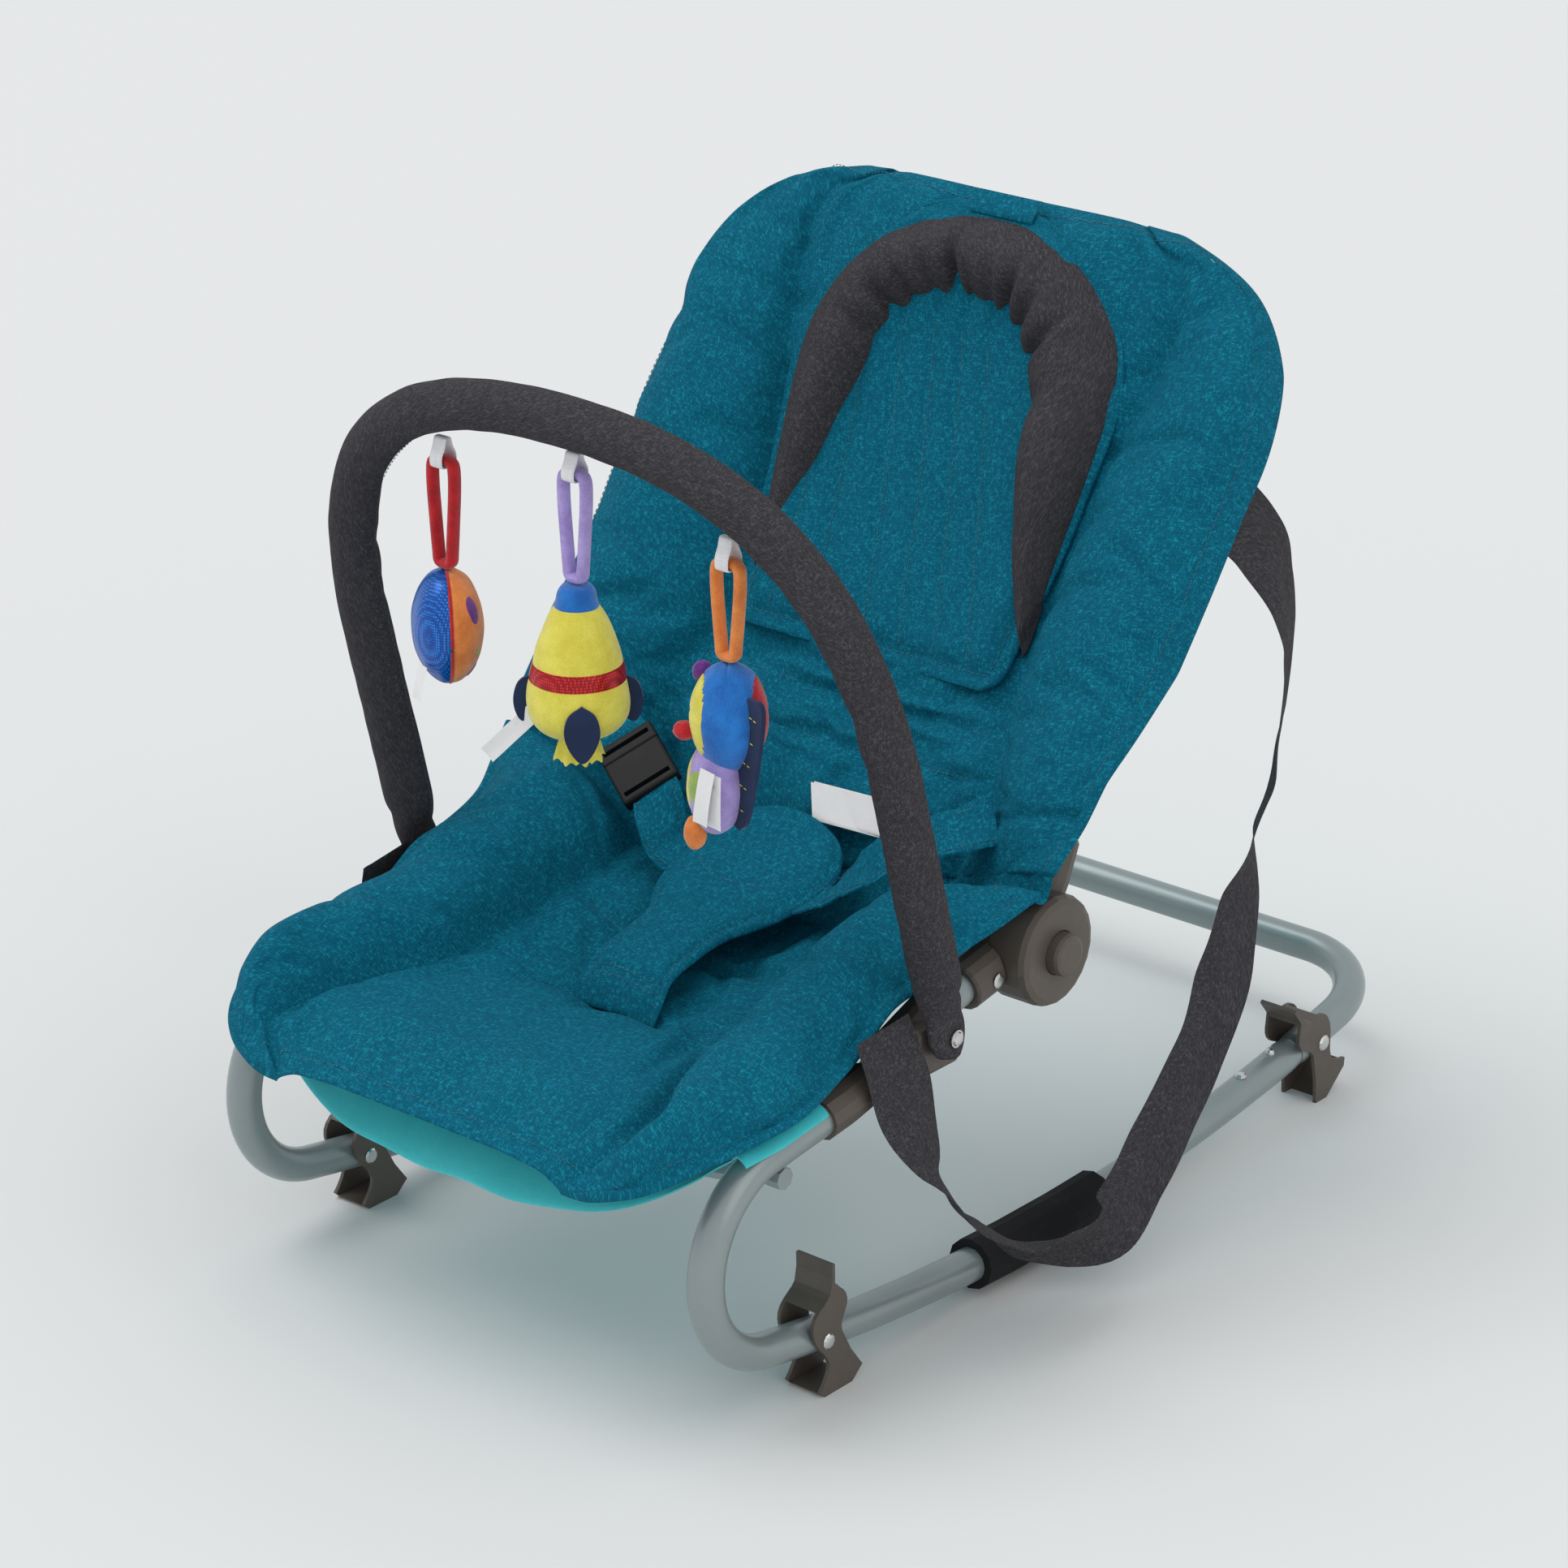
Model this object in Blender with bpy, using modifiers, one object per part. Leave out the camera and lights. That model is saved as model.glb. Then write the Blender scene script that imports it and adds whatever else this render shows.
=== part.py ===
"""Baby rocker: a bent steel rocker frame, a padded seat with a reclining back, a toy bar and four stands.

Metres. X runs across the rocker, +Y to the rear and +Z up. The origin is on the floor, in the middle.
"""
import math

import bmesh
import bpy
from mathutils import Matrix, Vector

# Running and seating gaps
GAP = 0.0003
BORE_PLAY = 0.0005

# Steel frame
TUBE_RADIUS = 0.011
RAIL_X = 0.187
ROCKER_RADIUS = 1.55
ROCKER_LOW_Y = 0.0005
RAIL_CHORD = 0.050
FRONT_BEND_Y = -0.3335
FRONT_BEND_RADIUS = 0.0634
SEAT_RISE = math.radians(7.0)
SEAT_BEND_Y = -0.2125
RAIL_JOINT_Y = 0.2545
SPIGOT_LENGTH = 0.050
SPIGOT_RADIUS = 0.0085
CROSSBAR_Y = 0.3645
REAR_BEND_RADIUS = 0.060
SEAT_CROSSBAR_Y = -0.2695
SEAT_CROSSBAR_RADIUS = 0.007
SEAT_CROSSBAR_BOW = 0.016
COLLAR_LENGTH = 0.044
COLLAR_REAR = 0.024
COLLAR_WALL = 0.0028
SNAP_RADIUS = 0.0033
SNAP_WELL = 0.0055
SNAP_TRAVEL = 0.003

# Foam sleeves on the rails
FOAM_RADIUS = 0.0165
FOAM_FLOOR_GAP = 0.001
FOAM_FRONT_Y = -0.0865
FOAM_LENGTH = 0.126

# Recline hubs
HUB_Y = -0.0415
HUB_Z = 0.222
HUB_RADIUS = 0.035
ARM_RISE = math.radians(10.0)
ARM_RADIUS = 0.0155
ARM_LENGTH = 0.061
ARM_RIVET_REACH = 0.043
HUB_INNER_X = 0.170
HUB_SPLIT_X = 0.1872
HUB_OUTER_X = 0.216
GEAR_RADIUS = 0.019
GEAR_TEETH = 8
GEAR_LENGTH = 0.0265
BUTTON_RADIUS = 0.0135
BUTTON_PROUD = 0.0085
BUTTON_TRAVEL = 0.005
HUB_WALL = 0.0055
SPRING_WIRE = 0.0007
SPRING_TURNS = 3
ARM_RIVET_SHANK = 0.0026

# Back tube, in the plane of the back
BACK_ANGLE = math.radians(57.5)
BACK_TUBE_RADIUS = 0.0095
BACK_TUBE_X = 0.212
BACK_TUBE_TOP = 0.428
BACK_CORNER_RADIUS = 0.095
BACK_ARM_LENGTH = 0.068

# Swing-down stands
STAND_FRONT_Y = -0.2395
STAND_REAR_Y = 0.274
STAND_WALL = 0.0025
STAND_REAR_TURN = math.radians(40.0)
STAND_RIVET_RADIUS = 0.0026

# Toy bar
BAR_PIVOT_Y = -0.1455
BAR_PIVOT_Z = 0.204
BAR_TILT = math.radians(15.0)
BAR_END_X = 0.2125
BAR_HALF_WIDTH = 0.210
BAR_HEIGHT = 0.371
BAR_LEG = 0.160
BAR_HANDLE = 0.145
BAR_RADIUS = 0.0153
BAR_TUBE_RADIUS = 0.0075
BAR_END_HALF = 0.0062
BAR_TUBE_END_HALF = 0.0032
BAR_BOLT_SHANK = 0.0026
BRACKET_LENGTH = 0.052
BRACKET_RADIUS = 0.0148
BRACKET_PLAY = 0.0009
BRACKET_FACE_X = BAR_END_X - BAR_END_HALF - GAP

# Padding and straps
SLING_THICKNESS = 0.0016
SEAT_SAG = 0.026
SEAT_NOSE_DROP = 0.036
BACK_SAG = 0.028
SEAT_CROWN = 0.030
BACK_CROWN = 0.014
CREASE_DEPTH = 0.004
MIDDLE_PUFF = 0.004
SEAM_HALF_WIDTH = 0.010
SEAM_DEPTH = 0.005
SOFT_GAP = 0.0015
INSERT_GAP = 0.0020
ROLL_GAP = 0.0008
PAD_THINNEST = 0.007
HARDWARE_X = 0.140
PAD_ROWS = 13
INSERT_THICKNESS = 0.009
INSERT_EDGE = 0.0022
ROLL_RADIUS = 0.028
ROLL_RISE = 0.022
STRAP_WIDTH = 0.045
STRAP_THICKNESS = 0.003

RIGHT_AND_LEFT = (("right", 1), ("left", -1))


# Scene, collections and finishes
for old in list(bpy.data.objects):
    bpy.data.objects.remove(old, do_unlink=True)


def new_collection(name):
    made = bpy.data.collections.new(name)
    bpy.context.scene.collection.children.link(made)
    return made


PARTS = new_collection("baby_rocker")
CUTTERS = new_collection("cutters")


def finish(name, colour, roughness, metallic=0.0):
    material = bpy.data.materials.new(name)
    material.use_nodes = True
    shader = material.node_tree.nodes["Principled BSDF"]
    shader.inputs["Base Color"].default_value = (*colour, 1.0)
    shader.inputs["Roughness"].default_value = roughness
    shader.inputs["Metallic"].default_value = metallic
    material.diffuse_color = (*colour, 1.0)
    return material


PAINT = finish("silver_paint", (0.34, 0.40, 0.41), 0.35, 0.4)
PLASTIC = finish("taupe_plastic", (0.085, 0.070, 0.058), 0.5)
ZINC = finish("zinc_steel", (0.62, 0.62, 0.60), 0.3, 1.0)
FOAM = finish("black_foam", (0.012, 0.012, 0.012), 0.9)
TEAL = finish("teal_fabric", (0.008, 0.115, 0.165), 0.9)
TURQUOISE = finish("turquoise_lining", (0.02, 0.52, 0.56), 0.8)
GREY = finish("grey_fabric", (0.065, 0.058, 0.066), 0.9)
BLACK = finish("black_plastic", (0.01, 0.01, 0.011), 0.4)
BLUE = finish("blue_plush", (0.01, 0.16, 0.55), 0.9)
YELLOW = finish("yellow_plush", (0.80, 0.72, 0.08), 0.9)
RED = finish("red_plush", (0.50, 0.01, 0.02), 0.9)
LILAC = finish("lilac_plush", (0.42, 0.32, 0.68), 0.9)
ORANGE = finish("orange_plush", (0.85, 0.25, 0.05), 0.9)


# Mesh helpers
def mesh_from(work):
    mesh = bpy.data.meshes.new("shape")
    work.to_mesh(mesh)
    work.free()
    return mesh


def welded(mesh, distance=0.00001):
    work = bmesh.new()
    work.from_mesh(mesh)
    bmesh.ops.remove_doubles(work, verts=work.verts, dist=distance)
    bmesh.ops.recalc_face_normals(work, faces=work.faces)
    work.to_mesh(mesh)
    work.free()
    return mesh


def evaluated(source):
    """The object's mesh after its modifiers, in world coordinates. The object is removed."""
    graph = bpy.context.evaluated_depsgraph_get()
    mesh = bpy.data.meshes.new_from_object(source.evaluated_get(graph))
    mesh.transform(source.matrix_world)
    bpy.data.objects.remove(source, do_unlink=True)
    return welded(mesh)


def scratch_object(data):
    made = bpy.data.objects.new("scratch", data)
    bpy.context.scene.collection.objects.link(made)
    bpy.context.view_layer.update()
    return made


def tube(points, radius, resolution=4):
    """A round tube with closed ends along a run of points."""
    curve = bpy.data.curves.new("run", "CURVE")
    curve.dimensions = "3D"
    curve.bevel_depth = radius
    curve.bevel_resolution = resolution
    curve.use_fill_caps = True
    spline = curve.splines.new("POLY")
    spline.points.add(len(points) - 1)
    for knot, place in zip(spline.points, points):
        knot.co = (*place, 1.0)
    return evaluated(scratch_object(curve))


def plate(outline, low, high, resolution=3):
    """A flat outline in the YZ plane, (y, z, corner) triples, given thickness from x low to high."""
    curve = bpy.data.curves.new("outline", "CURVE")
    curve.dimensions = "2D"
    curve.fill_mode = "BOTH"
    curve.extrude = (high - low) / 2
    curve.resolution_u = resolution
    spline = curve.splines.new("BEZIER")
    spline.bezier_points.add(len(outline) - 1)
    spline.use_cyclic_u = True
    for knot, (y, z, corner) in zip(spline.bezier_points, outline):
        knot.co = (y, z, 0.0)
        knot.handle_left_type = "VECTOR" if corner else "AUTO"
        knot.handle_right_type = "VECTOR" if corner else "AUTO"
    made = scratch_object(curve)
    across = Matrix(((0, 0, 1, (low + high) / 2), (1, 0, 0, 0), (0, 1, 0, 0), (0, 0, 0, 1)))
    made.matrix_world = across
    bpy.context.view_layer.update()
    return evaluated(made)


def facing(direction, place):
    """A matrix that turns +Z to the direction and moves the origin to the place."""
    turn = Vector((0, 0, 1)).rotation_difference(Vector(direction)).to_matrix().to_4x4()
    return Matrix.Translation(Vector(place)) @ turn


def cylinder(radius, start, end, sides=16):
    start = Vector(start)
    end = Vector(end)
    work = bmesh.new()
    spot = facing(end - start, (start + end) / 2)
    bmesh.ops.create_cone(work, cap_ends=True, segments=sides, radius1=radius, radius2=radius,
                          depth=(end - start).length, matrix=spot)
    return mesh_from(work)


def block(low, high, bevel=0.0):
    """A box between two corners, with its edges rounded in two steps."""
    low = Vector(low)
    high = Vector(high)
    work = bmesh.new()
    bmesh.ops.create_cube(work, size=1.0)
    bmesh.ops.scale(work, vec=high - low, verts=work.verts)
    bmesh.ops.translate(work, vec=(low + high) / 2, verts=work.verts)
    if bevel:
        bmesh.ops.bevel(work, geom=list(work.edges), offset=bevel, segments=2, profile=0.5,
                        affect="EDGES")
    return mesh_from(work)


def turned(profile, steps, direction, place):
    """A turned shape: (radius, height) pairs from the top down, spun about the direction."""
    mesh = bpy.data.meshes.new("profile")
    rim = [(radius, 0.0, height) for radius, height in profile]
    mesh.from_pydata(rim, [(i, i + 1) for i in range(len(rim) - 1)], [])
    made = scratch_object(mesh)
    spin = made.modifiers.new("Screw", "SCREW")
    spin.axis = "Z"
    spin.angle = math.tau
    spin.steps = steps
    spin.render_steps = steps
    spin.use_merge_vertices = True
    spin.merge_threshold = 0.00001
    made.matrix_world = facing(direction, place)
    bpy.context.view_layer.update()
    return evaluated(made)


def loft(rings, caps=True, closed=False):
    """A skin through rings of equal counts, with the ends capped or the last joined to the first."""
    work = bmesh.new()
    loops = [[work.verts.new(point) for point in ring] for ring in rings]
    count = len(rings[0])
    pairs = list(zip(loops, loops[1:]))
    if closed:
        pairs.append((loops[-1], loops[0]))
    for near, far in pairs:
        for i in range(count):
            work.faces.new((near[i], near[(i + 1) % count], far[(i + 1) % count], far[i]))
    bmesh.ops.triangulate(work, faces=list(work.faces), quad_method="FIXED")
    if caps and not closed:
        work.faces.new(reversed(loops[0]))
        work.faces.new(loops[-1])
    bmesh.ops.recalc_face_normals(work, faces=work.faces)
    return mesh_from(work)


def sheet(front, rear):
    """A closed solid between two grids of points, their facets alike, joined round the rim."""
    work = bmesh.new()
    near = [[work.verts.new(point) for point in row] for row in front]
    far = [[work.verts.new(point) for point in row] for row in rear]
    rows = len(front)
    columns = len(front[0])
    for grid in (near, far):
        for r in range(rows - 1):
            for k in range(columns - 1):
                a, b, c, d = grid[r][k], grid[r][k + 1], grid[r + 1][k + 1], grid[r + 1][k]
                if k < columns // 2:
                    work.faces.new((a, b, c))
                    work.faces.new((a, c, d))
                else:
                    work.faces.new((a, b, d))
                    work.faces.new((b, c, d))
    for r in (0, rows - 1):
        for k in range(columns - 1):
            work.faces.new((near[r][k], near[r][k + 1], far[r][k + 1], far[r][k]))
    for k in (0, columns - 1):
        for r in range(rows - 1):
            work.faces.new((near[r][k], near[r + 1][k], far[r + 1][k], far[r][k]))
    bmesh.ops.recalc_face_normals(work, faces=work.faces)
    return mesh_from(work)


# Placing pieces
def mirrored(mesh):
    mesh.transform(Matrix.Scale(-1, 4, (1, 0, 0)))
    mesh.flip_normals()
    return mesh


def piece(name, mesh, material, side=1, origin=(0.0, 0.0, 0.0), smooth=40.0):
    """A named part from a mesh in world coordinates, with its origin at a chosen place."""
    spot = Vector((origin[0] * side, origin[1], origin[2]))
    if side < 0:
        mirrored(mesh)
    mesh.transform(Matrix.Translation(-spot))
    mesh.materials.clear()
    mesh.materials.append(material)
    mesh.shade_smooth()
    mesh.set_sharp_from_angle(angle=math.radians(smooth))
    made = bpy.data.objects.new(name, mesh)
    made.location = spot
    PARTS.objects.link(made)
    return made


def combine(target, mesh, operation, side=1):
    """Cut a mesh from a part, or join it on, with a live Boolean."""
    if side < 0:
        mirrored(mesh)
    label = "cutter" if operation == "DIFFERENCE" else "boss"
    tool = bpy.data.objects.new(f"{target.name}_{label}_{len(target.modifiers) + 1}", mesh)
    tool.hide_render = True
    tool.display_type = "WIRE"
    CUTTERS.objects.link(tool)
    step = target.modifiers.new(tool.name, "BOOLEAN")
    step.operation = operation
    step.solver = "EXACT"
    step.object = tool


def cut(target, mesh, side=1):
    combine(target, mesh, "DIFFERENCE", side)


def join(target, mesh, side=1):
    combine(target, mesh, "UNION", side)


# Paths in the YZ plane
def on_rocker(y):
    drop = math.sqrt(ROCKER_RADIUS ** 2 - (y - ROCKER_LOW_Y) ** 2)
    return RAIL_LOW_Z + ROCKER_RADIUS - drop


def rail_height(y):
    """Height of the rail's centre line, which every piece on the rail follows chord by chord."""
    low = math.floor(y / RAIL_CHORD) * RAIL_CHORD
    f = (y - low) / RAIL_CHORD
    return on_rocker(low) * (1 - f) + on_rocker(low + RAIL_CHORD) * f


def rail_run(start, end):
    """The rail's centre line between two places along it, rear to front or front to rear."""
    low = min(start, end)
    high = max(start, end)
    ys = [low]
    knot = math.ceil((low + RAIL_CHORD * 0.05) / RAIL_CHORD)
    while knot * RAIL_CHORD < high - RAIL_CHORD * 0.05:
        ys.append(knot * RAIL_CHORD)
        knot += 1
    ys.append(high)
    if end < start:
        ys.reverse()
    return [(y, rail_height(y)) for y in ys]


def arc(centre, radius, start, end, count):
    angles = [start + (end - start) * i / (count - 1) for i in range(count)]
    return [(centre[0] + radius * math.cos(a), centre[1] + radius * math.sin(a)) for a in angles]


def bezier(a, b, c, d, count):
    """Points on a cubic curve, without its first one."""
    run = []
    for i in range(1, count + 1):
        t = i / count
        u = 1 - t
        weights = (u ** 3, 3 * u * u * t, 3 * u * t * t, t ** 3)
        run.append(tuple(sum(w * p[k] for w, p in zip(weights, (a, b, c, d))) for k in range(len(a))))
    return run


def smooth_through(values, t):
    """A smooth value at t from (t, value, ...) rows: a cubic with the rows' own slopes."""
    rows = sorted(values)
    if t <= rows[0][0]:
        return rows[0][1:]
    if t >= rows[-1][0]:
        return rows[-1][1:]
    i = max(k for k in range(len(rows)) if rows[k][0] <= t)
    before = rows[max(i - 1, 0)]
    here = rows[i]
    after = rows[i + 1]
    beyond = rows[min(i + 2, len(rows) - 1)]
    span = after[0] - here[0]
    f = (t - here[0]) / span
    result = []
    for k in range(1, len(here)):
        slope_a = (after[k] - before[k]) / max(after[0] - before[0], 1e-9) * span
        slope_b = (beyond[k] - here[k]) / max(beyond[0] - here[0], 1e-9) * span
        h00 = 2 * f ** 3 - 3 * f ** 2 + 1
        h10 = f ** 3 - 2 * f ** 2 + f
        h01 = -2 * f ** 3 + 3 * f ** 2
        h11 = f ** 3 - f ** 2
        result.append(h00 * here[k] + h10 * slope_a + h01 * after[k] + h11 * slope_b)
    return tuple(result)


RAIL_LOW_Z = FOAM_RADIUS + FOAM_FLOOR_GAP

ARM_DIRECTION = (math.cos(ARM_RISE), math.sin(ARM_RISE))
BACK_UP = (math.cos(BACK_ANGLE), math.sin(BACK_ANGLE))
BACK_OUT = (-math.sin(BACK_ANGLE), math.cos(BACK_ANGLE))


def from_hub(reach):
    """A point on the seat arm's axis, so far in front of the hub."""
    return (HUB_Y - reach * ARM_DIRECTION[0], HUB_Z - reach * ARM_DIRECTION[1])


def back_point(x, up, out=0.0):
    """A point of the back from its place across, up the back and out of its plane."""
    y = HUB_Y + up * BACK_UP[0] + out * BACK_OUT[0]
    z = HUB_Z + up * BACK_UP[1] + out * BACK_UP[0]
    return (x, y, z)


def front_bend_centre():
    y = FRONT_BEND_Y + FRONT_BEND_RADIUS
    reach = ROCKER_RADIUS - FRONT_BEND_RADIUS
    z = RAIL_LOW_Z + ROCKER_RADIUS - math.sqrt(reach ** 2 - (y - ROCKER_LOW_Y) ** 2)
    lean = math.asin((ROCKER_LOW_Y - y) / reach)
    return (y, z), lean


def seat_line():
    """The side tube's centre line from the end of the front bend to its end inside the hub arm."""
    centre, _ = front_bend_centre()
    y = centre[0] - FRONT_BEND_RADIUS * math.sin(SEAT_RISE)
    z = centre[1] + FRONT_BEND_RADIUS * math.cos(SEAT_RISE)
    start = (y, z)
    bend = (SEAT_BEND_Y, z + (SEAT_BEND_Y - y) * math.tan(SEAT_RISE))
    entry = from_hub(ARM_LENGTH + 0.012)
    third = (entry[0] - bend[0]) / 3
    first = (bend[0] + third, bend[1] + third * math.tan(SEAT_RISE))
    second = (entry[0] - third, entry[1] - third * math.tan(ARM_RISE))
    run = [start, bend]
    run += bezier(bend, first, second, entry, 5)
    run.append(from_hub(HUB_RADIUS + 0.003))
    return run


def seat_tube_height(y):
    """Height of the side tube's centre line under the seat."""
    run = seat_line()
    if y <= run[0][0]:
        return run[0][1]
    for near, far in zip(run, run[1:]):
        if near[0] <= y <= far[0]:
            return near[1] + (far[1] - near[1]) * (y - near[0]) / (far[0] - near[0])
    return run[-1][1]


def seat_tube_run(start, end):
    inner = [(y, z) for y, z in seat_line() if start + 0.001 < y < end - 0.001]
    return [(start, seat_tube_height(start))] + inner + [(end, seat_tube_height(end))]


def on_side(run, x=RAIL_X):
    return [(x, y, z) for y, z in run]


def stand_pivot(y):
    return (RAIL_X, y, rail_height(y))


# Frame tubes
def side_tube_run():
    centre, lean = front_bend_centre()
    bend_start = centre[0] - FRONT_BEND_RADIUS * math.sin(lean)
    run = rail_run(RAIL_JOINT_Y, bend_start)[:-1]
    run += arc(centre, FRONT_BEND_RADIUS, -math.pi / 2 - lean, -1.5 * math.pi + SEAT_RISE, 12)[:-1]
    return run + seat_line()


def cross_hole(y, radius=STAND_RIVET_RADIUS + GAP):
    centre = Vector(stand_pivot(y))
    reach = Vector((TUBE_RADIUS * 2, 0, 0))
    return cylinder(radius, centre - reach, centre + reach, 12)


def snap_place():
    y = RAIL_JOINT_Y - SPIGOT_LENGTH * 0.45
    return (RAIL_X, y, rail_height(y))


def frame_tubes():
    for word, side in RIGHT_AND_LEFT:
        made = piece(f"frame_tube_{word}", tube(on_side(side_tube_run()), TUBE_RADIUS, 3), PAINT, side)
        bore_start = RAIL_JOINT_Y - SPIGOT_LENGTH - GAP
        bore = tube(on_side(rail_run(bore_start, RAIL_JOINT_Y + 0.01)), SPIGOT_RADIUS + BORE_PLAY, 3)
        cut(made, bore, side)
        cut(made, cross_hole(STAND_FRONT_Y), side)
        x, y, z = snap_place()
        cut(made, cylinder(SNAP_RADIUS + GAP, (x, y, z), (x, y, z + 0.02), 12), side)
        arm_pin = from_hub(ARM_RIVET_REACH)
        pin = (RAIL_X - 0.02, *arm_pin), (RAIL_X + 0.02, *arm_pin)
        cut(made, cylinder(ARM_RIVET_SHANK + GAP, *pin, 12), side)
        bar_pin = (RAIL_X + TUBE_RADIUS * 0.35, BAR_PIVOT_Y, BAR_PIVOT_Z)
        cut(made, cylinder(BAR_BOLT_SHANK + GAP, bar_pin, (RAIL_X + 0.03, *bar_pin[1:]), 12), side)


def rear_tube():
    slope = 0.0
    end = CROSSBAR_Y - REAR_BEND_RADIUS
    for _ in range(8):
        slope = math.asin((end - ROCKER_LOW_Y) / ROCKER_RADIUS)
        end = CROSSBAR_Y - REAR_BEND_RADIUS * math.cos(slope)
    half = on_side(rail_run(RAIL_JOINT_Y + 2 * GAP, end))
    for i in range(1, 8):
        turn = math.radians(90) * i / 7
        run = REAR_BEND_RADIUS * math.sin(turn)
        inward = REAR_BEND_RADIUS * (1 - math.cos(turn))
        rise = rail_height(end) + run * math.sin(slope)
        half.append((RAIL_X - inward, end + run * math.cos(slope), rise))
    whole = half + [(-x, y, z) for x, y, z in reversed(half)]
    made = piece("rear_tube", tube(whole, TUBE_RADIUS, 3), PAINT)
    for _, side in RIGHT_AND_LEFT:
        spigot = tube(on_side(rail_run(RAIL_JOINT_Y - SPIGOT_LENGTH, RAIL_JOINT_Y + 0.008)), SPIGOT_RADIUS, 3)
        join(made, spigot, side)
        cut(made, cross_hole(STAND_REAR_Y), side)
        x, y, z = snap_place()
        well = cylinder(SNAP_RADIUS + GAP, (x, y, z - SNAP_WELL), (x, y, z + 0.02), 12)
        cut(made, well, side)


def hollow(points, outer, inner):
    """A sleeve round a run of points: outer skin, inner skin and two flat ends."""
    first = (Vector(points[1]) - Vector(points[0])).normalized()
    last = (Vector(points[-1]) - Vector(points[-2])).normalized()
    longer = [tuple(Vector(points[0]) - first * 0.004)] + list(points[1:-1])
    longer.append(tuple(Vector(points[-1]) + last * 0.004))
    return tube(points, outer, 4), tube(longer, inner, 3)


def foam_sleeves():
    for word, side in RIGHT_AND_LEFT:
        run = on_side(rail_run(FOAM_FRONT_Y, FOAM_FRONT_Y + FOAM_LENGTH))
        skin, bore = hollow(run, FOAM_RADIUS, TUBE_RADIUS + GAP)
        made = piece(f"foam_sleeve_{word}", skin, FOAM, side)
        cut(made, bore, side)


def snap_buttons():
    for word, side in RIGHT_AND_LEFT:
        x, y, z = snap_place()
        top = TUBE_RADIUS + SNAP_TRAVEL
        foot = SNAP_TRAVEL + GAP - SNAP_WELL
        dome = [(0.0, top), (SNAP_RADIUS * 0.6, top - 0.0006), (SNAP_RADIUS * 0.93, top - 0.0018),
                (SNAP_RADIUS, top - 0.0030), (SNAP_RADIUS, foot), (0.0, foot)]
        piece(f"snap_button_{word}", turned(dome, 12, (0, 0, 1), (x, y, z)), ZINC, side, (x, y, z))


def rail_screws():
    """A pan-head screw in the top of each rail, just in front of the slip joint."""
    for word, side in RIGHT_AND_LEFT:
        y = RAIL_JOINT_Y - SPIGOT_LENGTH - 0.004
        lean = (y - ROCKER_LOW_Y) / ROCKER_RADIUS
        up = (0.0, -math.sin(lean), math.cos(lean))
        reach = TUBE_RADIUS
        spot = (RAIL_X, y + up[1] * reach, rail_height(y) + up[2] * reach)
        head = [(0.0, 0.0022), (0.0022, 0.0019), (0.0038, 0.0008), (0.0040, 0.0), (0.0, 0.0)]
        piece(f"rail_screw_{word}", turned(head, 14, up, spot), ZINC, side)


# Stands: a sinuous cheek each side of the tube, a thumb tab above and a foot below
def stand_outline():
    """The cheek's outline about its rivet, the toe to the rear, as (y, z, corner) triples."""
    foot = rail_height(STAND_FRONT_Y)
    toe_drop = rail_height(STAND_REAR_Y)
    normal = (math.cos(STAND_REAR_TURN - math.pi / 2), math.sin(STAND_REAR_TURN - math.pi / 2))
    tangent = (-normal[1], normal[0])
    heel = (toe_drop + foot * normal[1]) / normal[0]
    toe = (heel + tangent[0] * 0.0125, -foot + tangent[1] * 0.0125)
    tab = foot + 0.0125
    return [(0.0030, tab, True), (0.0055, tab, True), (0.0058, 0.0360, True), (0.0105, 0.0315, False),
            (0.0160, 0.0255, False), (0.0170, 0.0180, False), (0.0125, 0.0085, False),
            (0.0125, 0.0020, False), (toe[0], toe[1], True), (heel, -foot, True),
            (-0.0030, -foot, True), (-0.0073, -foot + 0.0040, True), (-0.0010, -0.0240, False),
            (0.0010, -0.0160, False), (-0.0045, -0.0070, False), (-0.0108, 0.0010, False),
            (-0.0142, 0.0110, False), (-0.0120, 0.0190, False), (-0.0045, 0.0250, False),
            (0.0015, 0.0300, False)]


def stand_inside():
    """The outline of the space between the cheeks, which leaves the tab and the foot plate."""
    foot = rail_height(STAND_FRONT_Y)
    return [(0.0057, 0.0700, True), (0.0080, 0.0360, True), (0.0042, 0.0290, True),
            (-0.0015, 0.0235, True), (-0.0050, 0.0215, True), (-0.0500, 0.0215, True),
            (-0.0500, -foot + 0.0028, True), (0.0600, -foot + 0.0028, True), (0.0600, 0.0700, True)]


def stand_shape(outline, low, high, spot, facing_rear):
    """Turn an outline about its rivet and place it; the rear stands face forward and are turned."""
    if facing_rear:
        turned_outline = outline
    else:
        c = math.cos(STAND_REAR_TURN)
        s = math.sin(STAND_REAR_TURN)
        turned_outline = [(-y * c - z * s, -y * s + z * c, corner) for y, z, corner in reversed(outline)]
    placed = [(spot[1] + y, spot[2] + z, corner) for y, z, corner in turned_outline]
    return plate(placed, low, high, 2)


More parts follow.
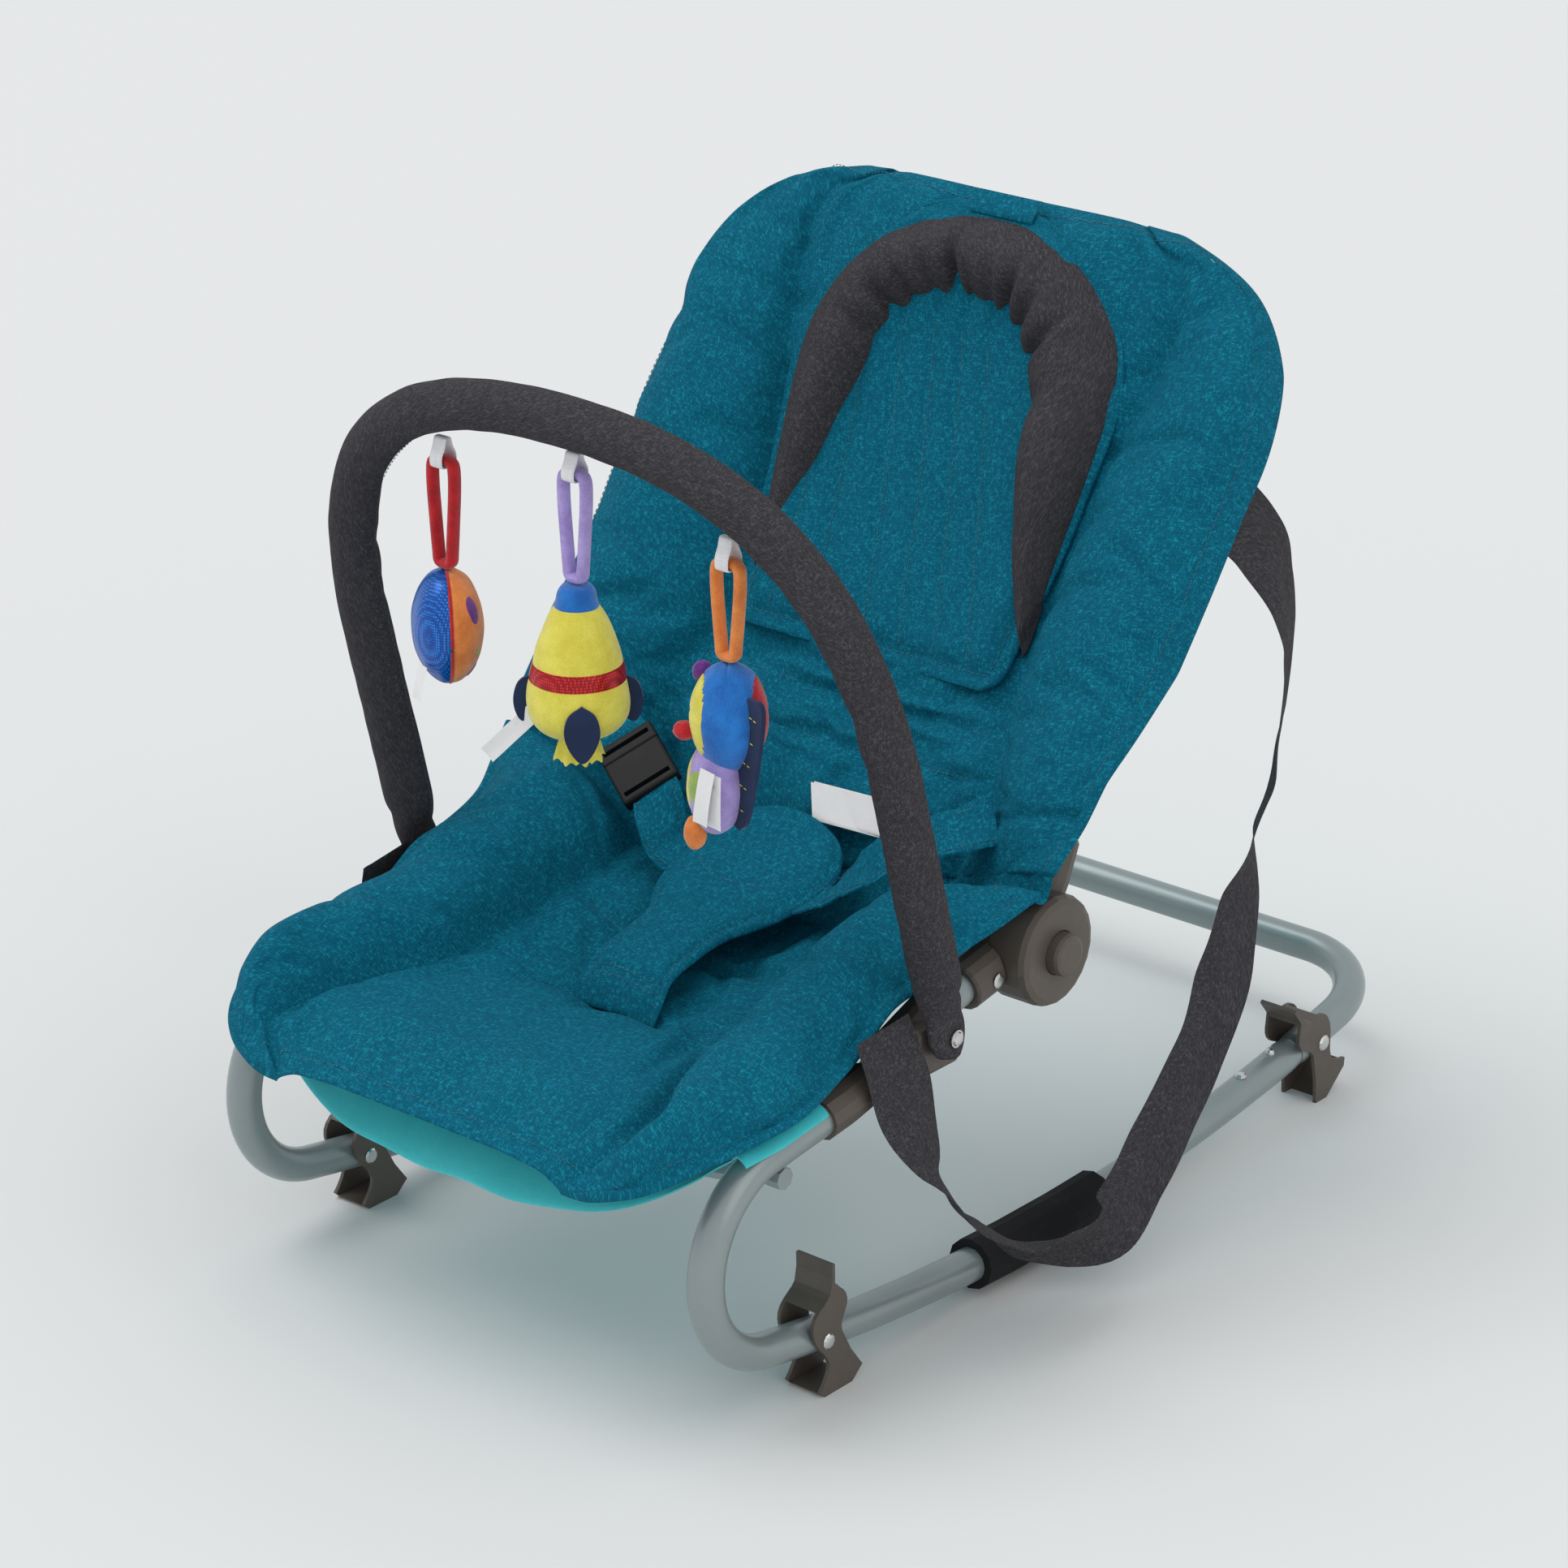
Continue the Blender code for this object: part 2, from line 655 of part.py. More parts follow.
def stands():
    inner = TUBE_RADIUS + GAP
    outer = inner + STAND_WALL
    for end, y, facing_rear in (("front", STAND_FRONT_Y, True), ("rear", STAND_REAR_Y, False)):
        spot = stand_pivot(y)
        for word, side in RIGHT_AND_LEFT:
            cheek = stand_shape(stand_outline(), RAIL_X - outer, RAIL_X + outer, spot, facing_rear)
            made = piece(f"stand_{end}_{word}", cheek, PLASTIC, side, spot)
            space = stand_shape(stand_inside(), RAIL_X - inner, RAIL_X + inner, spot, facing_rear)
            cut(made, space, side)
            reach = Vector((outer + 0.01, 0, 0))
            hole = cylinder(STAND_RIVET_RADIUS + GAP, Vector(spot) - reach, Vector(spot) + reach, 12)
            cut(made, hole, side)
            head = 0.0052 if end == "front" else 0.0056
            face = outer + GAP
            rivet = [(0.0, face + 0.0016), (head * 0.45, face + 0.0015), (head * 0.8, face + 0.0010),
                     (head, face), (STAND_RIVET_RADIUS, face), (STAND_RIVET_RADIUS, -face),
                     (head, -face), (head * 0.8, -face - 0.0010), (0.0, -face - 0.0015)]
            piece(f"stand_rivet_{end}_{word}", turned(rivet, 10, (1, 0, 0), spot), ZINC, side, spot)


# Seat hubs
def hub_spot(x=0.0):
    return (x, HUB_Y, HUB_Z)


def sleeve_points(start, end):
    return on_side([from_hub(start), from_hub(end)])


def hub_arms():
    hub_end = HUB_RADIUS - 0.006
    front = ARM_LENGTH
    for word, side in RIGHT_AND_LEFT:
        disc = cylinder(HUB_RADIUS - 0.001, hub_spot(HUB_INNER_X), hub_spot(HUB_SPLIT_X), 24)
        made = piece(f"hub_arm_{word}", disc, PLASTIC, side, hub_spot(RAIL_X))
        round_end = [(0.0, front), (ARM_RADIUS - 0.0015, front), (ARM_RADIUS, front - 0.0015),
                     (ARM_RADIUS, hub_end), (0.0, hub_end)]
        along = (0.0, -ARM_DIRECTION[0], -ARM_DIRECTION[1])
        arm = turned(round_end, 16, along, hub_spot(RAIL_X))
        join(made, arm, side)
        clear = cylinder(HUB_RADIUS + 4 * GAP, hub_spot(HUB_SPLIT_X), hub_spot(HUB_OUTER_X + 0.01), 24)
        cut(made, clear, side)
        bore = cylinder(TUBE_RADIUS + 2 * GAP, sleeve_points(front + 0.01, 0)[0],
                        sleeve_points(HUB_RADIUS + 0.003 - GAP, 0)[0], 16)
        cut(made, bore, side)
        floor = hub_spot(HUB_INNER_X + HUB_WALL)
        pocket = cylinder(GEAR_RADIUS + 0.001, floor, hub_spot(HUB_SPLIT_X + 0.01), 20)
        cut(made, pocket, side)
        pin = from_hub(ARM_RIVET_REACH)
        hole = cylinder(ARM_RIVET_SHANK + GAP, (RAIL_X - 0.03, *pin), (RAIL_X + 0.03, *pin), 12)
        cut(made, hole, side)


def hub_housings():
    """The round housing that turns with the back, with the arm that holds the back tube."""
    inner_end = HUB_RADIUS - 0.006
    tip = BACK_ARM_LENGTH
    for word, side in RIGHT_AND_LEFT:
        start = HUB_SPLIT_X + GAP
        rim = 0.005
        dome = [(0.0, HUB_OUTER_X), (HUB_RADIUS - rim, HUB_OUTER_X)]
        dome += [(HUB_RADIUS - rim * 0.3, HUB_OUTER_X - rim * 0.3), (HUB_RADIUS, HUB_OUTER_X - rim)]
        dome += [(HUB_RADIUS, start), (0.0, start)]
        made = piece(f"hub_housing_{word}", turned(dome, 22, (1, 0, 0), hub_spot()), PLASTIC, side,
                     hub_spot(RAIL_X))
        along = (0.0, BACK_UP[0], BACK_UP[1])
        holder = [(0.0, tip), (ARM_RADIUS - 0.0035, tip), (ARM_RADIUS - 0.0022, tip - 0.002),
                  (ARM_RADIUS, inner_end + 0.012), (ARM_RADIUS, inner_end), (0.0, inner_end)]
        join(made, turned(holder, 14, along, hub_spot(RAIL_X)), side)
        clear = cylinder(HUB_RADIUS - 0.001 + 4 * GAP, hub_spot(HUB_INNER_X - 0.01), hub_spot(start), 24)
        cut(made, clear, side)
        bore_start = Vector(back_point(RAIL_X, HUB_RADIUS + 0.003 - GAP))
        bore_end = Vector(back_point(RAIL_X, tip + 0.02))
        cut(made, cylinder(BACK_TUBE_RADIUS + 2 * GAP, bore_start, bore_end, 16), side)
        pocket = cylinder(GEAR_RADIUS + 0.001, hub_spot(start - 0.01), hub_spot(HUB_OUTER_X - HUB_WALL), 20)
        cut(made, pocket, side)
        window = cylinder(BUTTON_RADIUS + GAP * 2, hub_spot(start), hub_spot(HUB_OUTER_X + 0.01), 20)
        cut(made, window, side)


def gear_outline(radius, teeth):
    points = []
    for i in range(teeth * 4):
        tip = i % 4 in (0, 1)
        reach = radius if tip else radius * 0.88
        angle = math.tau * (i + 0.5) / (teeth * 4)
        points.append((HUB_Y + reach * math.cos(angle), HUB_Z + reach * math.sin(angle), True))
    return points


def hub_insides():
    """Each push button, with the toothed lock ring on its foot, and the return spring behind it."""
    gear_outer = HUB_OUTER_X - HUB_WALL - GAP
    gear_inner = gear_outer - GEAR_LENGTH
    floor = HUB_INNER_X + HUB_WALL
    face = HUB_OUTER_X + BUTTON_PROUD
    cup_floor = gear_outer - 0.0035
    spring_radius = GEAR_RADIUS * 0.45
    for word, side in RIGHT_AND_LEFT:
        cap = [(0.0, face), (BUTTON_RADIUS - 0.0030, face), (BUTTON_RADIUS - 0.0008, face - 0.0008),
               (BUTTON_RADIUS, face - 0.0030), (BUTTON_RADIUS, gear_outer - 0.001), (0.0, gear_outer - 0.001)]
        made = piece(f"hub_button_{word}", turned(cap, 20, (1, 0, 0), hub_spot()), PLASTIC, side,
                     hub_spot(face))
        join(made, plate(gear_outline(GEAR_RADIUS, GEAR_TEETH), gear_inner, gear_outer, 1), side)
        cup = cylinder(spring_radius + 0.002, hub_spot(gear_inner - 0.01), hub_spot(cup_floor), 16)
        cut(made, cup, side)
        low = floor + SPRING_WIRE + GAP
        high = cup_floor - SPRING_WIRE - GAP
        count = SPRING_TURNS * 8
        coil = []
        for i in range(count + 1):
            angle = math.tau * SPRING_TURNS * i / count
            x = low + (high - low) * i / count
            coil.append((x, HUB_Y + spring_radius * math.cos(angle), HUB_Z + spring_radius * math.sin(angle)))
        piece(f"hub_spring_{word}", tube(coil, SPRING_WIRE, 0), ZINC, side, hub_spot(low))


def arm_rivets():
    y, z = from_hub(ARM_RIVET_REACH)
    face = ARM_RADIUS + GAP
    head = 0.0048
    rivet = [(0.0, face + 0.0012), (head * 0.6, face + 0.0012), (head, face + 0.0003), (head, face),
             (ARM_RIVET_SHANK, face), (ARM_RIVET_SHANK, -face), (head, -face), (head * 0.8, -face - 0.001),
             (0.0, -face - 0.0012)]
    for word, side in RIGHT_AND_LEFT:
        piece(f"arm_rivet_{word}", turned(rivet, 10, (1, 0, 0), (RAIL_X, y, z)), ZINC, side)


def tube_collars():
    """A plastic collar on each side tube where it goes under the seat fabric."""
    for word, side in RIGHT_AND_LEFT:
        end = SEAT_BEND_Y + COLLAR_REAR
        start = end - COLLAR_LENGTH
        run = on_side(seat_tube_run(start, end))
        skin, bore = hollow(run, TUBE_RADIUS + COLLAR_WALL, TUBE_RADIUS + GAP)
        made = piece(f"tube_collar_{word}", skin, PLASTIC, side)
        cut(made, bore, side)


def bar_brackets():
    """A clamp on each side tube with a flat cheek that the toy bar's foot is bolted to."""
    y, z = BAR_PIVOT_Y, BAR_PIVOT_Z
    centre = seat_tube_height(y)
    slope = (seat_tube_height(y + 0.02) - seat_tube_height(y - 0.02)) / 0.04
    length = BRACKET_LENGTH / 2
    for word, side in RIGHT_AND_LEFT:
        ends = on_side([(y - length, centre - slope * length), (y + length, centre + slope * length)])
        made = piece(f"bar_bracket_{word}", cylinder(BRACKET_RADIUS, *ends, 18), PLASTIC, side)
        low = (RAIL_X + 0.004, y - 0.019, centre - 0.0215)
        high = (BRACKET_FACE_X, y + 0.021, z + 0.006)
        join(made, block(low, high, 0.003), side)
        bore = on_side(seat_tube_run(y - length - 0.006, y + length + 0.006))
        cut(made, tube(bore, TUBE_RADIUS + BRACKET_PLAY, 3), side)
        hole = cylinder(BAR_BOLT_SHANK + GAP, (RAIL_X, y, z), (RAIL_X + 0.04, y, z), 12)
        cut(made, hole, side)
        washer = BAR_END_X + BAR_END_HALF + GAP
        head = [(0.0, 0.0024), (0.0022, 0.0022), (0.0040, 0.0014), (0.0046, 0.0), (0.0056, 0.0),
                (0.0056, -0.0006), (0.0056, -0.0006 - GAP), (BAR_BOLT_SHANK, -0.0006 - GAP)]
        reach = washer + 0.0009 + GAP
        tip = RAIL_X + TUBE_RADIUS * 0.35 + GAP - reach
        bolt = turned(head + [(BAR_BOLT_SHANK, tip), (0.0, tip)], 12, (1, 0, 0), (reach, y, z))
        piece(f"bar_bolt_{word}", bolt, ZINC, side)


# Back tube
def back_tube_run():
    start = (RAIL_X, HUB_RADIUS + 0.003)
    rise = (RAIL_X, BACK_ARM_LENGTH + 0.004)
    corner = BACK_TUBE_TOP - BACK_CORNER_RADIUS
    flare_end = (BACK_TUBE_X, corner - 0.06)
    first = (RAIL_X, rise[1] + 0.06)
    second = (BACK_TUBE_X, flare_end[1] - 0.06)
    run = [start, rise] + bezier(rise, first, second, flare_end, 6)
    centre = (BACK_TUBE_X - BACK_CORNER_RADIUS, corner)
    run += arc(centre, BACK_CORNER_RADIUS, 0.0, math.pi / 2, 9)
    return run


def back_tube():
    half = [back_point(x, up) for x, up in back_tube_run()]
    whole = half + [(-x, y, z) for x, y, z in reversed(half)]
    piece("back_tube", tube(whole, BACK_TUBE_RADIUS, 3), PAINT, 1, hub_spot())


# Brace under the seat
def seat_crossbar():
    """A bowed tube under the lining that ties the side tubes together."""
    z = seat_tube_height(SEAT_CROSSBAR_Y) - TUBE_RADIUS - SEAT_CROSSBAR_RADIUS
    flat = RAIL_X - TUBE_RADIUS
    reach = RAIL_X + TUBE_RADIUS / 2
    half = [(0.0, SEAT_CROSSBAR_BOW)]
    half += [(flat * f, SEAT_CROSSBAR_BOW * (1 - f ** 4)) for f in (0.25, 0.5, 0.7, 0.85, 1.0)]
    half.append((reach, 0.0))
    run = [(-x, SEAT_CROSSBAR_Y, z - drop) for x, drop in reversed(half[1:])]
    run += [(x, SEAT_CROSSBAR_Y, z - drop) for x, drop in half]
    piece("seat_crossbar", tube(run, SEAT_CROSSBAR_RADIUS, 2), PAINT)


# Padding: the seat by its station along Y
SEAT_STATIONS = (
    # y, half width, edge height, crease x, crease height, middle height
    (-0.3755, 0.138, 0.1665, 0.112, 0.1670, 0.1680),
    (-0.3675, 0.158, 0.1690, 0.126, 0.1730, 0.1730),
    (-0.3555, 0.175, 0.1765, 0.136, 0.1800, 0.1790),
    (-0.3375, 0.187, 0.1840, 0.140, 0.1840, 0.1840),
    (-0.3105, 0.198, 0.1905, 0.134, 0.1890, 0.1860),
    (-0.2695, 0.205, 0.1970, 0.119, 0.1920, 0.1840),
    (-0.2265, 0.197, 0.2020, 0.108, 0.1930, 0.1780),
    (-0.2015, 0.194, 0.2095, 0.105, 0.1950, 0.1735),
    (-0.1725, 0.193, 0.2265, 0.102, 0.2000, 0.1770),
    (-0.1445, 0.193, 0.2315, 0.101, 0.2070, 0.1790),
    (-0.1125, 0.195, 0.2420, 0.100, 0.2120, 0.1810),
    (-0.0855, 0.206, 0.2550, 0.101, 0.2140, 0.1850),
    (-0.0605, 0.217, 0.2690, 0.103, 0.2160, 0.1900),
)

# The back by its station up the tubes' plane, with heights out of that plane
BACK_STATIONS = (
    # up, half width, edge out, crease x, crease out, middle out, how far the sides ride up
    (0.0020, 0.218, 0.0400, 0.118, -0.0100, -0.0200, 0.038),
    (0.0300, 0.220, 0.0370, 0.124, -0.0040, -0.0170, 0.026),
    (0.0600, 0.222, 0.0330, 0.130, 0.0010, -0.0140, 0.014),
    (0.0860, 0.223, 0.0310, 0.131, 0.0040, -0.0130, 0.006),
    (0.1310, 0.227, 0.0300, 0.120, -0.0040, -0.0170, 0.000),
    (0.1740, 0.230, 0.0290, 0.118, -0.0040, -0.0150, 0.000),
    (0.2350, 0.232, 0.0260, 0.122, -0.0010, -0.0120, 0.000),
    (0.2820, 0.232, 0.0230, 0.127, 0.0040, -0.0080, 0.000),
    (0.3190, 0.231, 0.0180, 0.137, 0.0070, -0.0040, 0.000),
    (0.3490, 0.225, 0.0160, 0.143, 0.0080, 0.0010, 0.000),
    (0.3740, 0.216, 0.0145, 0.147, 0.0120, 0.0070, 0.000),
    (0.3990, 0.202, 0.0130, 0.146, 0.0165, 0.0140, 0.000),
    (0.4180, 0.183, 0.0110, 0.136, 0.0200, 0.0160, 0.000),
    (0.4310, 0.157, 0.0105, 0.116, 0.0190, 0.0150, 0.000),
    (0.4425, 0.125, 0.0060, 0.098, 0.0110, 0.0060, 0.000),
)
SEAT_SEAMS = (-0.2015, -0.1295)
BACK_SEAMS = (0.080, 0.112)
BACK_ROWS = (0.002, 0.035, 0.066, 0.080, 0.112, 0.150, 0.195, 0.240, 0.285, 0.325, 0.360, 0.392, 0.416,
             0.431, 0.4425)
BACK_SLING_TOP = BACK_TUBE_TOP - BACK_TUBE_RADIUS
SEAT_FRONT = SEAT_STATIONS[0][0]
SEAT_REAR = SEAT_STATIONS[-1][0]
BACK_FOOT = BACK_STATIONS[0][0]
BACK_TOP = BACK_STATIONS[-1][0]


def section_height(x, half, edge, crease, crease_height, middle, crown):
    """Height of a padded section at x: a dished middle, a sewn crease and a stuffed side roll."""
    x = abs(x)
    if x <= crease:
        f = x / crease
        base = middle + (crease_height - middle) * f * f
        puff = MIDDLE_PUFF * min(1.0, math.sin(math.pi * max(f, 0.5)))
        return base + puff - CREASE_DEPTH * max(0.0, f - 0.85) / 0.15
    f = min(1.0, (x - crease) / (half - crease))
    base = crease_height + (edge - crease_height) * f
    roll = crown * math.sin(math.pi * f) ** 0.75
    return base + roll - CREASE_DEPTH * max(0.0, 0.15 - f) / 0.15


def seam_dip(place, seams, inside):
    """Depth of the channels sewn across the padding."""
    dip = max(1.0 - abs(place - seam) / SEAM_HALF_WIDTH for seam in seams)
    return max(0.0, dip) * SEAM_DEPTH * max(0.0, inside) ** 0.3


def across(half, crease):
    """Places across a section: even steps in the middle and in each side roll."""
    steps = [crease * f for f in (0.0, 0.5, 0.85, 1.0)]
    steps += [crease + (half - crease) * f for f in (0.22, 0.50, 0.78, 1.0)]
    return [-x for x in reversed(steps[1:])] + steps


def station_places(stations, seams, count):
    """Evenly spread stations, the nearest one moved onto each sewn channel."""
    first = stations[0][0]
    last = stations[-1][0]
    places = [first + (last - first) * i / (count - 1) for i in range(count)]
    for seam in seams:
        near = min(range(count), key=lambda i: abs(places[i] - seam))
        places[near] = seam
    return places


def fade_in(distance, reach):
    return min(1.0, max(0.0, distance / reach))


def side_tube_top(y):
    """Height of the side tube's upper surface, round its front bend too."""
    centre, _ = front_bend_centre()
    if y >= seat_line()[0][0]:
        return seat_tube_height(y) + TUBE_RADIUS
    reach = (FRONT_BEND_RADIUS + TUBE_RADIUS) ** 2 - (y - centre[0]) ** 2
    return centre[1] + math.sqrt(reach) if reach > 0 else -1.0


def seat_surface(x, y):
    """Upper surface of the seat's padding."""
    half, edge, crease, crease_height, middle = smooth_through(SEAT_STATIONS, y)
    crown = SEAT_CROWN * fade_in(y - SEAT_FRONT, 0.05) ** 0.5 * (0.35 + 0.65 * fade_in(SEAT_REAR - y, 0.04))
    z = section_height(x, half, edge, crease, crease_height, middle, crown)
    return z - seam_dip(y, SEAT_SEAMS, 1 - abs(x) / crease)


def sling_height(x, y):
    """Upper face of the seat's lining: over the side tubes, sagging between them under the padding."""
    forward = fade_in(y - SEAT_FRONT, 0.10)
    top = seat_tube_height(y) + TUBE_RADIUS + 4 * GAP + SLING_THICKNESS
    sag = SEAT_SAG * (0.35 + 0.65 * forward)
    f = min(1.0, abs(x) / RAIL_X)
    hung = top - SEAT_NOSE_DROP * (1 - forward) ** 2 - sag * (1 - f * f)
    if f > 0.9:
        return hung
    return min(hung, seat_surface(x, y) - PAD_THINNEST)


def seat_hardware_top(x, y):
    """Lowest height at which the padding clears the collar, the bracket, the hub and its arm."""
    if abs(x) < HARDWARE_X:
        return -1.0
    clear = side_tube_top(y) + COLLAR_WALL + 2 * GAP
    if y > BAR_PIVOT_Y - BRACKET_LENGTH / 2 - 0.008:
        bracket = max(seat_tube_height(y) + BRACKET_RADIUS, BAR_PIVOT_Z + 0.006)
        clear = max(clear, bracket + 2 * GAP)
    if y > from_hub(ARM_LENGTH)[0] - 0.008:
        clear = max(clear, seat_tube_height(y) + ARM_RADIUS * 1.03 + 2 * GAP)
    disc = (HUB_RADIUS + 0.001) ** 2 - (y - HUB_Y) ** 2
    if disc > 0:
        clear = max(clear, HUB_Z + math.sqrt(disc))
    return clear


def underside(top, floor, edge, x, half):
    """Lower face of a pad: on what carries it, tucked up to a thin hem at the side."""
    hem = edge - 0.004
    tuck = fade_in(abs(x) - half + 0.024, 0.024) ** 2
    base = floor + max(0.0, hem - floor) * tuck
    return min(base, top - 0.004)


def seat_pad():
    top = []
    bottom = []
    for y in station_places(SEAT_STATIONS, SEAT_SEAMS, PAD_ROWS):
        half, edge, crease, _, _ = smooth_through(SEAT_STATIONS, y)
        upper = [(x, y, seat_surface(x, y)) for x in across(half, crease)]
        lower = []
        for x, _, z in upper:
            floor = max(sling_height(x, y) + SOFT_GAP, seat_hardware_top(x, y))
            lower.append((x, y, underside(z, floor, edge, x, half)))
        top.append(upper)
        bottom.append(lower)
    piece("seat_pad", sheet(top, bottom), TEAL, smooth=60.0)


def back_leg_x(up):
    run = back_tube_run()
    if up < run[0][1]:
        return run[0][0]
    for near, far in zip(run, run[1:]):
        if near[1] <= up <= far[1]:
            return near[0] + (far[0] - near[0]) * (up - near[1]) / max(far[1] - near[1], 1e-9)
    return run[-1][0]


def back_sling_out(x, up):
    """Front face of the back's lining: over the back tube, sagging to the rear between its legs."""
    front = BACK_TUBE_RADIUS + 4 * GAP + SLING_THICKNESS
    f = min(1.0, abs(x) / back_leg_x(up))
    top = fade_in(BACK_TUBE_TOP - 0.028 - up, 0.06) ** 0.7
    hung = front - BACK_SAG * (1 - f * f) * top
    return min(hung, back_surface(x, up) - PAD_THINNEST)


def back_hardware_out(x, up):
    """How far out the padding stays to clear the hub housing and its arm."""
    if abs(x) < HARDWARE_X or up > BACK_ARM_LENGTH + 0.016:
        return -1.0
    disc = HUB_RADIUS ** 2 - up ** 2
    hub = math.sqrt(disc) if disc > 0 else 0.0
    return max(hub, ARM_RADIUS) + 4 * GAP


def back_station(x, place):
    """The station whose section passes this place: the lowest sections ride up at their sides."""
    up = place
    for _ in range(6):
        half, _, _, _, _, ride = smooth_through(BACK_STATIONS, up)
        up = place - ride * abs(x) / half
    return up


def back_surface(x, place):
    """Front face of the back's padding, out of the tubes' plane."""
    up = back_station(x, place)
    half, edge, crease, crease_out, middle, _ = smooth_through(BACK_STATIONS, up)
    crown = BACK_CROWN * fade_in(BACK_TOP - up, 0.05) ** 0.5 * (0.3 + 0.7 * fade_in(up - BACK_FOOT, 0.07))
    out = section_height(x, half, edge, crease, crease_out, middle, crown)
    return out - seam_dip(up, BACK_SEAMS, 1 - abs(x) / crease)


def back_pad():
    front = []
    rear = []
    for up in BACK_ROWS:
        half, edge, crease, _, _, ride = smooth_through(BACK_STATIONS, up)
        near = []
        far = []
        for x in across(half, crease):
            place = up + ride * abs(x) / half
            out = back_surface(x, place)
            carried = BACK_TUBE_RADIUS + SLING_THICKNESS + 4 * GAP
            if up < BACK_SLING_TOP:
                carried = back_sling_out(x, place) + SOFT_GAP
            floor = max(carried, back_hardware_out(x, place))
            near.append(back_point(x, place, out))
            far.append(back_point(x, place, underside(out, floor, edge, x, half)))
        front.append(near)
        rear.append(far)
    piece("back_pad", sheet(front, rear), TEAL, 1, hub_spot(), smooth=60.0)


def slings():
    """The lining that carries the padding on the tubes, cut short of the hubs at each side."""
    top = []
    bottom = []
    for y in station_places(SEAT_STATIONS, SEAT_SEAMS, PAD_ROWS)[1:-1]:
        half, _, crease, _, _ = smooth_through(SEAT_STATIONS, y)
        reach = RAIL_X - 0.003 if y < SEAT_CROSSBAR_Y else RAIL_X - TUBE_RADIUS - 0.010
        if y > from_hub(ARM_LENGTH)[0] - 0.055:
            reach = HUB_INNER_X - 0.010
        row = [max(-reach, min(reach, x)) for x in across(half, crease)[1:-1]]
        top.append([(x, y, sling_height(x, y)) for x in row])
        bottom.append([(x, y, sling_height(x, y) - SLING_THICKNESS) for x in row])
    piece("seat_sling", sheet(top, bottom), TURQUOISE, smooth=60.0)
    near = []
    far = []
    for up in [up for up in BACK_ROWS if up < BACK_SLING_TOP]:
        half, _, crease, _, _, ride = smooth_through(BACK_STATIONS, up)
        front_row = []
        rear_row = []
        for x in across(half, crease)[1:-1]:
            place = up + ride * abs(x) / half
            tube_side = back_leg_x(place) - BACK_TUBE_RADIUS - 0.003
            reach = min(tube_side, HUB_INNER_X - 0.008 + 0.4 * max(0.0, place - 0.08))
            x = max(-reach, min(reach, x))
            out = back_sling_out(x, place)
            front_row.append(back_point(x, place, out))
            rear_row.append(back_point(x, place, out - SLING_THICKNESS))
        near.append(front_row)
        far.append(rear_row)
    piece("back_sling", sheet(near, far), TURQUOISE, 1, hub_spot(), smooth=60.0)


# Head cushion: a flat insert and a stuffed roll bent round its top
INSERT_STATIONS = (
    # up, half width
    (0.137, 0.094), (0.145, 0.103), (0.179, 0.109), (0.227, 0.117), (0.275, 0.122), (0.317, 0.126),
    (0.350, 0.121), (0.375, 0.109), (0.406, 0.082), (0.424, 0.050), (0.431, 0.028),
)
ROLL_RUN = (
    # x, up, radius as a share of the full one
    (0.000, 0.392, 1.00), (0.030, 0.389, 1.00), (0.056, 0.377, 1.00), (0.076, 0.361, 1.00),
    (0.088, 0.340, 0.99), (0.094, 0.312, 0.97), (0.096, 0.280, 0.92), (0.097, 0.250, 0.78),
    (0.097, 0.222, 0.58), (0.099, 0.192, 0.34), (0.100, 0.165, 0.08),
)


def insert_thickness(x, up):
    half = smooth_through(INSERT_STATIONS, up)[0]
    rim = max(0.0, 1 - (abs(x) / half) ** 4)
    ends = fade_in(up - INSERT_STATIONS[0][0], 0.02) * fade_in(INSERT_STATIONS[-1][0] - up, 0.03)
    return INSERT_EDGE + (INSERT_THICKNESS - INSERT_EDGE) * (rim * ends) ** 0.5


def insert_surface(x, up):
    return back_surface(x, up) + INSERT_GAP + insert_thickness(x, up)


def head_insert():
    near = []
    far = []
    for i in range(11):
        up = INSERT_STATIONS[0][0] + (INSERT_STATIONS[-1][0] - INSERT_STATIONS[0][0]) * i / 10
        half = smooth_through(INSERT_STATIONS, up)[0]
        row = [half * f for f in (-1.0, -0.9, -0.65, -0.3, 0.0, 0.3, 0.65, 0.9, 1.0)]
        near.append([back_point(x, up, insert_surface(x, up)) for x in row])
        far.append([back_point(x, up, back_surface(x, up) + INSERT_GAP) for x in row])
    piece("head_insert", sheet(near, far), TEAL, 1, hub_spot(), smooth=60.0)


def head_roll():
    """A horseshoe roll, round on top and flat where it lies on the insert."""
    right = list(ROLL_RUN)
    run = [(-x, up, share) for x, up, share in reversed(right[1:])] + right
    rings = []
    sides = 10
    for i, (x, up, share) in enumerate(run):
        before = run[max(i - 1, 0)]
        after = run[min(i + 1, len(run) - 1)]
        along = Vector((after[0] - before[0], after[1] - before[1])).normalized()
        outward = Vector((along[1], -along[0]))
        width = ROLL_RADIUS * share
        rise = ROLL_RISE * share ** 0.8
        ring = []
        for k in range(sides):
            angle = math.tau * k / sides
            px = x + outward[0] * width * math.cos(angle)
            pu = up + outward[1] * width * math.cos(angle)
            base = insert_surface(px, pu) + ROLL_GAP
            ring.append(back_point(px, pu, base + rise * max(0.0, 0.5 + 0.5 * math.sin(angle)) ** 0.8))
        rings.append(ring)
    piece("head_roll", loft(rings), GREY, 1, hub_spot(), smooth=60.0)


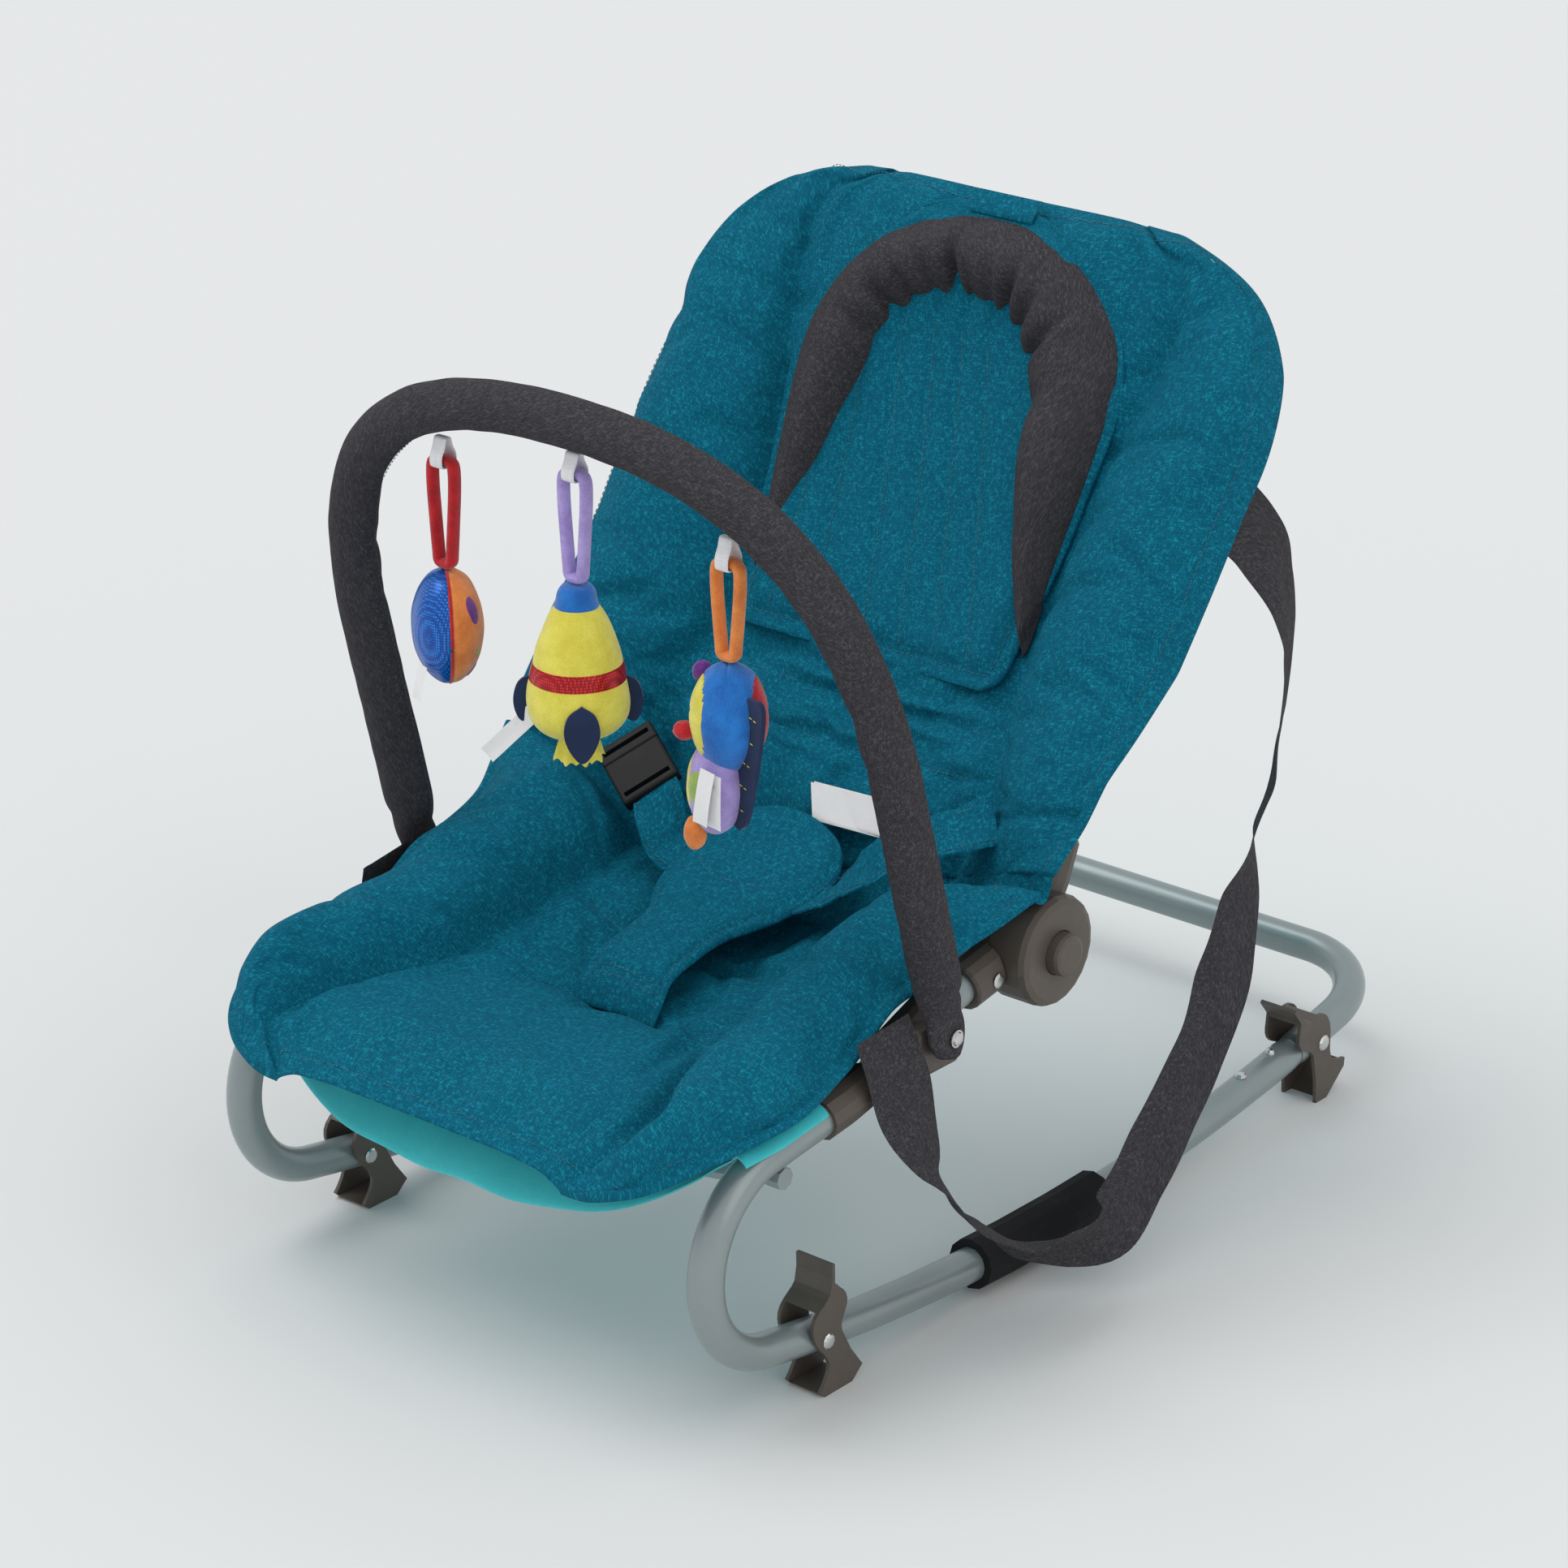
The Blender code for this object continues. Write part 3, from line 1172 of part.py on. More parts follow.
# Harness
CROTCH_STATIONS = (
    # y, middle height, half width, half thickness
    (-0.2035, 0.1765, 0.033, 0.0020), (-0.1975, 0.1870, 0.034, 0.0026), (-0.1855, 0.2005, 0.032, 0.0030),
    (-0.1575, 0.2085, 0.031, 0.0034), (-0.1335, 0.2130, 0.033, 0.0042), (-0.1195, 0.2165, 0.041, 0.0052),
    (-0.1035, 0.2200, 0.049, 0.0060), (-0.0795, 0.2250, 0.055, 0.0066), (-0.0575, 0.2320, 0.056, 0.0066),
    (-0.0435, 0.2400, 0.050, 0.0060), (-0.0335, 0.2460, 0.038, 0.0050), (-0.0285, 0.2490, 0.022, 0.0036),
)
BUCKLE_FROM = Vector((-0.136, -0.0435, 0.278))
BUCKLE_TO = Vector((-0.068, -0.0735, 0.244))
BUCKLE_WIDTH = 0.040
SOCKET_LENGTH = 0.034
SOCKET_HALF = 0.0052
PLUG_LENGTH = 0.014
PRONG_LENGTH = 0.020
WAIST_WIDTH = 0.032
WAIST_SEWN_X = 0.158
WAIST_SEWN_UP = 0.062
WAIST_SEWN_LIFT = 0.0064
LAP_EDGE = (-0.0592, -0.0790, 0.2222)
LAP_EDGE_RISE = (-0.0060, 0.0, 0.0060)
LAP_EDGE_ALONG = (0.05, 0.96, 0.24)


def crotch_piece():
    top = []
    bottom = []
    for y, middle, half, thick in CROTCH_STATIONS:
        row = [half * f for f in (-1.0, -0.85, -0.45, 0.0, 0.45, 0.85, 1.0)]
        upper = []
        lower = []
        for x in row:
            f = abs(x) / half
            swell = thick * (1 - f ** 4) ** 0.5 + 0.0008
            bend = 0.004 * f * f
            low = max(middle - bend - swell, seat_surface(x, y) + SOFT_GAP)
            upper.append((x, y, max(middle - bend + swell, low + 0.0016)))
            lower.append((x, y, low))
        top.append(upper)
        bottom.append(lower)
    piece("crotch_piece", sheet(top, bottom), TEAL, smooth=60.0)


def strap(knots, width, thickness):
    """A flat strap through knots of (centre, direction of its width)."""
    places = [Vector(place) for place, _ in knots]
    rings = []
    for i, (place, sideways) in enumerate(knots):
        along = places[min(i + 1, len(places) - 1)] - places[max(i - 1, 0)]
        along.normalize()
        wide = Vector(sideways)
        wide -= along * wide.dot(along)
        wide.normalize()
        up = along.cross(wide)
        a = wide * (width / 2)
        b = up * (thickness / 2)
        centre = Vector(place)
        rings.append([tuple(centre + a * p + b * q) for p, q in
                      ((-1, 0), (-0.9, -1), (0.9, -1), (1, 0), (0.9, 1), (-0.9, 1))])
    return loft(rings)


def buckle_frame():
    along = (BUCKLE_TO - BUCKLE_FROM).normalized()
    up = Vector((0.0, -0.6, 0.8))
    up = (up - along * up.dot(along)).normalized()
    wide = up.cross(along)
    start = BUCKLE_FROM + along * 0.012
    frame = Matrix((along, wide, up)).transposed().to_4x4()
    frame.translation = start
    return frame, along, wide, up


def in_buckle(mesh):
    frame, _, _, _ = buckle_frame()
    mesh.transform(frame)
    return mesh


def buckle():
    """A side-release buckle: the plug's three prongs go into the socket."""
    half = BUCKLE_WIDTH / 2
    joint = PLUG_LENGTH
    plug = piece("buckle_plug", in_buckle(block((0, -half, -0.0042), (joint, half, 0.0042), 0.0014)), BLACK)
    for y in (-half + 0.0075, 0.0, half - 0.0075):
        width = 0.0016 if y else 0.0020
        join(plug, in_buckle(block((joint - 0.003, y - width, -0.0020),
                                   (joint + PRONG_LENGTH, y + width, 0.0020))))
    for y in (-half + 0.0060, half - 0.0060):
        join(plug, in_buckle(block((joint + PRONG_LENGTH - 0.008, y - 0.0032, -0.0020),
                                   (joint + PRONG_LENGTH - 0.001, y + 0.0032, 0.0020))))
    slot = 0.0045
    cut(plug, in_buckle(block((slot, -half + 0.0035, -0.01), (slot + 0.0035, half - 0.0035, 0.01))))
    start = joint + GAP
    end = start + SOCKET_LENGTH
    socket = piece("buckle_socket", in_buckle(block((start, -half, -SOCKET_HALF),
                                                    (end, half, SOCKET_HALF), 0.0018)), BLACK)
    cut(socket, in_buckle(block((start - 0.01, -half + 0.0025, -0.0026),
                                (start + PRONG_LENGTH + 0.002, half - 0.0025, 0.0026))))
    for y in (-half, half):
        cut(socket, in_buckle(block((start + 0.008, y - 0.0045, -0.0026),
                                    (start + 0.021, y + 0.0045, 0.0026))))
    cut(socket, in_buckle(block((end - 0.008, -half + 0.0035, -0.01), (end - 0.0045, half - 0.0035, 0.01))))


def waist_straps():
    """The strap from the back to the buckle on one side and to the lap pad on the other."""
    frame, along, wide, _ = buckle_frame()
    start = frame.translation
    lift = back_surface(WAIST_SEWN_X, WAIST_SEWN_UP) + WAIST_SEWN_LIFT
    sewn = back_point(WAIST_SEWN_X, WAIST_SEWN_UP, lift)
    up_back = (0.0, BACK_UP[0], BACK_UP[1])
    knots = [((-sewn[0], sewn[1], sewn[2]), up_back)]
    knots += [(start - along * 0.014, wide), (start - along * GAP, wide)]
    piece("waist_strap_left", strap(knots, WAIST_WIDTH, STRAP_THICKNESS), TEAL)
    end = start + along * (PLUG_LENGTH + SOCKET_LENGTH + 2 * GAP)
    edge = Vector(LAP_EDGE)
    near_edge = edge + Vector(LAP_EDGE_RISE)
    knots = [(end, wide), (end + along * 0.006, wide), (near_edge, LAP_EDGE_ALONG), (edge, LAP_EDGE_ALONG)]
    piece("waist_tab", strap(knots, WAIST_WIDTH, STRAP_THICKNESS), TEAL)
    knots = [(sewn, up_back)]
    run = [(BUCKLE_FROM, wide), ((BUCKLE_FROM + BUCKLE_TO) / 2, wide), (near_edge, LAP_EDGE_ALONG),
           (edge, LAP_EDGE_ALONG)]
    for place, sideways in run:
        knots.append(((-place[0], place[1], place[2]), (-sideways[0], sideways[1], sideways[2])))
    piece("waist_strap_right", strap(knots, WAIST_WIDTH, STRAP_THICKNESS), TEAL)


# Toy bar
def bar_point(x, up, out=0.0):
    """A point of the toy bar from its place across, up its plane and out to the front."""
    y = BAR_PIVOT_Y - up * math.sin(BAR_TILT) - out * math.cos(BAR_TILT)
    z = BAR_PIVOT_Z + up * math.cos(BAR_TILT) - out * math.sin(BAR_TILT)
    return (x, y, z)


def bar_arch(count):
    corner = (BAR_HALF_WIDTH, BAR_LEG)
    top = (0.0, BAR_HEIGHT)
    return bezier(corner, (BAR_HALF_WIDTH, BAR_LEG + BAR_HANDLE), (BAR_HANDLE, BAR_HEIGHT), top, count)


def bar_run(foot, radius, end_half, count):
    """Sections up one leg and over to the middle: (x, up, half thickness, half width)."""
    run = []
    for share in (1.0, 0.94, 0.7, 0.0):
        run.append((BAR_END_X, -foot * share, end_half, max(0.003, math.sqrt(1 - share * share) * foot)))
    for up, f in ((0.012, 0.05), (0.026, 0.5), (0.045, 1.0), (0.100, 1.0)):
        x = BAR_END_X - (BAR_END_X - BAR_HALF_WIDTH) * up / BAR_LEG
        wide = foot + (radius - foot) * f
        run.append((x, up, end_half + (radius - end_half) * f, wide))
    run.append((BAR_HALF_WIDTH, BAR_LEG, radius, radius))
    for x, up in bar_arch(count):
        run.append((x, up, radius, radius))
    return run


def bar_shape(foot, radius, end_half, sides, count):
    right = bar_run(foot, radius, end_half, count)
    whole = right + [(-x, up, a, b) for x, up, a, b in reversed(right[:-1])]
    rings = []
    for i, (x, up, a, b) in enumerate(whole):
        before = whole[max(i - 1, 0)]
        after = whole[min(i + 1, len(whole) - 1)]
        along = Vector((after[0] - before[0], after[1] - before[1])).normalized()
        if abs(x) > BAR_HALF_WIDTH - 0.001:
            along = Vector((0.0, 1.0 if i < len(whole) / 2 else -1.0))
        normal = Vector((along[1], -along[0]))
        ring = []
        for k in range(sides):
            angle = math.tau * (k + 0.5) / sides
            shift = a * math.cos(angle)
            ring.append(bar_point(x + normal[0] * shift, up + normal[1] * shift, b * math.sin(angle)))
        rings.append(ring)
    return loft(rings)


def toy_bar():
    made = piece("bar_sleeve", bar_shape(BAR_RADIUS, BAR_RADIUS, BAR_END_HALF, 10, 7), GREY, 1,
                 (0, BAR_PIVOT_Y, BAR_PIVOT_Z))
    cut(made, bar_shape(0.0105 + GAP, BAR_TUBE_RADIUS + GAP, BAR_TUBE_END_HALF + GAP, 6, 7))
    inner = piece("bar_tube", bar_shape(0.0105, BAR_TUBE_RADIUS, BAR_TUBE_END_HALF, 6, 7), PLASTIC, 1,
                  (0, BAR_PIVOT_Y, BAR_PIVOT_Z))
    for _, side in RIGHT_AND_LEFT:
        for target in (made, inner):
            pin = ((BAR_END_X - 0.02, BAR_PIVOT_Y, BAR_PIVOT_Z), (BAR_END_X + 0.02, BAR_PIVOT_Y, BAR_PIVOT_Z))
            cut(target, cylinder(BAR_BOLT_SHANK + GAP, *pin, 12), side)


# Hanging toys
TOYS = (
    # name, x, drop from the bar to the loop, loop length, body length, loop colour
    ("ball", -0.095, 0.01116, 0.071, 0.071, RED),
    ("rocket", 0.012, 0.00981, 0.070, 0.108, LILAC),
    ("plush", 0.122, 0.01209, 0.063, 0.115, ORANGE),
)
BALL_THICKNESS = 0.047
ROCKET_RADIUS = 0.030
FIN_REACH = 0.0385
FELT_THICKNESS = 0.0022
PLUSH_HEAD_WIDTH = 0.0524
PLUSH_HEAD_DEPTH = 0.047
PLUSH_BODY_WIDTH = 0.0344
PLUSH_TIP_RADIUS = 0.0085
PLUSH_KNOB_RADIUS = 0.0068
WEBBING_WIDTH = 0.010
WEBBING_THICKNESS = 0.0012
TOY_LOOP_WIDE = 0.0080
TOY_LOOP_THICK = 0.0056
BAR_UNDER = 0.0006


def band_loop(run, width_axis, width, thickness):
    """A closed ring of band: its run is a closed list of points, its width along one axis."""
    points = [Vector(p) for p in run]
    wide = Vector(width_axis)
    rings = []
    for i, place in enumerate(points):
        along = (points[(i + 1) % len(points)] - points[i - 1]).normalized()
        out = along.cross(wide).normalized()
        a = wide * (width / 2)
        b = out * (thickness / 2)
        rings.append([tuple(place + a * p + b * q) for p, q in
                      ((-1, 0), (-0.6, -1), (0.6, -1), (1, 0), (0.6, 1), (-0.6, 1))])
    return loft(rings, closed=True)


def stirrup(half_run, centre, axis):
    """A closed run from one half of it, (across, height) pairs from the middle top to the middle foot."""
    places = list(half_run) + [(-across_by, z) for across_by, z in reversed(half_run[1:-1])]
    run = []
    for across_by, z in places:
        place = [centre[0], centre[1], z]
        place[axis] += across_by
        run.append(tuple(place))
    return run


def bar_bottom(x):
    """Height of the toy bar's underside over a place across."""
    run = [(BAR_HALF_WIDTH, BAR_LEG)] + bar_arch(40)
    for near, far in zip(run, run[1:]):
        if far[0] <= abs(x) <= near[0]:
            f = (near[0] - abs(x)) / max(near[0] - far[0], 1e-9)
            up = near[1] + (far[1] - near[1]) * f
            slope = (far[1] - near[1]) / max(near[0] - far[0], 1e-9)
            drop = BAR_RADIUS * math.sqrt(1 + slope * slope)
            place = bar_point(x, up)
            return place[1], place[2] - drop
    return bar_point(x, BAR_HEIGHT - BAR_RADIUS)[1:]


def toy_hang(x):
    """Where a toy's webbing is sewn under the bar, clear of it across the webbing's whole width."""
    y, _ = bar_bottom(x)
    under = bar_bottom(abs(x) + WEBBING_WIDTH / 2)[1]
    return (x, y, under - BAR_UNDER)


def toys():
    for name, x, drop_to_loop, loop_length, _, colour in TOYS:
        hang = toy_hang(x)
        loop_top = hang[2] - drop_to_loop
        body_top = loop_top - loop_length
        high = hang[2] - WEBBING_THICKNESS / 2
        crest = loop_top - GAP - TOY_LOOP_THICK / 2
        low = crest - TOY_LOOP_THICK / 2 - 2 * GAP - WEBBING_THICKNESS / 2
        span = high - low
        webbing = [(0.0, high), (0.0015, high - span * 0.04), (0.0030, high - span * 0.30),
                   (0.0062, high - span * 0.62), (0.0062, low + 0.0016), (0.0048, low), (0.0, low)]
        piece(f"{name}_webbing", band_loop(stirrup(webbing, hang, 1), (1, 0, 0), WEBBING_WIDTH,
                                           WEBBING_THICKNESS), GREY, 1, hang)
        foot = body_top + GAP + TOY_LOOP_THICK / 2
        drop = crest - foot
        plush = [(0.0, crest), (0.0075, crest), (0.0110, crest - 0.0040), (0.0112, crest - drop * 0.28),
                 (0.0088, crest - drop * 0.62), (0.0058, foot + 0.006), (0.0046, foot), (0.0, foot)]
        piece(f"{name}_loop", band_loop(stirrup(plush, hang, 0), (0, 1, 0), TOY_LOOP_WIDE, TOY_LOOP_THICK),
              colour, 1, hang)
    ball_toy()
    rocket_toy()
    plush_toy()


def toy_spot(index):
    """Where a toy's body hangs: its place over the floor, its top, its foot and its hinge."""
    _, x, drop_to_loop, loop_length, body_length, _ = TOYS[index]
    hang = toy_hang(x)
    body_top = hang[2] - drop_to_loop - loop_length
    return Vector((x, hang[1], 0.0)), body_top - GAP, body_top - body_length, hang


def ellipsoid(centre, radii, turn=0.0, segments=12, rings=8):
    work = bmesh.new()
    bmesh.ops.create_uvsphere(work, u_segments=segments, v_segments=rings, radius=1.0)
    shape = Matrix.Translation(centre) @ Matrix.Rotation(turn, 4, "Z") @ Matrix.Diagonal((*radii, 1.0))
    bmesh.ops.transform(work, matrix=shape, verts=work.verts)
    return mesh_from(work)


def ball_toy():
    """A round cushion of two dished halves, drawn in along its seam."""
    spot, top, foot, hang = toy_spot(0)
    high = (top - foot) / 2
    centre = spot + Vector((0, 0, (top + foot) / 2))
    size = (BALL_THICKNESS / 2, high, high)
    piece("ball_toy", ellipsoid(centre, size, math.radians(40.0), 14, 9), BLUE, 1, hang)

def rocket_toy():
    """A stuffed rocket: a round body with a nose, four felt fins and a frill below."""
    spot, top, foot, hang = toy_spot(1)
    span = top - foot
    outline = [(0.0, 1.0), (0.317, 0.985), (0.417, 0.90), (0.593, 0.80), (0.793, 0.65), (0.927, 0.51),
               (0.990, 0.40), (1.0, 0.31), (0.933, 0.23), (0.717, 0.165), (0.40, 0.135), (0.35, 0.07),
               (0.45, 0.0), (0.0, 0.005)]
    profile = [(ROCKET_RADIUS * wide, foot + span * share) for wide, share in outline]
    made = piece("rocket_toy", turned(profile, 14, (0, 0, 1), spot), YELLOW, 1, hang)
    for k in range(4):
        turn = math.radians(40.0 + 90.0 * k - 90.0)
        fin = [(0.52, 0.330), (0.78, 0.300), (1.0, 0.170), (0.974, 0.060), (0.753, 0.000), (0.52, 0.150)]
        corners = [(FIN_REACH * wide, foot + span * share, True) for wide, share in fin]
        felt = plate(corners, -FELT_THICKNESS / 2, FELT_THICKNESS / 2, 1)
        felt.transform(Matrix.Translation(spot) @ Matrix.Rotation(turn, 4, "Z"))
        join(made, felt)


def plush_toy():
    """A stuffed creature: a round head, a tapered body, a knob and a felt flap down its side."""
    spot, top, foot, hang = toy_spot(2)
    span = top - foot
    head = spot + Vector((0, 0, top - span * 0.29))
    size = (PLUSH_HEAD_WIDTH / 2, PLUSH_HEAD_DEPTH / 2, span * 0.29)
    made = piece("plush_toy", ellipsoid(head, size, math.radians(35.0)), BLUE, 1, hang)
    body = spot + Vector((0.0, 0.0, top - span * 0.63))
    join(made, ellipsoid(body, (PLUSH_BODY_WIDTH / 2, PLUSH_BODY_WIDTH / 2, span * 0.27), 0.0, 10, 7))
    tip = spot + Vector((-PLUSH_TIP_RADIUS / 2, -PLUSH_TIP_RADIUS / 2, foot + PLUSH_TIP_RADIUS))
    join(made, ellipsoid(tip, (PLUSH_TIP_RADIUS, PLUSH_TIP_RADIUS, PLUSH_TIP_RADIUS), 0.0, 8, 5))
    knob = spot + Vector((-PLUSH_HEAD_WIDTH * 0.38, -PLUSH_HEAD_DEPTH * 0.40, top - span * 0.36))
    join(made, ellipsoid(knob, (PLUSH_KNOB_RADIUS, PLUSH_KNOB_RADIUS, PLUSH_KNOB_RADIUS * 0.91), 0.0, 8, 5))


# Carry straps
CARRY_RUN = (
    # centre, direction of the width
    ((0.1996, -0.1900, 0.2190), (-0.05, 0.93, 0.35)),
    ((0.2055, -0.1880, 0.2020), (0.05, 0.94, 0.25)),
    ((0.2100, -0.1799, 0.1700), (0.10, 0.95, 0.15)),
    ((0.2200, -0.1714, 0.1355), (-0.30, 0.85, -0.15)),
    ((0.2290, -0.1655, 0.1160), (-0.59, 0.71, -0.38)),
    ((0.2360, -0.1507, 0.0924), (-0.59, 0.71, -0.38)),
    ((0.2420, -0.1225, 0.0701), (-0.59, 0.71, -0.38)),
    ((0.2450, -0.0875, 0.0531), (-0.50, 0.50, -0.60)),
    ((0.2480, -0.0500, 0.0415), (-0.20, 0.60, -0.70)),
    ((0.2500, -0.0250, 0.0450), (0.25, 0.83, -0.47)),
    ((0.2480, 0.0046, 0.0650), (0.25, 0.83, -0.47)),
    ((0.2460, 0.0350, 0.0911), (0.25, 0.83, -0.47)),
    ((0.2440, 0.0663, 0.1204), (0.25, 0.83, -0.47)),
    ((0.2420, 0.0937, 0.1598), (0.25, 0.83, -0.40)),
    ((0.2400, 0.1119, 0.2097), (0.00, 0.85, -0.35)),
    ((0.2400, 0.1226, 0.2477), (-0.50, 0.75, -0.38)),
    ((0.2400, 0.1401, 0.2758), (-0.59, 0.71, -0.38)),
    ((0.2400, 0.1496, 0.3177), (-0.50, 0.80, -0.30)),
    ((0.2400, 0.1544, 0.3639), (-0.45, 0.85, -0.10)),
    ((0.2400, 0.1520, 0.3863), (-0.40, 0.85, 0.10)),
    ((0.2380, 0.1398, 0.4183), (-0.20, 0.75, 0.55)),
    ((0.2320, 0.1263, 0.4426), (-0.05, 0.60, 0.80)),
    ((0.2255, 0.1110, 0.4610), (0.00, 0.537, 0.843)),
)


def carry_straps():
    for word, side in RIGHT_AND_LEFT:
        knots = []
        turn = None
        for place, sideways in CARRY_RUN:
            wide = Vector(sideways)
            if turn is not None and wide.dot(turn) < 0:
                wide = -wide
            turn = wide
            knots.append((place, tuple(wide)))
        piece(f"carry_strap_{word}", strap(knots, STRAP_WIDTH, STRAP_THICKNESS), GREY, side, smooth=60.0)


frame_tubes()
rear_tube()
foam_sleeves()
snap_buttons()
rail_screws()
stands()
hub_arms()
hub_housings()
hub_insides()
arm_rivets()
tube_collars()
bar_brackets()
back_tube()
seat_crossbar()
seat_pad()
back_pad()
slings()
head_insert()
head_roll()
crotch_piece()
buckle()
waist_straps()
toy_bar()
toys()
carry_straps()
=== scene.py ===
# %% [markdown]
# # A baby rocker
# The real rocker is a quilted cover on bent steel tubes, with a padded bar of toys over it. The packed
# model has every solid at its true size. This script gives those solids real finishes and makes the soft
# parts again as sewn cloth. First it loads the model. Cloth may stand only a little proud of it.

# %% Load the imported model
import math

import bmesh
import bpy
from mathutils import Matrix, Vector, noise
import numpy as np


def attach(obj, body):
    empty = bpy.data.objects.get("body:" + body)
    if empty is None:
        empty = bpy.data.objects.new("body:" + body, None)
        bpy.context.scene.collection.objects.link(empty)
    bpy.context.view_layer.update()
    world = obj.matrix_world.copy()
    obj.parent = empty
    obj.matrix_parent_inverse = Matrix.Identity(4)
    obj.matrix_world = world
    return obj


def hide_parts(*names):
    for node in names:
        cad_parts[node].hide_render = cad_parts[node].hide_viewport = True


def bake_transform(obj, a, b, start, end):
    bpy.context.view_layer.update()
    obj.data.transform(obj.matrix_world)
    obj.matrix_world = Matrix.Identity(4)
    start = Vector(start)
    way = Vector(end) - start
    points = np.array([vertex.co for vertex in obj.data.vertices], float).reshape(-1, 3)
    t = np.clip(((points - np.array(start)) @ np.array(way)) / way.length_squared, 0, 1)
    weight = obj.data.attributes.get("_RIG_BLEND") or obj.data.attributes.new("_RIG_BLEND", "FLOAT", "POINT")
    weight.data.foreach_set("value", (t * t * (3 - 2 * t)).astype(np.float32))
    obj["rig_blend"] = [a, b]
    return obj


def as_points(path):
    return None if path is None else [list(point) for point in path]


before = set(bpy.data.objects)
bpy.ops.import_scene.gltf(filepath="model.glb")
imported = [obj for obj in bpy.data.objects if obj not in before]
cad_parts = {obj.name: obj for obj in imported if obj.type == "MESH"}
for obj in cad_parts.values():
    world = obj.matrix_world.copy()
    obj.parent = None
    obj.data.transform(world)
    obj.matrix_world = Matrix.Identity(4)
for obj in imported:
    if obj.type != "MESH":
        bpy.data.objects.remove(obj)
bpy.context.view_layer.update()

scene = bpy.context.scene

# %% [markdown]
# ## Camera
# The photograph looks down on the rocker from its front right corner with a long lens, so lines that are
# parallel on the object stay nearly parallel. The lens length follows from how fast sizes shrink with
# distance. A short lens from close by would swell the front bends.

# %% Camera at the photograph's angle
camera_data = bpy.data.cameras.new("photo_camera")
camera_data.sensor_width = 36.0
camera_data.lens = 114.63
camera_data.clip_end = 60.0
camera = bpy.data.objects.new("photo_camera", camera_data)
camera.location = (1.8355, -2.2359, 1.4622)
camera.rotation_euler = (math.radians(67.439), math.radians(-0.036), math.radians(39.914))
scene.collection.objects.link(camera)
scene.camera = camera
print("camera:", tuple(round(v, 3) for v in camera.location))

# %% [markdown]
# ## Measures and small helpers
# Two lines carry most of the shapes: the side tube under the seat, and the back's plane, which leans from
# the hubs. A helper turns a place on the back (across, up, out) into a point of the model. Another reads
# smooth values between measured stations, as a pattern cutter does between the notches of a pattern.

# %% Measures in metres
RAIL_X = 0.187
TUBE_RADIUS = 0.011
HUB = Vector((0.0, -0.0415, 0.222))
BACK_ANGLE = math.radians(57.5)
BACK_UP = Vector((0.0, math.cos(BACK_ANGLE), math.sin(BACK_ANGLE)))
BACK_OUT = Vector((0.0, -math.sin(BACK_ANGLE), math.cos(BACK_ANGLE)))
LEFT_AND_RIGHT = (("left", -1), ("right", 1))


def back_point(x, up, out=0.0):
    """A point of the back from its place across, up the back and out of its plane."""
    return Vector((x, 0.0, 0.0)) + HUB + BACK_UP * up + BACK_OUT * out


def fade(value, reach):
    return min(1.0, max(0.0, value / reach))


def mix(a, b, share):
    return a + (b - a) * share


def through(rows, t):
    """Smooth values at t from (t, value, ...) rows in rising order."""
    if t <= rows[0][0]:
        return rows[0][1:]
    if t >= rows[-1][0]:
        return rows[-1][1:]
    i = max(k for k in range(len(rows)) if rows[k][0] <= t)
    before, here, after = rows[max(i - 1, 0)], rows[i], rows[i + 1]
    beyond = rows[min(i + 2, len(rows) - 1)]
    span = after[0] - here[0]
    f = (t - here[0]) / span
    values = []
    for k in range(1, len(here)):
        slope_a = (after[k] - before[k]) / (after[0] - before[0]) * span
        slope_b = (beyond[k] - here[k]) / (beyond[0] - here[0]) * span
        values.append((2 * f ** 3 - 3 * f ** 2 + 1) * here[k] + (f ** 3 - 2 * f ** 2 + f) * slope_a
                      + (3 * f ** 2 - 2 * f ** 3) * after[k] + (f ** 3 - f ** 2) * slope_b)
    return tuple(values)


def run_through(knots, count):
    """Points spread evenly along a smooth run through knots of any number of values."""
    fine = []
    rows = [(float(i), *knot) for i, knot in enumerate(knots)]
    for i in range(16 * (len(knots) - 1) + 1):
        fine.append(through(rows, i / 16))
    far = [0.0]
    for near, after in zip(fine, fine[1:]):
        far.append(far[-1] + (Vector(after[:3]) - Vector(near[:3])).length)
    rows = [(d + 1e-9 * i, *values) for i, (d, values) in enumerate(zip(far, fine))]
    return [through(rows, far[-1] * i / (count - 1)) for i in range(count)]


print("the back leans", round(math.degrees(BACK_ANGLE), 1), "degrees from level")

# %% [markdown]
# ## One way to make cloth
# A cloth piece starts as Blender's own grid, and each of its points is moved onto the piece's surface.
# The grid remembers where each point was, so seams can be found again, and its UV map can be measured in
# metres of cloth. Weave and stitches then have the same size on every piece, however it bends.

# %% Grids, finished pieces and their cloth maps
def shaped_grid(columns, rows, place, work=None):
    """A grid with each point moved by place(across, along), both from 0 to 1."""
    work = work or bmesh.new()
    across = work.verts.layers.float.get("across") or work.verts.layers.float.new("across")
    along = work.verts.layers.float.get("along") or work.verts.layers.float.new("along")
    made = bmesh.ops.create_grid(work, x_segments=columns, y_segments=rows, size=0.5)["verts"]
    for vert in made:
        vert[across] = round((vert.co.x + 0.5) * columns) / columns
        vert[along] = round((vert.co.y + 0.5) * rows) / rows
        vert.co = place(vert[across], vert[along])
    return work


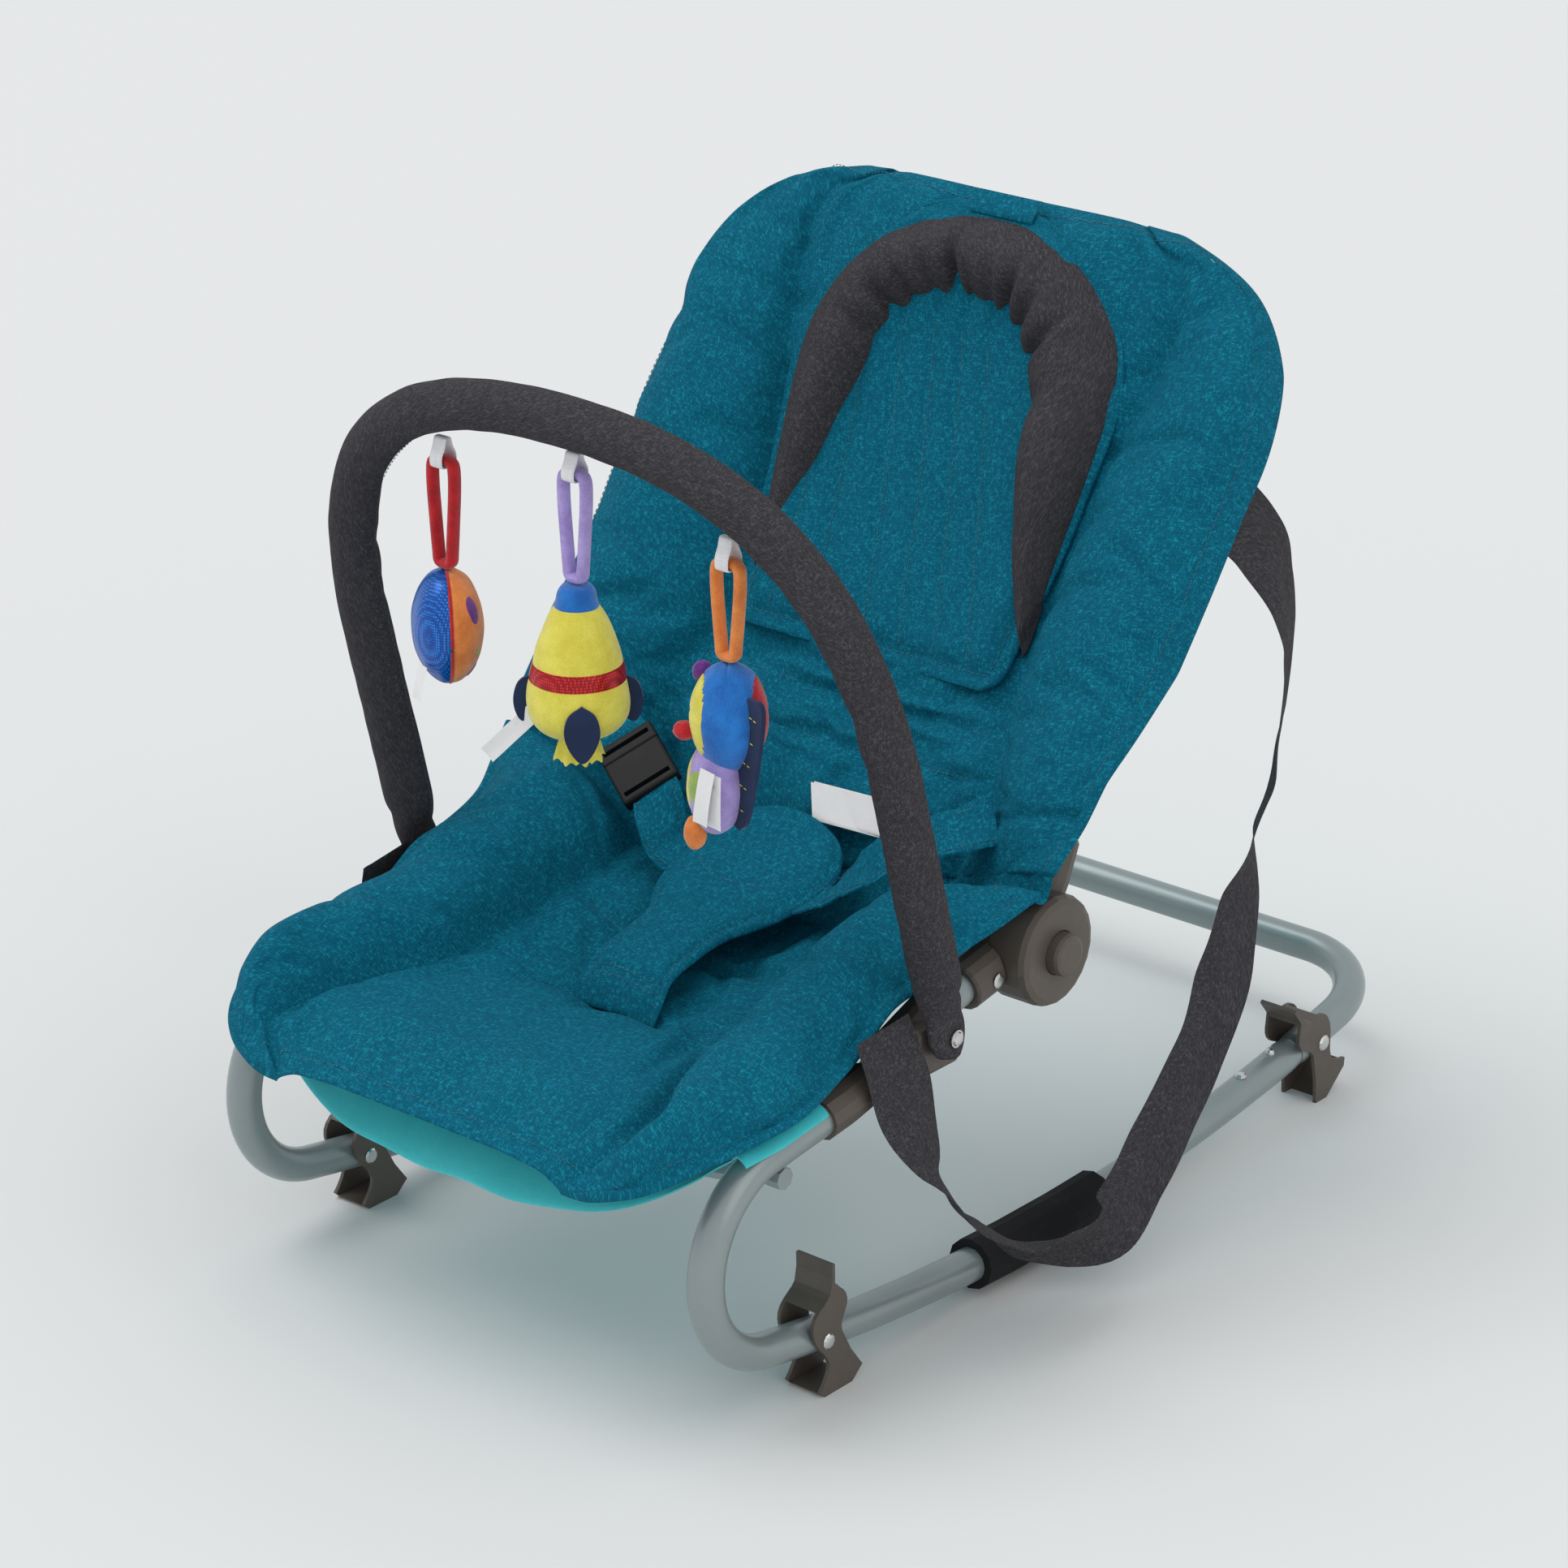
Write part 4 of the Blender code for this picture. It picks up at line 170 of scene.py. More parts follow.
def doubled_grid(columns, rows, upper, lower):
    """A closed pad: a grid on its upper face, its twin on the lower one, bridged round the rim."""
    work = shaped_grid(columns, rows, upper)
    across = work.verts.layers.float["across"]
    along = work.verts.layers.float["along"]
    under = work.verts.layers.float.new("under")
    twins = bmesh.ops.duplicate(work, geom=work.verts[:] + work.edges[:] + work.faces[:])["geom"]
    for vert in [item for item in twins if isinstance(item, bmesh.types.BMVert)]:
        vert.co = lower(vert[across], vert[along])
        vert[under] = 1.0
    bmesh.ops.reverse_faces(work, faces=[item for item in twins if isinstance(item, bmesh.types.BMFace)])
    bmesh.ops.bridge_loops(work, edges=[edge for edge in work.edges if edge.is_boundary])
    bmesh.ops.recalc_face_normals(work, faces=work.faces)
    cloth_map(work, columns, rows)
    return work


def cloth_map(work, columns, rows):
    """A UV map in metres, measured over the grid from its middle column."""
    across = work.verts.layers.float["across"]
    along = work.verts.layers.float["along"]
    places = {}
    for vert in work.verts:
        places.setdefault((round(vert[across] * columns), round(vert[along] * rows)), vert.co)
    middle = columns // 2
    values = {}
    for j in range(rows + 1):
        for side in (-1, 1):
            reach = 0.0
            for i in range(middle, -1 if side < 0 else columns + 1, side):
                if i != middle:
                    reach += (places[i, j] - places[i - side, j]).length
                values[i, j] = side * reach
    drops = {}
    for i in range(columns + 1):
        reach = 0.0
        for j in range(rows + 1):
            if j:
                reach += (places[i, j] - places[i, j - 1]).length
            drops[i, j] = reach
    layer = work.loops.layers.uv.new("cloth")
    for face in work.faces:
        for loop in face.loops:
            spot = (round(loop.vert[across] * columns), round(loop.vert[along] * rows))
            loop[layer].uv = (values[spot], drops[spot])


def cloth_grid(columns, rows, place):
    """A shaped grid with its cloth map."""
    work = shaped_grid(columns, rows, place)
    cloth_map(work, columns, rows)
    return work


def sewn_shut(work, sides=0):
    """Joins a rolled-up grid along its edges, closes ends of up to so many sides and turns faces outwards."""
    edge = [vert for vert in work.verts if vert.is_boundary]
    bmesh.ops.remove_doubles(work, verts=edge, dist=0.00001)
    if sides:
        bmesh.ops.holes_fill(work, edges=[side for side in work.edges if side.is_boundary], sides=sides)
    bmesh.ops.recalc_face_normals(work, faces=work.faces)
    return work


def finished(name, work, material=None, body=None, sharp=50.0, replaces=()):
    """A named object from a finished bmesh, at the origin, riding on its body."""
    mesh = bpy.data.meshes.new(name)
    work.to_mesh(mesh)
    work.free()
    if material:
        mesh.materials.append(material)
    mesh.shade_smooth()
    mesh.set_sharp_from_angle(angle=math.radians(sharp))
    made = bpy.data.objects.new(name, mesh)
    scene.collection.objects.link(made)
    if body:
        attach(made, body)
    if replaces:
        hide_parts(*replaces)
    return made


def subdivided(made, levels=1):
    step = made.modifiers.new("Subdivision", "SUBSURF")
    step.levels = levels
    step.render_levels = levels
    return made


print("cloth helpers ready")

# %% [markdown]
# ## Carry straps
# A wide flat strap hangs in a loop at each side, to lift the rocker by. It is sewn in under the seat's
# edge and behind the back, and it lies where its own weight puts it. It is a folded and topstitched band
# of the grey cloth, so it is a long grid laid along its route, with a little thickness and soft waves.
# The route is the solid's own. The lower end stays with the seat and the upper end goes with the back.

# %% The straps' route and shape
STRAP_WIDTH = 0.045
STRAP_THICK = 0.0024
CARRY_RUN = (
    # centre, direction of the width
    (0.1996, -0.1900, 0.2190, -0.05, 0.93, 0.35), (0.2055, -0.1880, 0.2020, 0.05, 0.94, 0.25),
    (0.2100, -0.1799, 0.1700, 0.10, 0.95, 0.15), (0.2200, -0.1714, 0.1355, -0.30, 0.85, -0.15),
    (0.2290, -0.1655, 0.1160, -0.59, 0.71, -0.38), (0.2360, -0.1507, 0.0924, -0.59, 0.71, -0.38),
    (0.2420, -0.1225, 0.0701, -0.59, 0.71, -0.38), (0.2450, -0.0875, 0.0531, -0.50, 0.50, -0.60),
    (0.2480, -0.0500, 0.0415, -0.20, 0.60, -0.70), (0.2500, -0.0250, 0.0450, 0.25, 0.83, -0.47),
    (0.2480, 0.0046, 0.0650, 0.25, 0.83, -0.47), (0.2460, 0.0350, 0.0911, 0.25, 0.83, -0.47),
    (0.2440, 0.0663, 0.1204, 0.25, 0.83, -0.47), (0.2420, 0.0937, 0.1598, 0.25, 0.83, -0.40),
    (0.2400, 0.1119, 0.2097, 0.00, 0.85, -0.35), (0.2400, 0.1226, 0.2477, -0.50, 0.75, -0.38),
    (0.2400, 0.1401, 0.2758, -0.59, 0.71, -0.38), (0.2400, 0.1496, 0.3177, -0.50, 0.80, -0.30),
    (0.2400, 0.1544, 0.3639, -0.45, 0.85, -0.10), (0.2400, 0.1520, 0.3863, -0.40, 0.85, 0.10),
    (0.2380, 0.1398, 0.4183, -0.20, 0.75, 0.55), (0.2320, 0.1263, 0.4426, -0.05, 0.60, 0.80),
    (0.2255, 0.1110, 0.4610, 0.00, 0.537, 0.843),
)
CARRY_STEPS = 180


def ribbon_frames(run):
    """For each point of a run of (place, width direction): the place, the width and the flat's normal."""
    frames = []
    for i, values in enumerate(run):
        along = (Vector(run[min(i + 1, len(run) - 1)][:3]) - Vector(run[max(i - 1, 0)][:3])).normalized()
        wide = Vector(values[3:6])
        wide = (wide - along * wide.dot(along)).normalized()
        frames.append((Vector(values[:3]), wide, along.cross(wide)))
    return frames


def ribbon(knots, width, thick, steps, columns=12, wave=0.0, seed=0.0):
    """A flat strap with folded edges: a grid along its run, thickened, with soft waves in it."""
    frames = ribbon_frames(run_through(knots, steps + 1))

    def place(share, along):
        spot, wide, up = frames[round(along * steps)]
        lateral = (share - 0.5) * width
        ripple = noise.noise(Vector((lateral * 45.0, along * steps * 0.11, seed))) * wave
        hem = -0.0003 if 0.06 < share < 0.12 or 0.88 < share < 0.94 else 0.0
        return spot + wide * lateral + up * (ripple * fade(min(along, 1 - along), 0.04) + hem)

    work = cloth_grid(columns, steps, place)
    bmesh.ops.solidify(work, geom=work.faces[:], thickness=-thick / 2)
    bmesh.ops.recalc_face_normals(work, faces=work.faces)
    return work, [spot for spot, _, _ in frames]


carry_straps = {}
for word, side in LEFT_AND_RIGHT:
    knots = [(x * side, y, z, a * side, b, c) for x, y, z, a, b, c in CARRY_RUN]
    work, path = ribbon(knots, STRAP_WIDTH, STRAP_THICK, CARRY_STEPS, wave=0.0035, seed=side * 3.1)
    strap = finished(f"carry_strap_cloth_{word}", work)
    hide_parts(f"carry_strap_{word}")
    length = sum((b - a).length for a, b in zip(path, path[1:]))
    tuple(path[0])
    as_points(path)
    carry_straps[word] = strap
    print(f"carry strap {word}: {length:.3f} m")

# %% [markdown]
# ## Floor and light
# The studio is a pale floor in even light: one wide soft source from the upper left and a weaker one from
# the right, both far away, so the floor doesn't darken towards the edges of the view. The floor's own
# colour makes the pale background, so nothing is burnt out and the rocker keeps its soft shadow.

# %% Floor, world and two soft lamps
work = bmesh.new()
bmesh.ops.create_grid(work, x_segments=8, y_segments=8, size=20.0)
floor = finished("floor", work)
floor_paint = bpy.data.materials.new("pale_floor")
floor_paint.use_nodes = True
floor_paint.node_tree.nodes["Principled BSDF"].inputs["Base Color"].default_value = (0.77, 0.78, 0.78, 1.0)
floor_paint.node_tree.nodes["Principled BSDF"].inputs["Roughness"].default_value = 0.75
floor.data.materials.append(floor_paint)

world = bpy.data.worlds.new("studio")
world.use_nodes = True
world.node_tree.nodes["Background"].inputs["Color"].default_value = (0.97, 0.985, 1.0, 1.0)
world.node_tree.nodes["Background"].inputs["Strength"].default_value = 0.70
scene.world = world


def far_lamp(name, way_from, strength, spread, tint=(1.0, 1.0, 1.0)):
    """A far soft source: the direction its light comes from, and how wide it looks in degrees."""
    lamp = bpy.data.lights.new(name, "SUN")
    lamp.energy = strength
    lamp.angle = math.radians(spread)
    lamp.color = tint
    made = bpy.data.objects.new(name, lamp)
    made.rotation_euler = (-Vector(way_from)).to_track_quat("-Z", "Y").to_euler()
    scene.collection.objects.link(made)


far_lamp("key_light", (-0.80, -0.55, 1.60), 0.98, 42.0)
far_lamp("right_light", (1.60, -0.10, 1.20), 0.42, 50.0, (1.0, 0.99, 0.97))
scene.view_settings.view_transform = "Standard"
print("lamps and floor ready")

# %% [markdown]
# ## Shared effects
# Several finishes show the same effect at different scales: threads over and under each other, a fine
# moulded grain, soft unevenness. Each effect is a node group built once. It only gives masks and heights,
# and each material decides what colour and roughness they become.

# %% Node helpers
def add_node(tree, kind, inputs=None, **settings):
    made = tree.nodes.new("ShaderNode" + kind)
    for key, value in settings.items():
        setattr(made, key, value)
    for key, value in (inputs or {}).items():
        if isinstance(value, bpy.types.NodeSocket):
            tree.links.new(value, made.inputs[key])
        else:
            made.inputs[key].default_value = value
    return made


def maths(tree, operation, a, b=0.0, c=0.0):
    made = add_node(tree, "Math", {0: a, 1: b}, operation=operation)
    if operation in ("MULTIPLY_ADD", "SMOOTH_MIN"):
        if isinstance(c, bpy.types.NodeSocket):
            tree.links.new(c, made.inputs[2])
        else:
            made.inputs[2].default_value = c
    return made.outputs[0]


def new_group(title, inputs, outputs):
    """An empty shader group with named sockets, and its input and output nodes."""
    group = bpy.data.node_groups.new(title, "ShaderNodeTree")
    for name, kind, value in inputs:
        socket = group.interface.new_socket(name, in_out="INPUT", socket_type="NodeSocket" + kind)
        if value is not None:
            socket.default_value = value
    for name, kind in outputs:
        group.interface.new_socket(name, in_out="OUTPUT", socket_type="NodeSocket" + kind)
    return group, group.nodes.new("NodeGroupInput").outputs, group.nodes.new("NodeGroupOutput").inputs


print("node helpers ready")

# %% Threads over and under each other
weave, given, gives = new_group(
    "woven_threads",
    [("Vector", "Vector", None), ("Threads per metre", "Float", 1400.0), ("Streak length", "Float", 16.0)],
    [("Shade", "Float"), ("Streaks", "Float"), ("Height", "Float")])
scaled = add_node(weave, "VectorMath", {0: given["Vector"], "Scale": given["Threads per metre"]},
                  operation="SCALE").outputs["Vector"]
parts = add_node(weave, "SeparateXYZ", {0: scaled}).outputs
columns_of = maths(weave, "FLOOR", parts["X"])
rows_of = maths(weave, "FLOOR", parts["Y"])
warp_run = maths(weave, "DIVIDE", parts["Y"], given["Streak length"])
weft_run = maths(weave, "DIVIDE", parts["X"], given["Streak length"])
warp_spot = add_node(weave, "CombineXYZ", {0: maths(weave, "MULTIPLY", columns_of, 7.31), 1: warp_run})
weft_spot = add_node(weave, "CombineXYZ", {0: weft_run, 1: maths(weave, "MULTIPLY", rows_of, 5.17), 2: 40.0})
warp = add_node(weave, "TexNoise", {"Vector": warp_spot.outputs[0], "Scale": 1.0, "Detail": 1.0}).outputs[0]
weft = add_node(weave, "TexNoise", {"Vector": weft_spot.outputs[0], "Scale": 1.0, "Detail": 1.0}).outputs[0]
over = maths(weave, "PINGPONG", maths(weave, "ADD", columns_of, rows_of), 1.0)
shade = add_node(weave, "Mix", {0: over, 2: warp, 3: weft}).outputs[0]
round_x = maths(weave, "SINE", maths(weave, "MULTIPLY", maths(weave, "FRACT", parts["X"]), math.pi))
round_y = maths(weave, "SINE", maths(weave, "MULTIPLY", maths(weave, "FRACT", parts["Y"]), math.pi))
height = add_node(weave, "Mix", {0: over, 2: round_x, 3: round_y}).outputs[0]
streaks = maths(weave, "MULTIPLY", maths(weave, "ADD", warp, weft), 0.5)
weave.links.new(shade, gives["Shade"])
weave.links.new(streaks, gives["Streaks"])
weave.links.new(height, gives["Height"])
print("woven threads ready")

# %% Soft unevenness, and a fine moulded grain
uneven, given, gives = new_group(
    "soft_unevenness",
    [("Vector", "Vector", None), ("Size", "Float", 0.05), ("Contrast", "Float", 1.0)],
    [("Mask", "Float"), ("Height", "Float")])
size = maths(uneven, "DIVIDE", 1.0, given["Size"])
broad = add_node(uneven, "TexNoise", {"Vector": given["Vector"], "Scale": size, "Detail": 3.0,
                                      "Roughness": 0.55}).outputs[0]
centred = maths(uneven, "MULTIPLY", maths(uneven, "SUBTRACT", broad, 0.5), given["Contrast"])
uneven.links.new(maths(uneven, "ADD", centred, 0.5), gives["Mask"])
uneven.links.new(broad, gives["Height"])

grain, given, gives = new_group(
    "moulded_grain",
    [("Vector", "Vector", None), ("Grains per metre", "Float", 1500.0)],
    [("Pits", "Float"), ("Rubbed", "Float")])
cells = add_node(grain, "TexVoronoi", {"Vector": given["Vector"], "Scale": given["Grains per metre"],
                                       "Randomness": 1.0}).outputs["Distance"]
worn = add_node(grain, "TexNoise", {"Vector": given["Vector"], "Scale": 45.0, "Detail": 6.0,
                                    "Roughness": 0.7}).outputs[0]
grain.links.new(maths(grain, "SUBTRACT", 1.0, cells), gives["Pits"])
grain.links.new(add_node(grain, "MapRange", {0: worn, 1: 0.52, 2: 0.75}).outputs[0], gives["Rubbed"])
print("effects:", [group.name for group in bpy.data.node_groups])

# %% [markdown]
# ## Finishes
# Each material mixes two or three colours by the masks of a group, and keeps its constant values on the
# shader. The heather cloth has light and dark threads that start and stop, which is what gives it life
# from a distance. On the plush, patches where the pile leans are painted sheen and shade in its colour.

# %% Cloth finishes
def start_material(name, roughness=0.5, **constants):
    made = bpy.data.materials.new(name)
    made.use_nodes = True
    shader = made.node_tree.nodes["Principled BSDF"]
    shader.inputs["Roughness"].default_value = roughness
    for key, value in constants.items():
        shader.inputs[key.replace("_", " ")].default_value = value
    return made, made.node_tree, shader


def blend_colour(tree, mask, low, high):
    low = low if isinstance(low, bpy.types.NodeSocket) else (*low, 1.0)
    high = high if isinstance(high, bpy.types.NodeSocket) else (*high, 1.0)
    made = add_node(tree, "Mix", {0: mask, 6: low, 7: high}, data_type="RGBA")
    return made.outputs[2]


def bumped(tree, shader, height, strength, distance):
    bump = add_node(tree, "Bump", {"Height": height, "Strength": strength, "Distance": distance})
    tree.links.new(bump.outputs["Normal"], shader.inputs["Normal"])


def woven_on_cloth(tree, threads, streak):
    """The thread group on a piece's own cloth map."""
    cloth = add_node(tree, "UVMap", uv_map="cloth").outputs[0]
    values = {"Vector": cloth, "Threads per metre": threads, "Streak length": streak}
    return add_node(tree, "Group", values, node_tree=weave)


def patchy(tree, size):
    """The unevenness group on Object coordinates, with patches of one size."""
    place = add_node(tree, "TexCoord").outputs["Object"]
    return add_node(tree, "Group", {"Vector": place, "Size": size}, node_tree=uneven)


print("material helpers ready")


# %% Heather cloth: light and dark threads that start and stop
def heather(name, dark, middle, light, threads=1500.0, streak=6.0, relief=0.00025, roughness=0.9):
    """A woven cloth of mixed threads."""
    made, tree, shader = start_material(name, roughness, Specular_IOR_Level=0.12)
    threads_node = woven_on_cloth(tree, threads, streak)
    patches = patchy(tree, 0.07)
    shade = add_node(tree, "MapRange", {0: threads_node.outputs["Shade"], 1: 0.34, 2: 0.66}).outputs[0]
    base = blend_colour(tree, shade, dark, middle)
    bright = add_node(tree, "MapRange", {0: threads_node.outputs["Streaks"], 1: 0.52, 2: 0.70}).outputs[0]
    base = blend_colour(tree, bright, base, light)
    faded = add_node(tree, "MapRange", {0: patches.outputs["Mask"], 1: 0.3, 2: 0.7, 3: 0.96, 4: 1.03})
    final = add_node(tree, "Mix", {0: 1.0, 6: base, 7: faded.outputs[0]}, data_type="RGBA",
                     blend_type="MULTIPLY").outputs[2]
    tree.links.new(final, shader.inputs["Base Color"])
    bumped(tree, shader, threads_node.outputs["Height"], 0.35, relief)
    return made


TEAL = heather("teal_heather", (0.0008, 0.088, 0.150), (0.0022, 0.150, 0.240), (0.010, 0.270, 0.370))
GREY = heather("grey_heather", (0.032, 0.031, 0.036), (0.066, 0.063, 0.070), (0.105, 0.100, 0.109), 1700.0)


print("heather:", TEAL.name, GREY.name)


# %% Smooth linings, tapes, labels and felt
def plain_cloth(name, colour, deep, threads=2600.0, roughness=0.6, sheen=0.25):
    """A fine smooth lining or tape."""
    made, tree, shader = start_material(name, roughness, Sheen_Weight=sheen, Sheen_Roughness=0.35)
    threads_node = woven_on_cloth(tree, threads, 16.0)
    patches = patchy(tree, 0.03)
    mask = maths(tree, "MULTIPLY", threads_node.outputs["Shade"], patches.outputs["Mask"])
    mask = add_node(tree, "MapRange", {0: mask, 1: 0.10, 2: 0.38}).outputs[0]
    tree.links.new(blend_colour(tree, mask, deep, colour), shader.inputs["Base Color"])
    bumped(tree, shader, threads_node.outputs["Height"], 0.25, 0.0002)
    return made


TURQUOISE = plain_cloth("turquoise_lining_cloth", (0.045, 0.60, 0.64), (0.022, 0.50, 0.55))
WHITE_TAPE = plain_cloth("white_tape", (0.84, 0.84, 0.86), (0.68, 0.68, 0.72), 1100.0, 0.55)
LABEL = plain_cloth("bare_satin_label", (0.90, 0.90, 0.90), (0.82, 0.82, 0.83), 3000.0, 0.4)
NAVY_FELT = plain_cloth("navy_felt", (0.012, 0.030, 0.095), (0.006, 0.014, 0.050), 1500.0, 0.92, 0.3)


print("smooth cloths ready")


# %% Plush and foil
def plush(name, colour, deep, sheen=0.5):
    """A short-pile plush whose colour has painted sheen and shade in patches where the pile leans."""
    made, tree, shader = start_material(name, 0.9, Sheen_Weight=sheen, Sheen_Roughness=0.4)
    place = add_node(tree, "TexCoord").outputs["Object"]
    # Patches where the pile leans: painted sheen and shade, mixed into the colour below.
    lean = patchy(tree, 0.012)
    pile = add_node(tree, "TexNoise", {"Vector": place, "Scale": 1500.0, "Detail": 2.0}).outputs[0]
    # The colour mask: painted sheen and shade of the leaning pile, plus the fine pile's own tone.
    mask = maths(tree, "ADD", maths(tree, "MULTIPLY", lean.outputs["Mask"], 0.55),
                 maths(tree, "MULTIPLY", pile, 0.45))
    mask = add_node(tree, "MapRange", {0: mask, 1: 0.38, 2: 0.62}).outputs[0]
    tree.links.new(blend_colour(tree, mask, deep, colour), shader.inputs["Base Color"])
    bumped(tree, shader, pile, 0.6, 0.0009)
    return made


RED = plush("red_plush_pile", (0.62, 0.012, 0.020), (0.36, 0.004, 0.010))
LILAC = plush("lilac_plush_pile", (0.50, 0.40, 0.80), (0.34, 0.25, 0.60))
ORANGE = plush("orange_plush_pile", (0.90, 0.30, 0.07), (0.66, 0.17, 0.03))
BLUE = plush("blue_plush_pile", (0.015, 0.22, 0.70), (0.006, 0.12, 0.46))
YELLOW = plush("yellow_plush_pile", (0.86, 0.80, 0.12), (0.72, 0.62, 0.06))
GREEN = plush("green_plush_pile", (0.42, 0.58, 0.14), (0.26, 0.38, 0.07))
PURPLE = plush("purple_plush_pile", (0.20, 0.045, 0.33), (0.11, 0.02, 0.20))


def sparkle(name, colour, deep):
    """A foil cloth with a fine grid of dots, painted bright where they glint."""
    made, tree, shader = start_material(name, 0.32, Metallic=0.35)
    place = add_node(tree, "TexCoord").outputs["Object"]
    glint_dots = add_node(tree, "TexVoronoi", {"Vector": place, "Scale": 620.0, "Randomness": 0.12})
    # Bright near each dot's centre: painted glints on the foil's dot grid; between the dots is the foil's
    # colour.
    mask = add_node(tree, "MapRange", {0: glint_dots.outputs["Distance"], 1: 0.30, 2: 0.46}).outputs[0]
    tree.links.new(blend_colour(tree, mask, colour, deep), shader.inputs["Base Color"])
    bumped(tree, shader, mask, -0.4, 0.0003)
    return made


RED_FOIL = sparkle("red_foil", (0.80, 0.03, 0.04), (0.33, 0.004, 0.008))
BLUE_FOIL = sparkle("blue_foil", (0.02, 0.25, 0.82), (0.004, 0.07, 0.36))
print("cloth finishes ready")

# %% Hard finishes
def hard_finish(name, colour, deep, roughness, metallic=0.0, grains=1500.0, relief=0.00004, rub=None,
                coat=0.0, gloss=0.5):
    """A painted, plated or moulded finish with fine grain and a few rubbed places."""
    made, tree, shader = start_material(name, roughness, Metallic=metallic, Coat_Weight=coat,
                                        Specular_IOR_Level=gloss)
    place = add_node(tree, "TexCoord").outputs["Object"]
    surface = add_node(tree, "Group", {"Vector": place, "Grains per metre": grains}, node_tree=grain)
    patches = patchy(tree, 0.04)
    colour_now = blend_colour(tree, patches.outputs["Mask"], deep, colour)
    if rub:
        share = maths(tree, "MULTIPLY", surface.outputs["Rubbed"], 0.35)
        colour_now = blend_colour(tree, share, colour_now, rub)
    tree.links.new(colour_now, shader.inputs["Base Color"])
    rough = add_node(tree, "MapRange", {0: surface.outputs["Rubbed"], 1: 0.0, 2: 1.0, 3: roughness,
                                        4: roughness * 0.8}).outputs[0]
    tree.links.new(rough, shader.inputs["Roughness"])
    bumped(tree, shader, surface.outputs["Pits"], 0.3, relief)
    return made


PAINT = hard_finish("silver_paint_coat", (0.300, 0.350, 0.355), (0.265, 0.310, 0.315), 0.36, 0.40, 2600.0,
                    0.00001, coat=0.25)
PLASTIC = hard_finish("taupe_moulding", (0.098, 0.080, 0.066), (0.080, 0.065, 0.053), 0.46, 0.0, 1500.0,
                      0.00005, (0.13, 0.11, 0.095))
ZINC = hard_finish("zinc_plate", (0.72, 0.72, 0.70), (0.60, 0.60, 0.58), 0.28, 1.0, 900.0, 0.00001)
FOAM = hard_finish("black_foam_skin", (0.016, 0.016, 0.017), (0.009, 0.009, 0.010), 0.93, 0.0, 2200.0,
                   0.0003, gloss=0.3)
BLACK = hard_finish("black_moulding", (0.010, 0.010, 0.011), (0.007, 0.007, 0.008), 0.55, 0.0, 1800.0,
                    0.00003, gloss=0.25)


print("hard finishes ready")


# %% Sewing thread, and the finishes on the solids
def thread(name, colour, deep):
    """Twisted sewing thread: fine slanting bands, darker where shade is painted between its plies."""
    made, tree, shader = start_material(name, 0.55, Sheen_Weight=0.3)
    place = add_node(tree, "TexCoord").outputs["Object"]
    twist_bands_and_shade = add_node(tree, "TexWave", {"Vector": place, "Scale": 900.0, "Distortion": 1.5}).outputs["Fac"]
    # The twist's bands are painted shade between the plies in the colour, and relief in the bump.
    tree.links.new(blend_colour(tree, twist_bands_and_shade, deep, colour), shader.inputs["Base Color"])
    bumped(tree, shader, twist_bands_and_shade, 0.4, 0.0002)
    return made


THREAD = thread("teal_thread", (0.010, 0.150, 0.215), (0.003, 0.070, 0.110))
GREY_THREAD = thread("grey_thread", (0.090, 0.085, 0.092), (0.030, 0.028, 0.032))
FINISHES = {
    "silver_paint": PAINT, "taupe_plastic": PLASTIC, "zinc_steel": ZINC, "black_foam": FOAM,
    "black_plastic": BLACK,
}
counted = 0
for name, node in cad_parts.items():
    for slot in node.material_slots:
        kind = slot.material.name.split(".")[0] if slot.material else ""
        if kind in FINISHES:
            slot.material = FINISHES[kind]
            counted += 1
print("solids with a hard finish:", counted)
for word in carry_straps:
    carry_straps[word].data.materials.append(GREY)
    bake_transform(carry_straps[word], "rocker_frame", "backrest", start=(0, -0.05, 0.05), end=(0, 0.14, 0.42))

# %% [markdown]
# ## The seat's padding
# The seat is one quilted pad: a dished middle, a sewn crease at each side, and a stuffed roll beyond it
# that climbs towards the hubs. A flat bound hem runs round the edge. The outline and heights come from
# stations along the seat, as the solid's do. The middle, the rolls and the hem each get their own
# columns of the grid, so the seams lie exactly on its lines.

# %% Sections of the seat
SEAT_STATIONS = (
    # y, half width, edge height, crease x, crease height, middle height
    (-0.3755, 0.138, 0.1665, 0.112, 0.1670, 0.1680), (-0.3675, 0.158, 0.1690, 0.126, 0.1730, 0.1730),
    (-0.3555, 0.175, 0.1765, 0.136, 0.1800, 0.1790), (-0.3375, 0.187, 0.1840, 0.140, 0.1840, 0.1840),
    (-0.3105, 0.198, 0.1905, 0.134, 0.1890, 0.1860), (-0.2695, 0.205, 0.1970, 0.119, 0.1920, 0.1840),
    (-0.2265, 0.197, 0.2020, 0.108, 0.1930, 0.1780), (-0.2015, 0.194, 0.2095, 0.105, 0.1950, 0.1735),
    (-0.1725, 0.193, 0.2265, 0.102, 0.2000, 0.1770), (-0.1445, 0.193, 0.2315, 0.101, 0.2070, 0.1790),
    (-0.1125, 0.195, 0.2420, 0.100, 0.2120, 0.1810), (-0.0855, 0.206, 0.2550, 0.101, 0.2140, 0.1850),
    (-0.0605, 0.217, 0.2690, 0.103, 0.2160, 0.1900),
)
SEAT_FRONT, SEAT_REAR = -0.3755, -0.0605
SEAT_SEAMS = (-0.2015, -0.1295)
HEM = 0.0075
COLUMNS = 96
CREASE_COLUMN = 22
HEM_COLUMN = 44
SEAT_ROWS = 72
BACK_ROWS = 96


